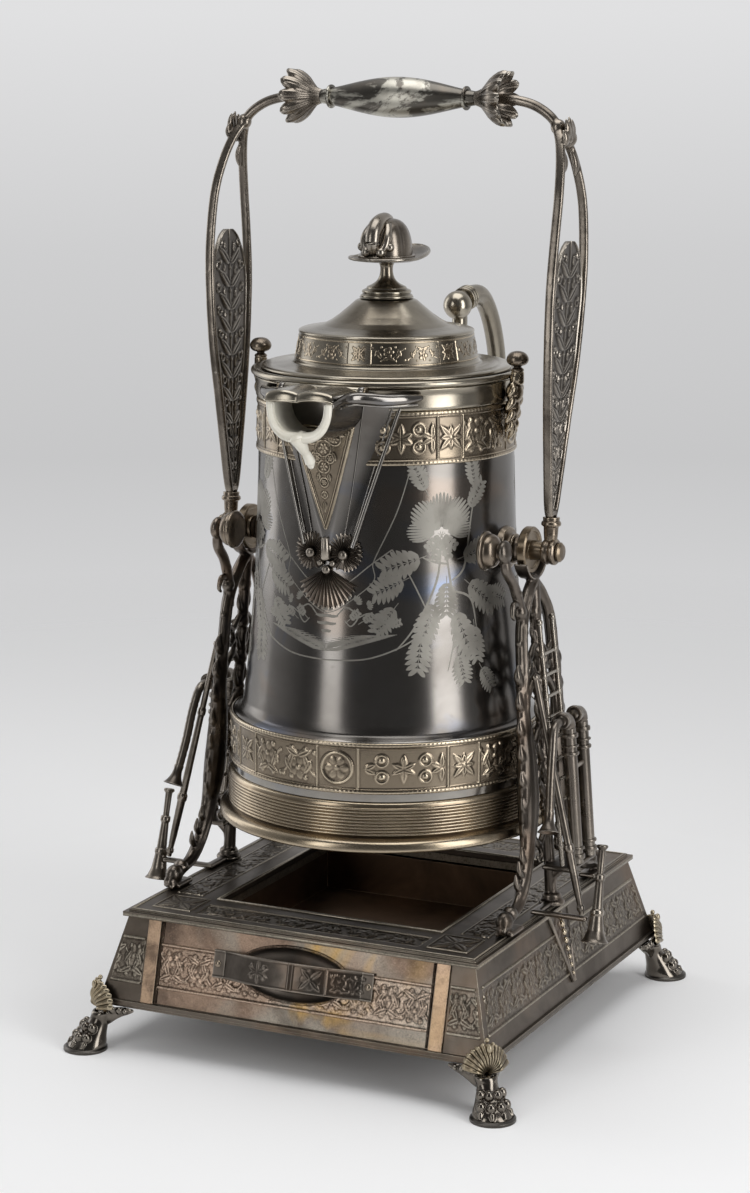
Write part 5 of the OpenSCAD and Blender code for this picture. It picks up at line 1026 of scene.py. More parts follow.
# %% Lid, drum band and collar
lid = [[0.4, 450.9], [17, 450.4], [30, 440.2], [37, 434.9], [49.6, 432.2], [53.2, 416], [53.2, 405],
    [54.8, 404.9], [54.8, 410.9], [75.6, 410.9], [76, 411.2], [76, 412], [75.2, 412.9], [73.4, 413.3],
    [68, 413.2], [62, 413.7], [58.4, 414.2], [57.2, 414.6], [56.9, 415.4], [55.7, 416.6], [52.8, 432.0],
    [53.4, 432.6], [53.2, 433.6], [51.4, 434.3], [45, 435.2], [38.5, 436.6], [33.5, 439.2], [28.5, 442.8],
    [23, 447.4], [18.6, 451.2], [16, 452.3], [0.4, 452.4]]
slot_tool = box([-13.5, 73.6, 409], [13.5, 95, 424], 0.1)
lid_mesh = mesh_of("lid", lathe(rounded(lid, 0.7, 2), 224))
hinge_tongue = join(box([-7.6, 70, 411.2], [7.6, 77, 413.2]), turned([-7.7, 77.5, 414.3], [7.7, 77.5, 414.3],
    sleeve(1.55, 2.5, 15.4, 0.3), 28))
settle("domed_lid", cut_with(lid_mesh, slot_tool), LID_PLATE, "lid", ["lid_dome"], 40)
piece("lid_hinge_tongue", hinge_tongue, LID_PLATE, "lid", "silver_plate")


DRUM_R, DRUM_LOW, DRUM_TALL, TILE = 54.4, 417.0, 14.6, 15


def drum_strip(sides=840):
    a = circle(sides)
    v = np.linspace(0, DRUM_TALL, 34)
    u, vv = grid(a * DRUM_R, v)
    unit = 2 * pi * DRUM_R / 6
    w = np.mod(u, unit)
    field = np.where(w > TILE, flower_strip(w - TILE, vv - 1.4, 11.8, (unit - TILE) / 2), 0)
    field = np.maximum(field, 0.9 * leaf(w, vv, 7.5, 7.3, 45, 7, 1.7))
    for degrees in (0, 90, 135, 180, 225, 270, 315):
        field = np.maximum(field, 0.9 * leaf(w, vv, 7.5, 7.3, degrees, 6.6 if degrees % 90 else 5, 1.6))
    for x in (0.5, TILE):
        field = np.maximum(field, 0.7 * ridge(w - x, 0.5))
    field *= (vv > 1.3) & (vv < 13.3)
    for y in (0.7, 13.9):
        field = np.maximum(field, 0.8 * ridge(vv - y, 0.65))
    r = 55.4 - (vv * 2.9 / 15.4) + 0.75 * field
    rows = np.zeros((sides, len(v) + 2, 3))
    rows[:, 1:-1] = np.stack([r * np.sin(a)[:, None], -r * np.cos(a)[:, None], DRUM_LOW + vv], axis=-1)
    for col, z, rr in ((0, DRUM_LOW, 54.6), (-1, DRUM_LOW + DRUM_TALL, 51.8)):
        rows[:, col] = np.stack([rr * np.sin(a), -rr * np.cos(a), np.full(sides, z)], axis=1)
    return net(rows, round_u=True, round_v=True)


piece("lid_band", drum_strip(), BAND_PLATE, "lid", "tarnished_plate", (), 60)
collar = [[0, 452.7], [15.3, 452.7], [15.9, 453.3], [15.8, 454.2], [14.7, 454.9], [14.5, 455.4], [15, 456.2],
    [14.6, 457.2], [12.6, 458], [12.2, 458.6], [11.6, 459.4], [9, 460.6], [6.6, 462.2], [4.8, 464.6],
    [4.0, 467.4], [3.8, 470], [4.1, 472], [4.9, 473.4], [6, 474], [0, 474]]
piece("stepped_collar", lathe(curve(collar, 2), 96, False), LID_PLATE, "lid", "silver_plate", ["lid_collar"],
    45)

# %% [markdown]
# ## The helmet finial
# The knob of the lid is a tiny parade helmet: a ribbed crown with a comb, a rolled crest at the front and
# a brim drawn out behind into a long tail. The crown is a turned shape whose radius ripples with its ribs.

# %% Helmet
def crown_net():
    rows = []
    for a in circle(96):
        line = []
        for t in shares(26):
            r = 15.2 * cos(t * pi / 2) ** 0.62
            z = 476.6 + 23.6 * sin(t * pi / 2) ** 0.94
            ribs = 1 + 0.055 * abs(cos(a * 4)) ** 0.7 * sin(pi * min(1, t * 0.9 + 0.12)) ** 0.7
            line.append([max(r, 0.3) * ribs * sin(a), -max(r, 0.3) * ribs * cos(a) * 1.08, z])
        rows.append(line)
    return net(rows, round_u=True)


brim_rows = []
for f in shares(12):
    line = []
    for a in circle(72):
        back = max(0, -cos(a))
        reach = (21 + 26 * back ** 2.2) * (1 - 0.1 * back)
        r = 8 + (reach - 8) * f
        x, y = r * sin(a) * (1 - 0.34 * back ** 2), -r * cos(a) - 3 * (1 - back) * f
        lift = 6.4 * (f ** 2) * back ** 2 + 1.8 * f ** 2 * max(0, cos(a)) + 1.8 * f ** 3 * abs(sin(a)) ** 3
        line.append([x, y, 475.4 + lift])
    brim_rows.append(line)
top = np.array(brim_rows)
brim = net(np.concatenate([top, top[::-1] - [0, 0, 1.3]]), round_u=True, round_v=True)
brim_edge = tube(np.concatenate([top[-1], top[-1][:2]]) - [0, 0, 0.6], 1.0, 8)
comb = tube(curve([[0, -17.6, 480], [0, -19.4, 486], [0, -17.6, 493], [0, -11, 498.6], [0, -2, 500.6],
    [0, 6, 499.6]], 5), np.interp(shares(26), [0, 0.2, 0.5, 0.8, 1], [2.6, 4.4, 4.8, 3.2, 1.6]), 16)
curls = both(join(tube(curve([[3.4, -17, 480], [6.8, -16.4, 485], [7.2, -13.6, 491], [5, -8.4, 496.4]], 4),
    2.6, 12), ball([4.6, -18.0, 481], 3.2), ball([9.2, -14.8, 484], 2.8)))
hat_band = lathe(rounded([[15.2, 476], [17, 476], [17.2, 478.4], [15.2, 478.6]], 0.5), 96)
hat_band = (hat_band[0] * [1, 1.06, 1], hat_band[1])
piece("fire_helmet", join(crown_net(), brim, brim_edge, comb, curls, hat_band), ROD_METAL, "lid",
    "dark_casting", ["helmet_finial"], 50)

# %% [markdown]
# ## The back handle
# A cast handle like a tall question mark: it leaves a bulb behind the lid, passes a triple ring, and comes
# down to the wall above the band. It is a tube along given points, a little wider than thick.

# %% Handle
path = curve([[0, 109, 440.2], [0, 123, 442.8], [0, 143, 440.2], [0, 159.5, 422.2], [0, 169.5, 393.2],
    [0, 170.4, 352.2], [0, 162, 308.2], [0, 141, 264.2], [0, 110, 235.2], [0, 85.6, 228.2]], 8)
fat = np.interp(shares(len(path)), [0, 0.12, 0.5, 0.85, 0.94, 1], [6.0, 6.8, 6.6, 5.6, 6.6, 9.0])
grip_bar = tube(path, fat, 24, [1, 0, 0], 0.86)
strut = tube(curve([[0, 107, 438.2], [0, 108, 424], [0, 98, 405.2], [0, 80.4, 393.2]], 8),
    np.interp(shares(25), [0, 0.5, 0.85, 1], [5.6, 5.2, 6.0, 7.6]), 20, [1, 0, 0], 0.9)
rings = []
for k in range(3):
    centre = np.array([0, 114 + 2.9 * k, 441.2 + 0.5 * k])
    rings.append(turned(centre, centre + [0, 1.0, 0.18], sleeve(5.4, 8.0, 2.0, 0.8, 4), 36))
piece("bent_handle", join(grip_bar, strut, *rings, ball([0, 105, 438.6], 9.2, 28)), LID_PLATE, "pitcher",
    "silver_plate", ["back_handle"], 45)

# %% [markdown]
# ## The bail
# Two bent rods a side rise from each hub, swell apart round a leaf panel and meet again under the grip.
# They are drawn upright and then leaned back 3.4 degrees about the trunnion axis, as the solids are.

# %% Rods
LEAN = turn("x", -3.4)
BAIL_H, BAIL_X, SPREAD = 267.0, 109.2, 24.5


def leaned(shape):
    return moved(shape, LEAN, (0, 0, AXIS_Z))


rods = []
for side in (-1, 1):
    path = curve([[BAIL_X - 0.6, side * 2.6, 21.2], [BAIL_X - 0.4, side * 6, 33],
        [BAIL_X + 1.2, side * SPREAD * 0.62, BAIL_H * 0.3], [BAIL_X + 2.8, side * SPREAD * 0.87,
        BAIL_H * 0.43], [BAIL_X + 4, side * SPREAD, BAIL_H * 0.57], [BAIL_X + 4.8, side * SPREAD * 0.96,
        BAIL_H * 0.67], [BAIL_X + 4.8, side * SPREAD * 0.78, BAIL_H * 0.775],
        [BAIL_X + 2.8, side * SPREAD * 0.52, BAIL_H * 0.85], [BAIL_X - 0.6, side * SPREAD * 0.26,
        BAIL_H * 0.905], [BAIL_X - 5, side * 1.2, BAIL_H * 0.94]], 8)
    # two slim rounds side by side leave the groove that runs along each rod
    for shift in (-1.15, 1.15):
        rods.append(tube(path + [shift, 0, 0], np.interp(shares(len(path)), [0, 0.1, 1], [1.5, 1.85, 1.85]),
            14, [1, 0, 0]))
    rods.append(tube(path, 1.9, 12, [1, 0, 0]))
top = curve([[BAIL_X - 3.4, 0, BAIL_H * 0.932], [BAIL_X - 9.6, 0, BAIL_H * 0.962],
    [BAIL_X - 20, 0, BAIL_H * 0.986], [BAIL_X - 33, 0, BAIL_H - 0.6], [62, 0, BAIL_H], [55, 0, BAIL_H]], 8)
rods.append(tube(top, 3.0, 18, [0, 1, 0]))
collar_ring = turned([58.4, 0, BAIL_H], [61, 0, BAIL_H], sleeve(2.6, 4.4, 2.4, 0.8), 28)

# %% [markdown]
# Where the rods meet, a calyx of pointed leaves wraps the joint. Each leaf is a lens-shaped lobe bent
# outwards at its tip. The whole is melted, so the leaves grow out of the rods as they do in a casting.

# %% Calyx and rods as one casting
def lobe_leaf(start, end, wide, thick=1.6, bulge=1.6, out_dir=(1, 0, 0)):
    """A pointed lobe from one point to another."""
    start, end, out_dir = (np.asarray(p, float) for p in (start, end, out_dir))
    line = np.array([start + (end - start) * t + out_dir * bulge * sin(pi * t * 0.9) for t in shares(12)])
    fat = np.array([0.25 + wide * sin(pi * (0.06 + 0.9 * t)) ** 0.8 for t in shares(12)])
    return tube(line, fat, 12, out_dir, thick / wide)


calyx = []
for y, tip_y, tip_z in [(0, 0, 0.985), (-2.5, -8.2, 0.955), (2.5, 8.2, 0.955), (-2, -4.6, 0.98),
        (2, 4.6, 0.98)]:
    calyx.append(lobe_leaf([BAIL_X + 0.4, y, BAIL_H * 0.895], [BAIL_X + 1.2, tip_y, BAIL_H * tip_z - 6], 3.0,
        1.8, 2.2))
for y in (-6.4, 6.4):
    calyx.append(lobe_leaf([BAIL_X + 1.6, y * 1.05, BAIL_H * 0.89], [BAIL_X + 2.6, y * 1.6, BAIL_H * 0.835],
        2.6, 1.8, 1.6))
calyx.append(ball([BAIL_X - 4.6, 0, BAIL_H * 0.94], [4.6, 4.6, 4.8], 20))
calyx.append(ball([BAIL_X + 1.4, 0, BAIL_H * 0.915], [3.4, 3.2, 3.4], 20))
foot_block = box([BAIL_X - 3.2, -4.6, 21.2], [BAIL_X + 2.0, 4.6, 25.4], 1.2)
pair(cast, "bail_rods", "bail_arm", leaned(join(*rods, collar_ring, *calyx, foot_block)), 0.62, ROD_METAL,
    "bail", "dark_casting", sharp=65)

# %% [markdown]
# ## Leaf panels
# Between the rods stands an almond-shaped plate, embossed with a stem, paired leaves and seeds on both
# faces. It is a relief grid whose width follows the almond, closed front to back.

# %% Almond panels
def almond_edge(t):
    """Half the plate's width: it fills the gap between the rods and is round at the top."""
    high = 25.6 + 160 * np.asarray(t, float)
    gap = np.interp(high, [22.6, 33, 80.1, 114.8, 152.2, 178.9, 206.9], [2.8, 6, 15.2, 21.3, 24.5, 23.5,
        19.1]) - 2.6
    return np.maximum(0.8, np.minimum(21.6 * np.sqrt(1 - np.clip((t - 0.78) / 0.2201, 0, 1) ** 2), gap))


def almond():
    nt, ns = 300, 52
    t, q = grid(np.linspace(0.004, 0.996, nt), np.linspace(-1, 1, ns))
    half = almond_edge(t)
    s, v = q * half, t * 160
    field = 0.9 * ridge((1 - np.abs(q)) * half - 0.8, 0.75)
    field = np.maximum(field, 0.6 * ridge(s, 0.8))
    for k in range(10):
        at = 10 + 14.2 * k
        w = float(almond_edge(np.array((at + 8) / 160)))
        for side in (1, -1):
            long = min(17.5, w * 1.1)
            field = np.maximum(field, 1.2 * leaf(s, v, side * 0.6, at, 90 - side * 50, long, 3.2))
            field = np.maximum(field, 1.0 * leaf(s, v, side * w * 0.3, at + 6, 90 - side * 8, 9, 1.9))
            field = np.maximum(field, 1.2 * dome(s, v, side * w * 0.72, at + 1.4, 1.8))
            field = np.maximum(field, 0.8 * ring(s, v, side * w * 0.7, at + 13.4, 2.2, 0.6))
        field = np.maximum(field, dome(s, v, 0, at - 2.4, 1.3))
    inside = (1 - np.abs(q)) * half
    field = field * np.clip(inside / 0.8, 0.35, 1)
    level = 0.6 + 1.15 * field
    front, back = np.stack([level, s, v], axis=-1), np.stack([-level, s, v], axis=-1)
    shape = closed_net(np.concatenate([front, back[:, ::-1]], axis=1))
    tilt = to_degrees(atan(5.2 / (BAIL_H * 0.5)))
    return moved(shape, turn("y", tilt), (BAIL_X - 0.8, 0, 25.6))


piece("almond_panels", both(leaned(almond())), PANEL_CASTING, "bail", "dark_casting", ["leaf_panels"], 60)

# %% [markdown]
# ## Hubs, grip and flares
# The hub turns on the trunnion pin and holds the rods in a ferrule. The grip is a long spindle of worn
# plate, and at each end a fluted flare opens like a tulip, with lines drawn to the tip of every petal.

# %% Hubs
hub = turned([BAIL_X - 4.4, 0, 0], [BAIL_X + 4.4, 0, 0],
    rounded([[4.1, 0], [6.8, 0], [8, 1.2], [8, 3.0], [7.5, 3.8], [7.5, 5.0], [8, 5.8], [8, 7.6], [6.8, 8.8],
    [4.1, 8.8]], 0.35), 48)
ferrule = turned([BAIL_X - 0.4, 0, 6.4], [BAIL_X - 0.4, 0, 21],
    rounded([[0, 0], [3.9, 0], [4.3, 4], [4.5, 8.6], [5.9, 9.4], [6.1, 10.6], [5.7, 11.8], [4.9, 12.2],
    [5.2, 14.4], [0, 14.6]], 0.5, closed=False), 36)
piece("bail_hub_pair", both(leaned(join(hub, ferrule))), WORN_BRASS, "bail", "worn_brass", ["bail_hubs"], 45)

# %% Grip and flares
spindle = [[0, 0], [4.2, 0], [4.4, 1.2]]
spindle += [[4.6 + 7.6 * sin(pi * f) ** 1.3, 2 + 98 * f] for f in np.linspace(0.01, 0.99, 60)]
spindle += [[4.4, 100.8], [4.2, 102], [0, 102]]
beads = [rounded([[5, z], [7.2, z], [7.2, z + 1.7], [5, z + 1.7]], 0.7, 3) for z in (5.2, 95.2)]
grip_shape = join(turned([-51, 0, BAIL_H], [51, 0, BAIL_H], spindle, 96),
    *[turned([-51, 0, BAIL_H], [51, 0, BAIL_H], b, 64) for b in beads])
piece("grip_spindle", leaned(grip_shape), PATCHY_PLATE, "bail", "silver_plate", ["grip"], 45)


def flare():
    stations = [(51.3, 4.4, 0), (53, 4.9, 0.02), (55.5, 6.0, 0.05), (58, 8.6, 0.09), (61, 12.0, 0.13),
        (64, 14.4, 0.16), (67, 16.2, 0.18), (70, 17.2, 0.2), (72, 17.3, 0.2), (73, 16.9, 0.2),
        (72.6, 15.9, 0.2), (70, 15.3, 0.19), (66.5, 13.6, 0.17), (64, 11.4, 0.13), (62, 8, 0.08),
        (60.8, 5, 0.02), (60.6, 3.2, 0)]
    rings = []
    for x, r, deep in stations:
        line = []
        for a in circle(160):
            lobe = abs(cos(a * 5)) ** 0.75
            tip = (1 - lobe) * 3.6 * (r - 12) / 5 if r > 12 else 0
            q = (r - 0.25) * (1 - deep + deep * lobe)
            vein = 0.22 * cos(a * 40) * min(1, r / 10)
            line.append([x - tip, (q + vein) * cos(a), (q + vein) * sin(a)])
        rings.append(line)
    return moved(closed_net(rings), None, (0, 0, BAIL_H))


piece("tulip_flares", both(leaned(flare())), ROD_METAL, "bail", "dark_casting", ["grip_flares"], 60)

# %% [markdown]
# ## Trunnions, brackets and rim knobs
# Turned parts with mouldings fine enough to count: the bosses on the wall, the discs that carry them, the
# front knobs on the scrolls, and the small knobs on the rim with a leafy bracket below each.

# %% Turned fittings
def fitting(start, end, outline, sides=56):
    return both(turned(start, end, curve(outline, 3), sides))


wall_x = float(body_r(AXIS_Z)) - 4
socket = [[0, 0], [13, 0.2], [13, 5.6], [12, 6.9], [10.4, 7.2], [9.0, 7.8], [8.6, 9.4], [9.2, 10.2],
    [8.6, 11.2], [7.6, 12.2], [7.3, 91.5 - wall_x - 1.4], [6.8, 91.5 - wall_x - 0.2], [4.1, 91.5 - wall_x],
    [4.1, 84 - wall_x], [0, 84 - wall_x]]
piece("trunnion_bosses", fitting([wall_x, 0, AXIS_Z], [wall_x + 10, 0, AXIS_Z], socket), WORN_BRASS,
    "pitcher", "worn_brass", ["trunnion_sockets"], 45)
knob = [[0, 0], [7, 0], [9.6, 0.5], [11.2, 1.4], [11.8, 2.6], [11.4, 3.6], [10.2, 4.2], [10.5, 5.2],
    [10, 7.2], [8.6, 9.2], [6.2, 10.6], [4.9, 11.3], [4.7, 12.2], [6.2, 13], [6.6, 14.2], [5.2, 15.4],
    [2, 15.9], [0, 15.9]]
piece("front_knobs", fitting([81.4, -39.7, AXIS_Z + 5], [97.2, -39.7, AXIS_Z + 5], knob), WORN_BRASS, "stand",
    "worn_brass", ["scroll_knobs"], 45)
rim_knob = [[0, 0], [3.2, 0], [3.9, 0.8], [3.4, 1.8], [2.4, 2.4], [2.6, 3.2], [4.6, 3.9], [6.1, 5.2],
    [6.7, 7], [6.2, 9], [4.6, 10.9], [2.4, 11.9], [0, 12.2]]
piece("rim_buds", fitting([86.4, 0, RIM_Z + 3], [86.4, 0, RIM_Z + 15], rim_knob, 40), WORN_BRASS, "pitcher",
    "worn_brass", ["rim_knobs"], 45)

# %% Leafy brackets
bracket = [ball([86, 0, RIM_Z - 1.6], [4.4, 4.8, 4.6], 20), ball([84.6, 0, RIM_Z - 9.5], [5.2, 6.6, 7], 20),
    ball([83.4, 0, RIM_Z - 19], [4.6, 5.4, 6], 20), tube([[86.4, 0, RIM_Z - 4], [86.4, 0, RIM_Z + 2.6]], 4,
    20)]
for z, reach, drop, wide in [(-4, 7.6, 7, 2.6), (-10, 9, 9, 2.8), (-18, 7.6, 9, 2.4), (-25, 5.6, 8, 1.9)]:
    for side in (1, -1):
        bracket.append(lobe_leaf([86 + 0.10 * z, side * 2.2, RIM_Z + z], [84 + 0.13 * z, side * reach,
            RIM_Z + z - drop], wide, 1.9, 1.8))
        bracket.append(ball([85.6 + 0.12 * z, side * (reach - 3.2), RIM_Z + z - 1], [1.8, 1.9, 1.9], 12))
for z in (-14, -22, -30):
    bracket.append(lobe_leaf([86.6 + 0.12 * z, 0, RIM_Z + z + 5], [84.0 + 0.13 * z, 0, RIM_Z + z - 8], 2.2, 2,
        2.0))
cast("leaf_brackets", both(join(*bracket)), 0.5, BAND_PLATE, "pitcher", "tarnished_plate", ["rim_brackets"],
    2, 65)

# %% [markdown]
# ## The uprights
# Each upright is an openwork casting: two cabriole legs and a post, tied by scrolls, with leaves along
# the legs and a knob arm in front. The bars are round, so they are drawn as fat lines in the upright's
# own leaning plane and melted into one skin. Buds, collars and leaves are lobes added before melting.

# %% Upright drawing
FOOT_X, SADDLE_X, PLATE_TOP = 112.6, 96.5, 86.0
STAND_LEAN = (FOOT_X - SADDLE_X) / (AXIS_Z - PLATE_TOP)
UP = hypot(AXIS_Z - PLATE_TOP, FOOT_X - SADDLE_X)
PLANE = np.array(turn("y", -to_degrees(atan(STAND_LEAN))))


def stand_x(z):
    return FOOT_X - STAND_LEAN * (z - PLATE_TOP)


def in_plane(y, v, out_by=0.0):
    """A point y to the rear and v up the plate, standing out of the upright's plane."""
    return PLANE @ np.array([out_by, y, v]) + [FOOT_X, 0, PLATE_TOP]


def fat_line(points, thick=0.8, out_by=0.0, steps=6):
    """A round-backed bar through points (y, v, half width)."""
    p = curve(points, steps)
    return tube([in_plane(y, v, out_by) for y, v, _ in p], p[:, 2], 14, PLANE @ [1, 0, 0], thick)


def bead(y, v, r, out_by=0.0, thick=None):
    return moved(ball([0, 0, 0], [thick or r, r, r], 16), PLANE, in_plane(y, v, out_by))


LEG = [[75, 4.2, 2.6], [64, 9.5, 4.2], [51, 13.5, 4.6], [39, 26, 5.8], [31, 46, 7.2], [26.5, 70, 9.6],
    [25, 96, 8.6], [26, 122, 6.2], [24, 150, 5.0], [21, 176, 4.6], [10, 193, 4], [0, UP - 18, 4.6]]
SPINE = [[y, v, r] for (y, v, _), r in zip(LEG, [1.2, 1.6, 1.8, 2, 2.2, 2.4, 2.2, 1.8, 1.6, 1.6, 1.5, 1.4])]
bars = []


def bar(side, points, *how):
    """A bar of the casting, towards the rear (1) or the front (-1)."""
    bars.append(fat_line([[side * y, v, r] for y, v, r in points], *how))


for side in (-1, 1):
    bar(side, LEG, 0.62, 0.0, 8)
    for out_by in (-2.6, 2.6):
        bar(side, SPINE, 1.0, out_by, 8)
    for k in range(7):
        v = 46 + 16 * k
        y = 29.5 - 0.55 * k
        bar(side, [[y, v, 2.6], [y + 5.2, v + 6, 2.8], [y + 7.6 - 0.7 * k, v + 13, 0.8]], 0.9)
        for out_by in (-3.0, 3.0):
            bar(side, [[y + 1, v - 4, 0.8], [y - 1.5, v + 4, 2.2], [y - 4.2, v + 11, 0.6]], 0.7, out_by)
    for k in range(4):
        v = 22 + 7 * k
        bar(side, [[46 - 5 * k, v - 2, 1.6], [51 - 5 * k, v + 3, 2.2], [52 - 6 * k, v + 10, 0.7]], 0.9)
    for v in (44, 106, 158):
        bar(side, [[27, v + 10, 2], [15, v - 3, 2.4], [5, v + 4, 2], [0, v + 2, 2.4]], 0.9)
        bar(side, [[15, v - 3, 2], [11, v - 9, 1.8], [15, v - 13, 1.5], [18, v - 9.5, 1.2]], 0.9)
    for v in (74, 134):
        bar(side, [[24, v - 8, 2], [12, v + 5, 2.4], [4, v - 1, 2], [0, v, 2.4]], 0.9)
        bar(side, [[12, v + 5, 1.9], [9, v + 12, 1.7], [13, v + 15, 1.4], [15.4, v + 11.5, 1.1]], 0.9)
    bars += [bead(side * 72, 8.6, 6.4, 0, 5.2), bead(side * 64, 11.6, 4.6, 0, 5.0),
        bead(side * 76, 4.8, 3.6, 0, 3.4)]
    for k in (-1, 0, 1):
        bar(side, [[70, 7, 2], [76, 5 + 1.4 * k, 1.9], [79, 3.2 + 1.2 * k, 1.3]], 1.0, 2.2 * k)
    bars.append(box([106.8, min(side * 57, side * 75), 86.3], [118.4, max(side * 57, side * 75), 89.6], 0.9))
bars.append(fat_line([[0, 2, 4.2], [0, 40, 3.3], [0, 120, 2.8], [0, UP - 20, 4.2]], 1.0))
for v in range(62, 183, 24):
    bars += [bead(0, v, 5.2, 0, 4.2), bead(0, v + 5.6, 3.6, 0, 3.8), bead(0, v - 5.6, 3.6, 0, 3.8)]
for k in range(5):
    for side in (-1, 1):
        bar(side, [[2.4, 68 + 24 * k, 1.4], [6, 74 + 24 * k, 1.8], [7.4, 81 + 24 * k, 0.5]], 1.0)
bars.append(fat_line([[-20, UP - 48, 3.8], [-22, UP - 32, 3.6], [-29, UP - 17, 3.4], [-38.7, UP - 6, 3.4],
    [-39.7, UP + 5, 3]], 0.95))
bars += [bead(-39.7, UP + 5, 7.2, 0, 4), bead(-22, UP - 34, 4.6, 0, 4.2), bead(-26, UP - 22, 2.6, 0, 4)]
bars.append(fat_line([[-24, UP - 30, 1.6], [-31, UP - 28, 2], [-34, UP - 34, 1.4], [-31, UP - 37, 1]], 1.0))
cup = curve([[10, -4.6, 0], [16.6, -4.6, 0], [17.6, -3.6, 0], [17.6, 3.6, 0], [16.6, 4.6, 0], [10, 4.6, 0]],
    2)
saddle = []
for a in np.radians(np.linspace(200, 340, 40)):
    saddle.append([[SADDLE_X + c[1], c[0] * cos(a), AXIS_Z + c[0] * sin(a)] for c in cup if c[0] >= 14.4])
bars.append(closed_net(saddle))
base_nut = turned([FOOT_X, 0, 86.2], [FOOT_X, 0, 96], curve([[0, 0], [7.4, 0], [7.6, 2.6], [6, 3.6], [5.8, 6],
    [4.2, 7.2], [0, 7.6]], 3), 32)
SHELF_TOP = 113
shelf_x = stand_x(SHELF_TOP)
shelf_shape = [box([shelf_x - 1, -11, 110], [shelf_x + 19, 29, SHELF_TOP], 0.9),
    tube([[shelf_x + 2, 0, 95], [shelf_x + 3, 0, 104], [shelf_x + 9, 0, 110.4]], [2.4, 2.8, 3], 14),
    box([109.6, -28, 86.3], [146.1, -23, 89.2], 0.8), box([109.7, -28, 86.3], [115.5, 0, 89.2], 0.8)]

# %% Melt the uprights
pair(cast, "cast_upright", "upright", join(*bars, base_nut, *shelf_shape), 0.72, DARK_CASTING, "stand",
    "dark_casting", sharp=65)

# %% [markdown]
# ## Ladders, pipes and trumpets
# Small trophies lean against each upright: a ladder, twin pipes with a hose and flared ends, a long
# branch pipe that stands on the bar, and a short speaking trumpet at the bar's end. Rods and turned
# outlines make all of them, with collars where the real ones are bound.

# %% Ladder
LADDER_TOP, LADDER_Y = 262, (-8, 12)


def ladder_x(z):
    return np.interp(z, [SHELF_TOP, LADDER_TOP], [shelf_x + 12, stand_x(LADDER_TOP) + 5.7])


stiles = [tube([[ladder_x(z), y, z] for z in np.linspace(SHELF_TOP + 0.3, LADDER_TOP, 20)], 1.65, 14)
    for y in LADDER_Y]
stiles += [ball([ladder_x(LADDER_TOP), y, LADDER_TOP + 0.6], 2.3) for y in LADDER_Y]
for k in range(1, 11):
    z = SHELF_TOP + 13 * k
    stiles.append(tube([[ladder_x(z), y, z] for y in LADDER_Y], 1.15, 12))
    for y in LADDER_Y:
        stiles.append(turned([ladder_x(z) - 0.1, y, z - 1.6], [ladder_x(z + 1.6), y, z + 1.6],
            sleeve(1.4, 2.1, 3.2, 0.6), 14))
pair(piece, "ladder_trophy", "ladder", join(*stiles), ROD_METAL, "stand", "dark_casting", sharp=45)

# %% Pipes
high_x, low_x = float(ladder_x(197)) + 8.4, shelf_x + 17
pipes = []
for k in (0, 1):
    y = 3 + 20 * k
    low, high = np.array([low_x, y, SHELF_TOP + 0.3]), np.array([high_x, y, 197.0])
    bend = [[high_x, y - 7 + 7 * cos(a), 197 + 7 * sin(a)] for a in np.linspace(0, pi / 2, 9)]
    pipes.append(tube(np.array([low, *[low + (high - low) * t for t in (0.3, 0.6, 0.9)], *bend,
        [high_x, y - 12, 204]]), 4.0, 24))
    for t, tall in ((0.03, 3.2), (0.1, 1.8), (0.8, 2.2), (0.86, 1.4), (0.93, 2.8)):
        at = low + (high - low) * t
        pipes.append(turned(at, high, sleeve(3.6, 5.2, tall, 0.7), 28))
    pipes.append(turned([high_x, y - 10, 204], [high_x, y - 14, 204],
        rounded([[0, 0], [5.2, 0], [5.2, 3.2], [3.2, 3.2], [2.6, 1.2], [0, 1.2]], 0.5, closed=False), 28))
tie = 0.3
pipes.append(tube([[high_x + (low_x - high_x) * tie, 3, 172], [high_x + (low_x - high_x) * tie, 23, 172]],
    1.8, 14))
hose = curve([[high_x, -8, 204], [high_x, -20, 202], [high_x + 1.5, -27, 189], [high_x + 3, -33, 171],
    [high_x + 5, -39, 155]], 10)
pipes.append(tube(hose, 2.5 + 0.28 * np.abs(np.sin(np.arange(len(hose)) * 1.3)), 16))
pipes.append(turned([high_x + 5, -39, 155], [high_x + 6.4, -44, 144],
    curve([[0, -1], [2.9, -0.6], [2.8, 3], [3.6, 7], [5.4, 10.6], [6.7, 12], [5.8, 11.8], [3, 8], [0, 6]], 3),
    32))
pair(piece, "pipe_trophy", "pipes", join(*pipes), DARK_CASTING, "stand", "dark_casting", sharp=45)

# %% Branch pipes and trumpets
def outline_on(long, steps):
    """A turned outline; each step is a radius, a share of the length and the millimetres past it."""
    return [[r, share * long + past] for r, share, past in steps]


pipe_top, pipe_tip = np.array([stand_x(233) + 6.3, -20, 233.0]), np.array([142.5, -25.5, 90.3])
pipe_long = float(np.linalg.norm(pipe_tip - pipe_top))
branch = turned(pipe_top, pipe_tip,
    rounded(outline_on(pipe_long, [(0, 0, 0), (2.4, 0, 0), (2.6, 0, 1.4), (1.9, 0, 2.9), (1.9, 0.3, 0),
    (2.6, 0.31, 0), (2.6, 0.33, 0), (2, 0.34, 0), (2.4, 0.7, 0), (3.2, 0.71, 0), (3.2, 0.73, 0),
    (2.6, 0.74, 0), (2.2, 1, -14), (1.7, 1, -6), (2.4, 1, -5), (2.4, 1, -3), (1.7, 1, -2.2), (1.6, 1, 0),
    (0, 1, 0)]), 0.4, 2, False), 32)
mouth, bell = np.array([149.6, -11, 131.0]), np.array([151.0, -25.6, 74.0])
horn_long = float(np.linalg.norm(bell - mouth))
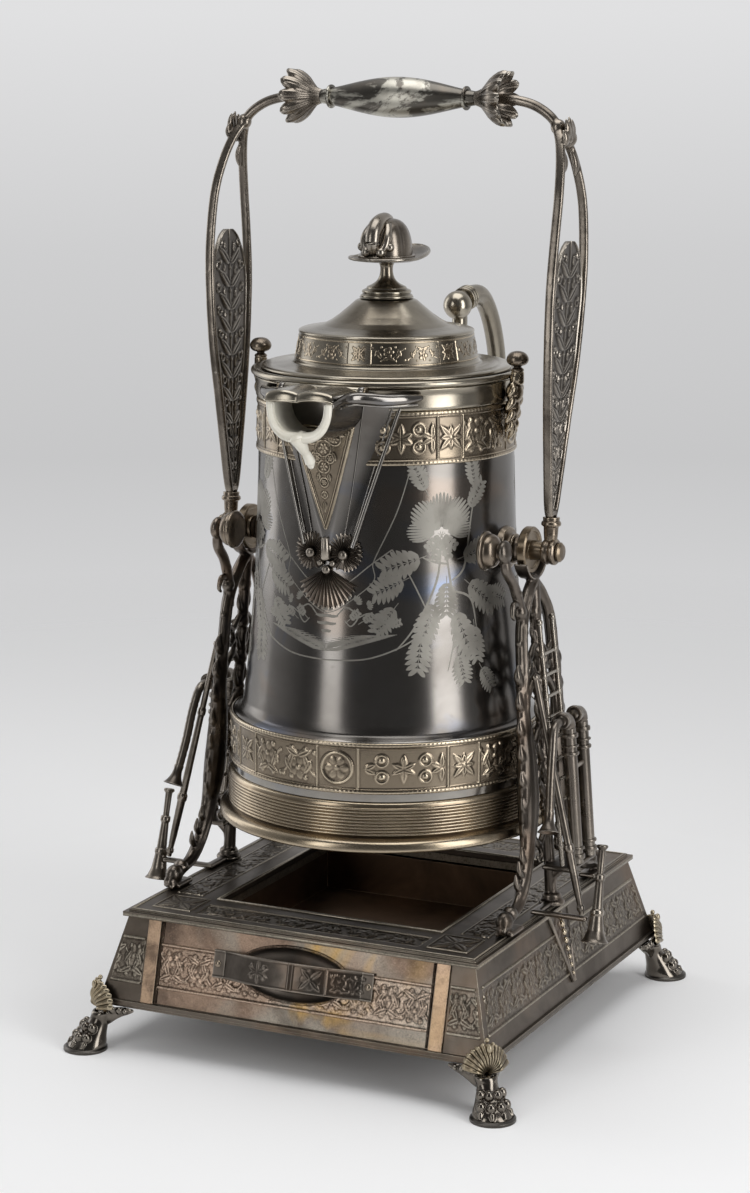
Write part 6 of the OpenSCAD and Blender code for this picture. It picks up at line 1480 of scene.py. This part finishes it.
trumpet = turned(mouth, bell,
    rounded(outline_on(horn_long, [(0, 0, 0.6), (2.4, 0, 0), (3.4, 0, 0.4), (3.6, 0, 1.6), (2.2, 0, 3.2),
    (2, 0.3, 0), (3.2, 0.31, 0), (3.2, 0.36, 0), (2.4, 0.38, 0), (3.2, 0.66, 0), (4.2, 0.67, 0),
    (4.2, 0.71, 0), (3.8, 0.73, 0), (5, 1, -7), (7, 1, -1.9), (8.2, 1, -0.7), (8.4, 1, -0.3), (8.2, 1, 0),
    (7, 1, -0.3), (5.4, 1, -2), (3.4, 1, -8), (0, 1, -10)]), 0.4, 2, False), 40)
pair(piece, "branch_pipe", "nozzle", branch, ROD_METAL, "stand", "dark_casting", sharp=40)
pair(piece, "speaking_trumpet", "trumpet", trumpet, ROD_METAL, "stand", "dark_casting", sharp=40)

# %% [markdown]
# ## The base
# The base is a square box of sheet metal whose walls lean out. Its plain sheets come straight from the
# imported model. What the model leaves out is rolled ornament, so each strip is a fine grid on a wall or
# on the top plate, lifted by the dies above and folded down to the sheet at its rim.

# %% Walls of the base
TOP_X, TOP_Y, TOP_Z, LOW_Z, FLARE = 115.4, 121.7, 82.0, 30.0, 14.0
WALL_LEAN = atan(FLARE / (TOP_Z - LOW_Z))
WALL_TURN = {"front": 0, "right": 90, "rear": 180, "left": 270}


def on_base(wall_name, u, up, out=0.0):
    """A point on a leaning wall: u across, up the slope from the lower edge, out from the face."""
    u, up, out = np.broadcast_arrays(np.asarray(u, float), up, out)
    half = (TOP_Y if wall_name in ("front", "rear") else TOP_X) + FLARE
    y = up * sin(WALL_LEAN) - half - out * cos(WALL_LEAN)
    z = LOW_Z + up * cos(WALL_LEAN) + out * sin(WALL_LEAN)
    return np.stack([u, y, z], axis=-1) @ np.array(turn("z", WALL_TURN[wall_name])).T


def up_to(z):
    """How far up the slope a height lies."""
    return (z - LOW_Z) / cos(WALL_LEAN)


def rolled(place, long, high, pattern, rise=0.9, fine=0.6, lift=0.12):
    """A rolled strip laid by place(u, v, height), with its rim folded down."""
    u, v = grid(np.linspace(0, long, int(long / fine)), np.linspace(0, high, int(high / fine)))
    h = lift + rise * pattern(u, v)
    h[[0, -1], :] = h[:, [0, -1]] = -0.2
    return net(place(u, v, h))


def edged(u, v, high, pitch):
    """Flowers on a stem between two fine raised lines."""
    lines = np.maximum(ridge(v - 1.0, 0.9), ridge(v - high + 1.0, 0.9))
    return np.maximum(lines, flower_strip(u, v - 2, high - 4, pitch))


STRIP_LOW, STRIP_HIGH = up_to(42.5), up_to(70.5) - up_to(42.5)
strips = []
for wall_name, half in (("right", TOP_Y), ("left", TOP_Y), ("rear", TOP_X)):
    wide = half + 5

    def side_strip(u, v, h, wall_name=wall_name, wide=wide):
        return on_base(wall_name, (u - wide) * (1 - 0.055 * v / STRIP_HIGH), STRIP_LOW + v, h)

    strips.append(rolled(side_strip, 2 * wide, STRIP_HIGH, lambda u, v: edged(u, v, STRIP_HIGH, 19.0), 1.0,
        0.6))


def corner_strip(u, v, h):
    """Between the copper strip and the corner of the front wall."""
    return on_base("front", 101.6 + u * (1 - 0.3 * v / STRIP_HIGH), STRIP_LOW + v, h)


corner_relief = rolled(corner_strip, 22, STRIP_HIGH, lambda u, v: edged(u, v, STRIP_HIGH, 17.0), 1.2, 0.45)
piece("wall_flower_strips", join(both(corner_relief), *strips), SHEET_RELIEF, "stand", "dark_sheet", (), 60,
    False)

# %% Ornament of the top plate
def rail(x, y, z, radius):
    """A raised line round a rectangle, with round corners."""
    corners = [[x, y, z], [-x, y, z], [-x, -y, z], [x, -y, z]]
    runs = [tube([corners[i], corners[(i + 1) % 4]], radius, 10, [0.1, 0.1, 1]) for i in range(4)]
    return join(*runs, *[ball(c, radius, 10) for c in corners])


def leafy(u, v, high):
    return np.maximum(flower_strip(u, v, high, 24.0), 0.5 * ridge(np.abs(v - high / 2) - high / 2 + 0.8, 0.8))


def corner_tile(u, v):
    h = np.maximum(0.9 * blossom(u, v, 13.5, 13.5, 6.5, 6),
        0.6 * ridge(np.maximum(abs(u - 13.5), abs(v - 13.5)) - 12.6, 0.7))
    for angle in (45, 135, 225, 315):
        h = np.maximum(h, 0.9 * leaf(u, v, 13.5, 13.5, angle, 17, 3.4))
        h = np.maximum(h, 0.6 * leaf(u, v, 13.5, 13.5, angle + 45, 11, 2.2))
    return h


front_run = rolled(lambda u, v, h: np.stack([u - 74, v - 112, h + 85.2], -1), 148, 18.6, lambda u,
    v: leafy(u, v, 18.6), 0.9, 0.55)
side_run = rolled(lambda u, v, h: np.stack([v + 87, u - 80, h + PLATE_TOP], -1), 160, 18.6, lambda u,
    v: leafy(u, v, 18.6), 0.7, 0.55)
tile = rolled(lambda u, v, h: np.stack([u + 78.6, v + 84.6, h + PLATE_TOP], -1), 27, 27, corner_tile, 0.7,
    0.5)
half_turn = turn("z", 180)
runs = [front_run, moved(front_run, half_turn), side_run, moved(side_run, half_turn), both(tile),
    moved(both(tile), half_turn)]
runs += [rail(117.2, 123.6, 83.2, 1.3), rail(113.6, 119.9, PLATE_TOP, 0.6), rail(75.4, 81.7, PLATE_TOP - 0.1,
    1.0)]
skirt = np.array([[[x, y, z] for x, y in ((e, f), (-e, f), (-e, -f), (e, -f))] for e, f,
    z in ((74.6, 80.9, 82.5), (74.6, 80.9, 77.4), (75.4, 81.7, 77.4), (75.4, 81.7, 82.5))])
runs.append(net(skirt, round_u=True, round_v=True))
piece("plate_ornament", join(*runs), SHEET_RELIEF, "stand", "dark_sheet", (), 60)

# %% [markdown]
# ## The drawer
# The drawer's front is worn through to copper. A strip of flowers crosses it between two lines and stops
# at the oval opening of the finger cup, where a small roll hides the cut. The pull is a bowed strap
# riveted at its ends, cut from stock rolled with bosses, leaves and a flower.

# %% Drawer front
CUP_UP, CUP_W, CUP_H = up_to(62.0), 36.5, 16.0


def ring_tube(points, radius, sides=10):
    """A round bar that closes on itself."""
    p = np.asarray(points, float)
    heading = np.roll(p, -1, 0) - np.roll(p, 1, 0)
    heading /= np.linalg.norm(heading, axis=1)[:, None]
    u = p - p.mean(0)
    u -= (u * heading).sum(1)[:, None] * heading
    u /= np.linalg.norm(u, axis=1)[:, None]
    v = np.cross(heading, u)
    a = circle(sides)
    rings = p[:, None] + radius * (np.cos(a)[None, :, None] * u[:, None] + np.sin(a)[None, :, None] * v[:,
        None])
    return net(rings, round_u=True, round_v=True)


def drawer_strip(u, v, h):
    return on_base("front", u - 90, STRIP_LOW - 0.6 + v, h)


points, faces = rolled(drawer_strip, 180, STRIP_HIGH - 1, lambda u, v: edged(u, v, STRIP_HIGH - 1, 18.0), 1.5,
    0.42)
middle = points[np.array(faces)].mean(axis=1)
cup_middle = on_base("front", 0, CUP_UP)
away = np.hypot(middle[:, 0] / CUP_W, (middle[:, 2] - cup_middle[2]) / (CUP_H * cos(WALL_LEAN)))
strip = (points, [face for face, d in zip(faces, away) if d > 1.0])
a = circle(72)
oval_rim = ring_tube(on_base("front", (CUP_W + 0.4) * np.cos(a), CUP_UP + (CUP_H + 0.4) * np.sin(a), 0.5),
    0.9)
edges = both(tube([on_base("front", 90.2, up_to(33.6), 0.2), on_base("front", 90.2, up_to(81), 0.2)], 0.8, 10,
    [0, 1, 0]))
piece("drawer_flower_strip", join(strip, oval_rim, edges), COPPER_RELIEF, "drawer", "worn_copper", (), 60,
    False)

# %% Finger bowl and strap
DISH = [[0, -8], [5, -7.8], [10, -6.6], [13.4, -4.4], [15.2, -1.4], [15.7, 0.3], [16.1, 0.3], [15.9, -2.2],
    [14.2, -5.6], [10.6, -8.1], [5, -9.0], [0, -9.1]]
dish, dish_faces = lathe(DISH, 72, False)
piece("finger_bowl", (on_base("front", dish[:, 0] * CUP_W / CUP_H, CUP_UP + dish[:, 1], dish[:, 2]),
    dish_faces), DARK_CASTING, "drawer", "tarnished_plate", ["finger_cup"])

STRAP_R, STRAP_MID, STRAP_H, FOOT_AT = 80.9, -67.3, 17.0, 44.6
half_angle = asin(FOOT_AT / STRAP_R)
arc = [(STRAP_R * sin(t), STRAP_MID + STRAP_R * cos(t), t) for t in np.linspace(-half_angle, half_angle, 230)]
strap_line = [(x, 0.2, 0.0) for x in np.linspace(-53, -45.4, 16)] + arc + [(x, 0.2, 0.0)
    for x in np.linspace(45.4, 53, 16)]
strap_line = np.array(strap_line)
length = np.concatenate([[0], np.cumsum(np.hypot(*np.diff(strap_line[:, :2], axis=0).T))])


def strap_pattern(s, v):
    """Bosses in leaves, a double bar, a square flower, and a run of flowers."""
    f = s / length[-1]
    h = 0.6 * np.maximum(ridge(v - 0.7, 0.7), ridge(v - STRAP_H + 0.7, 0.7))
    for at in (0.535, 0.555, 0.74):
        h = np.maximum(h, 0.8 * ridge(s - at * length[-1], 0.6))
    for x, y in ((34, 5.4), (34, 11.6), (43, 5.4), (43, 11.6)):
        h = np.maximum(h, 1.3 * dome(s, v, x, y, 1.7))
    for x, angle in ((38.5, 20), (38.5, 90), (38.5, 160), (38.5, 200), (38.5, 270), (38.5, 340)):
        h = np.maximum(h, 0.8 * leaf(s, v, x, 8.5, angle, 8, 1.6))
    square = blossom(s, v, 73, 8.5, 6.4, 4)
    for angle in (45, 135, 225, 315):
        square = np.maximum(square, leaf(s, v, 73, 8.5, angle, 9, 2))
    run = flower_strip(s - 0.76 * length[-1], v - 1.5, STRAP_H - 3, 10.5) * ((f > 0.76) & (f < 0.95))
    return np.maximum(h, np.maximum(square * (np.abs(s - 73) < 8.4), run))


across = np.linspace(0, STRAP_H, 44)
s_grid, v_grid = grid(length, across)
thick = 1.6 + 0.75 * strap_pattern(s_grid, v_grid)
thick[:, [0, -1]] = 1.3
x = strap_line[:, 0][:, None] + np.sin(strap_line[:, 2])[:, None] * thick
out = strap_line[:, 1][:, None] + np.cos(strap_line[:, 2])[:, None] * thick
face = on_base("front", x, CUP_UP + v_grid - STRAP_H / 2, out)
back = on_base("front", strap_line[:, :1] * [1, 1], CUP_UP + np.array([[8.5, -8.5]]),
    strap_line[:, 1:2] * [1, 1])
piece("bowed_strap", closed_net(np.concatenate([face, back], axis=1)), DARK_CASTING, "drawer", "dark_casting",
    ["strap_pull"], 60)

# %% [markdown]
# ## Beads and rivets
# Small round things repeat, so Geometry Nodes set one bead on every point of a list. Each point carries
# its own size and the way it faces, and a fixed seed lets the beads differ a little, as chased beads do.

# %% A node tree that sets beads on points
def bead_tree():
    tree = bpy.data.node_groups.new("set_beads", "GeometryNodeTree")
    plug = tree.interface.new_socket
    plug("Points", in_out="INPUT", socket_type="NodeSocketGeometry")
    ids = {name: plug(name, in_out="INPUT", socket_type=kind).identifier for name,
        kind in (("Sides", "NodeSocketInt"), ("Flatness", "NodeSocketFloat"),
        ("Finish", "NodeSocketMaterial"))}
    plug("Beads", in_out="OUTPUT", socket_type="NodeSocketGeometry")

    def add(kind, links=(), **settings):
        node = tree.nodes.new(kind)
        for key, value in settings.items():
            setattr(node, key, value)
        for socket, source in links:
            if isinstance(source, bpy.types.NodeSocket):
                tree.links.new(source, node.inputs[socket])
            else:
                node.inputs[socket].default_value = source
        return node

    given = add("NodeGroupInput").outputs
    size = add("GeometryNodeInputNamedAttribute", [("Name", "size")], data_type="FLOAT").outputs["Attribute"]
    facing = add("GeometryNodeInputNamedAttribute", [("Name", "facing")],
        data_type="FLOAT_VECTOR").outputs["Attribute"]
    differ = add("FunctionNodeRandomValue", [(2, 0.95), (3, 1.05), ("Seed", 11)],
        data_type="FLOAT").outputs[1]
    radius = add("ShaderNodeMath", [(0, size), (1, differ)], operation="MULTIPLY").outputs[0]
    height = add("ShaderNodeMath", [(0, radius), (1, given["Flatness"])], operation="MULTIPLY").outputs[0]
    scale = add("ShaderNodeCombineXYZ", [("X", radius), ("Y", radius), ("Z", height)]).outputs[0]
    spin = add("FunctionNodeAlignRotationToVector", [("Vector", facing)], axis="Z").outputs[0]
    ball_mesh = add("GeometryNodeMeshUVSphere", [("Segments", given["Sides"]), ("Rings", 8),
        ("Radius", 1.0)]).outputs["Mesh"]
    bead = add("GeometryNodeSetShadeSmooth", [("Geometry", ball_mesh)]).outputs[0]
    placed = add("GeometryNodeInstanceOnPoints", [("Points", given["Points"]), ("Instance", bead),
        ("Rotation", spin), ("Scale", scale)]).outputs[0]
    solid = add("GeometryNodeRealizeInstances", [("Geometry", placed)]).outputs[0]
    painted = add("GeometryNodeSetMaterial", [("Geometry", solid), ("Material", given["Finish"])]).outputs[0]
    add("NodeGroupOutput", [("Beads", painted)])
    return tree, ids


BEADS, BEAD_SOCKETS = bead_tree()


def bead_mesh(name, spots, flatness, finish, sides=16):
    """Beads on spots of (point, radius in millimetres, facing), as one mesh."""
    mesh = mesh_of(name, ([s[0] for s in spots], []), False)
    mesh.attributes.new("size", "FLOAT", "POINT").data.foreach_set("value", [s[1] * MM for s in spots])
    mesh.attributes.new("facing", "FLOAT_VECTOR", "POINT").data.foreach_set("vector",
        np.array([s[2] for s in spots], float).ravel())
    thing = add_object(name, mesh)
    setter = thing.modifiers.new("beads", "NODES")
    setter.node_group = BEADS
    for key, value in (("Sides", sides), ("Flatness", flatness), ("Finish", finish)):
        setter[BEAD_SOCKETS[key]] = value
    result = evaluated(thing)
    bpy.data.objects.remove(thing)
    return result


def facing(wall_name):
    return on_base(wall_name, 0, 0, 1) - on_base(wall_name, 0, 0, 0)

# %% Side drops and their beads
DROP_TOP, DROP_LONG = up_to(81.4), 45.0


def drop_plate(wall_name):
    """A pointed plate that narrows downwards, with raised edges and a leaf."""
    t, w = grid(shares(60), np.linspace(-1, 1, 40))
    half = 15 - 13.2 * t
    h = 1.3 + 0.9 * ridge((1 - np.abs(w)) * half - 1.0, 0.9) + 0.6 * ridge(half * np.abs(w) - 3.4 + 2.4 * t,
        0.6) * (t < 0.8)
    for side in (1, -1):
        for at in (3, 11, 19):
            h = np.maximum(h, 1.3 + 0.7 * leaf(half * w * side, DROP_LONG * t, 3.5, at, 35, 9.5 - 0.2 * at,
                1.8))
    h[[0, -1], :] = h[:, [0, -1]] = 0.9
    front = on_base(wall_name, w * half, DROP_TOP - DROP_LONG * t, h)
    rear = on_base(wall_name, [[1, -1]] * half[:, :1], DROP_TOP - DROP_LONG * t[:, :1] * [1, 1], 0.25)
    return closed_net(np.concatenate([front, rear], axis=1))


piece("side_pendants", join(drop_plate("right"), drop_plate("left")), DARK_CASTING, "stand",
    "tarnished_plate", ["side_drops"], 60)
string = [(on_base(w, 0, DROP_TOP - 3 - 5.2 * i, 1.7), 2.5 - 0.16 * i, facing(w)) for w in ("right", "left")
    for i in range(8)]
settle("pendant_beads", bead_mesh("pendant_beads", string, 0.9, BAND_PLATE), BAND_PLATE, "stand",
    (), 60)
heads = [(on_base("front", s * 50, CUP_UP, 1.9), 2.2, facing("front")) for s in (1, -1)]
settle("strap_rivets", bead_mesh("strap_rivets", heads, 0.5, WORN_BRASS, 24), WORN_BRASS, "drawer",
    ["pull_rivets"], 60)

# %% [markdown]
# ## Paw feet
# A cast foot stands at each corner. Its boot is one turned outline that leans in towards the box, with
# four toes of round knuckles and claws melted into it. A fan shell grows from the boot's open top and
# wraps the corner: it is a thin sheet over a polar grid, because its ribs are too fine to melt.

# %% Boots and toes
PAD_X, PAD_Y = 135.8, 142.1
BOOT = [[0, 1.2], [11.0, 1.2], [11.7, 2.6], [11.2, 4.6], [9.8, 7.6], [8.4, 11], [7.1, 14.5], [6.4, 17.5],
    [6.3, 19.6], [7.0, 22.2], [6.6, 23.4], [5.5, 23.0], [4.9, 20], [0, 19]]


def leant(points):
    """Points about the pad's own axis, leant in towards the box as they rise."""
    points = np.asarray(points, float)
    inward = np.interp(points[..., 2], [2.6, 8, 23], [0.6, 2.4, 8.4])
    return points + np.stack([PAD_X - inward, PAD_Y - inward, 0 * inward], axis=-1)


def over_diagonal(shape):
    """The same shape on the other side of the corner's diagonal."""
    return shape[0][:, [1, 0, 2]] + [PAD_X - PAD_Y, PAD_Y - PAD_X, 0], flipped(shape[1])


def boot():
    turned_boot, faces = lathe(curve(BOOT, 3), 40, False)
    lobes = [(leant(turned_boot), faces)]
    for angle in (-57, -19, 19, 57):
        way = np.array([cos(radians(45 + angle)), sin(radians(45 + angle)), 0])
        knuckle, toe, claw, tip = leant([way * 8.0 + [0, 0, 14.4], way * 9.3 + [0, 0, 8.8],
            way * 10.8 + [0, 0, 6.0], way * 11.9 + [0, 0, 3.2]])
        lobes += [ball(knuckle, [2.7, 2.7, 3.5], 18), ball(toe, [2.8, 2.8, 3.2], 18),
            tube([claw, tip], [1.9, 0.9], 12)]
    wing = tube(curve([[129, 135.4, 17], [122, 136.4, 21.4], [114, 136.6, 24.8], [105, 136.4, 26.6]], 5),
        np.interp(shares(16), [0, 0.3, 0.8, 1], [5.0, 4.8, 2.6, 0.9]), 14, [0, 1, 0], 0.5)
    lobes += [wing, over_diagonal(wing)]
    for x, size in ((119, 2.8), (114.2, 2.4), (110, 2.0)):
        scale = ball([x, 138.2, 26.0], [size * 0.8, 1.5, size * 0.9], 12)
        lobes += [scale, over_diagonal(scale)]
    return join(*lobes)


def four(shape):
    """The same shape at all four corners."""
    return both(join(shape, (shape[0] * [1, -1, 1], flipped(shape[1]))))


cast("paw_boots", four(boot()), 0.5, PAW_CASTING, "stand", "dark_casting",
    ["foot_front_left", "foot_front_right", "foot_rear_left", "foot_rear_right"], 1, 65)

# %% Fan shells over the corners
SHELL_RIBS, SHELL_LONG, SHELL_WIDE, SHELL_OFF, FOLD = 13, 19.0, 21.0, 7.4, 11.0
SHELL_ROOT = leant([0, 0, 23.4])


def out_at(z):
    return FLARE * (TOP_Z - z) / (TOP_Z - LOW_Z)


def shell_point(share, t, raised):
    """A point on the fan: share from -1 to 1 across it, t from the root to the rim, raised off it."""
    a = np.radians(78) * share
    rim_z = SHELL_ROOT[2] + SHELL_LONG * np.cos(a)
    aside = SHELL_WIDE * np.sin(a)
    x = TOP_X + out_at(rim_z) + SHELL_OFF - (np.hypot(aside, FOLD) - aside) / 2
    y = TOP_Y + out_at(rim_z) + SHELL_OFF - (np.hypot(aside, FOLD) + aside) / 2
    rim = np.stack([x, y, rim_z], axis=-1)
    belly = (7.4 * np.sin(np.pi * t) + 1.8 * np.clip(t - 0.8, 0, 1) / 0.2 + raised)[...,
        None] * np.array([0.66, 0.66, 0.1])
    return SHELL_ROOT + (rim - SHELL_ROOT) * t[..., None] + belly


def fan_shell():
    share, t = grid(np.linspace(-1, 1, SHELL_RIBS * 12 + 1), np.linspace(0.1, 1, 26))
    rib = np.abs(np.sin(np.pi * SHELL_RIBS * (share + 1) / 2)) ** 0.6
    scallop = 1 + 0.06 * (rib - 1) * np.clip(t - 0.7, 0, 1) / 0.3
    front = shell_point(share, t * scallop, rib * (0.5 + 1.1 * t))
    rear = shell_point(share, t * scallop, -1.3 + 0 * t)[:, ::-1]
    sheet = closed_net(np.concatenate([front, rear], axis=1))
    pearl = ball(shell_point(0.0, np.array(1.1), 0.6), 1.5, 14)
    drop = ball(shell_point(0.0, np.array(0.86), 1.5), [1.7, 1.7, 2.9], 14)
    buds = [ball(shell_point(s, np.array(1.0), 1.3), 1.2, 12) for s in (-0.16, 0.16)]
    return join(sheet, pearl, drop, *buds)


piece("knee_shells", four(fan_shell()), SHELL_CASTING, "stand", "dark_casting", (), 60)

# %% [markdown]
# ## Plain sheets and small fittings
# The remaining solids already have the right shape. They keep it and only get their finish.

# %% Finishes of the carried-over solids
CARRIED = {SHEET_PLATE: ["base_casing", "top_plate", "base_floor", "bottom_moulding", "drawer_runners",
    "body_bottom"], SHEET_COPPER: ["drawer_front"], STRIP_COPPER: ["front_strips"], TRAY_BROWN: ["drip_tray"],
    PAD_METAL: ["foot_pads"], PIN_BRASS: ["foot_screws", "upright_screws", "bearing_left", "bearing_right",
    "trunnion_pins", "bail_hubs", "lid_hinge_plate", "lid_hinge_pin", "flap_hinge_pin"],}
for finish, names in CARRIED.items():
    for name in names:
        solid = bpy.data.objects[name]
        for place in solid.material_slots:
            place.material = finish

# %% [markdown]
# ## Floor, light and camera
# The picture has a pale seamless ground and two tall soft lights, one on each side of the camera, that
# draw upright streaks down the pitcher. The floor fades out into the ground colour, and the ground is
# the same for what the metal reflects.

# %% The seamless ground
def ground():
    f = Finish("pale_ground")
    away = f.node("ShaderNodeVectorMath", {"operation": "LENGTH"}, {0: f.place}, out="Value")
    paper = f.node("ShaderNodeBsdfPrincipled", None, {"Base Color": f.mix(f.noise(3, 2), (0.93, 0.93, 0.935),
        (0.95, 0.95, 0.955)), "Roughness": 0.75 + f.noise(8, 2) * 0.1})
    clear = f.node("ShaderNodeBsdfTransparent")
    both_ways = f.node("ShaderNodeMixShader", None, {0: away.between(0.45, 1.5), 1: paper, 2: clear})
    f.node("ShaderNodeOutputMaterial", None, {"Surface": both_ways})
    return f.holder


disc, disc_faces = net([[[r * cos(a), r * sin(a), 0] for a in circle(64)] for r in (0.02, 0.5, 1.0, 1.8)],
    round_v=True)
floor_mesh = bpy.data.meshes.new("ground")
floor_mesh.from_pydata(disc.tolist(), [], [tuple(range(64))] + disc_faces)
floor_mesh.materials.append(ground())
floor = add_object("ground", floor_mesh)

# %% [markdown]
# ## The room
# What the camera and the metal see behind the object is a pale grey with a slow band of shade in it. The
# metal sees a dark room on the camera's side, which is what makes old plate look deep, and the dull
# surfaces take one quiet level from all round, so that the soft lamps do the shaping.

# %% World, lamps and camera
ROOM_LEVEL, DARK_SIDE = 0.36, 0.14
sky = Finish("studio", bpy.data.worlds.new("studio"))
bpy.context.scene.world = sky.holder
way = sky.node("ShaderNodeTexCoord", out="Generated")
height = sky.node("ShaderNodeSeparateXYZ", None, {0: way}, out="Z")
level = sky.node("ShaderNodeMath", {"operation": "MULTIPLY_ADD"}, {0: height, 1: 0.5, 2: 0.5})
wall_shade = sky.node("ShaderNodeValToRGB", None, {0: level})
ramp = wall_shade.socket.node.color_ramp
for at, grey in ((0.305, 0.88), (0.3765, 0.72), (0.426, 0.57), (0.46, 0.62), (0.5, 0.75), (0.7, 0.55)):
    ramp.elements.new(at).color = (grey, grey, grey * 1.01, 1)
for end in (0, -1):
    ramp.elements.remove(ramp.elements[end])
facing_away = sky.node("ShaderNodeVectorMath", {"operation": "DOT_PRODUCT"}, {0: way, 1: (-0.435, 0.9, 0)},
    out="Value")
depth = sky.node("ShaderNodeMapRange", None, {"Value": facing_away, "From Min": -0.35, "From Max": 0.5,
    "To Min": DARK_SIDE, "To Max": 1.0})
camera_ray, glossy_ray, passing_ray = (sky.node("ShaderNodeLightPath", out=f"Is {kind} Ray")
    for kind in ("Camera", "Glossy", "Transmission"))
sees_room = sky.maths("ADD", sky.maths("ADD", camera_ray, glossy_ray, True), passing_ray, True)
room = sky.mix(glossy_ray, wall_shade, depth, "MULTIPLY")
light = sky.node("ShaderNodeBackground", None, {0: sky.mix(sees_room, (ROOM_LEVEL,) * 3, room)})
sky.node("ShaderNodeOutputWorld", None, {0: light})


def lamp(name, bearing, distance, height, width, tall, radiance, tilt=0.0):
    """A soft lamp; bearing is counted from the front towards the right-hand side."""
    light = bpy.data.lights.new(name, "AREA")
    light.shape, light.size, light.size_y = "RECTANGLE", width, tall
    light.energy = radiance * pi * width * tall
    thing = add_object(name, light)
    a = radians(bearing)
    thing.location = (distance * sin(a), -distance * cos(a), height)
    thing.rotation_euler = (radians(90 - tilt), 0, a)
    print(f"lamp {name}: {light.energy:.1f} W")


lamp("right_lamp", 73, 1.25, 0.72, 0.50, 1.40, 4.4)
lamp("left_lamp", -18, 1.35, 0.62, 0.36, 1.10, 2.6)
lamp("far_left_lamp", -95, 1.3, 0.7, 0.5, 1.2, 1.5)
lamp("top_lamp", 0, 0.05, 1.75, 1.3, 1.3, 2.3, tilt=90)

camera = add_object("camera", bpy.data.cameras.new("camera"))
camera.location = (0.7625, -1.5941 - MIDDLE_Y * MM, 0.6218)
camera.rotation_euler = (radians(78.68), 0, radians(25.79))
camera.data.lens = 88.1
bpy.context.scene.camera = camera
bpy.context.scene.view_settings.view_transform = "Standard"

# %% [markdown]
# ## Last measurements
# The triangles of the made pieces are counted and printed.

# %% Finish
print("triangles in made pieces:", sum(made.values()))
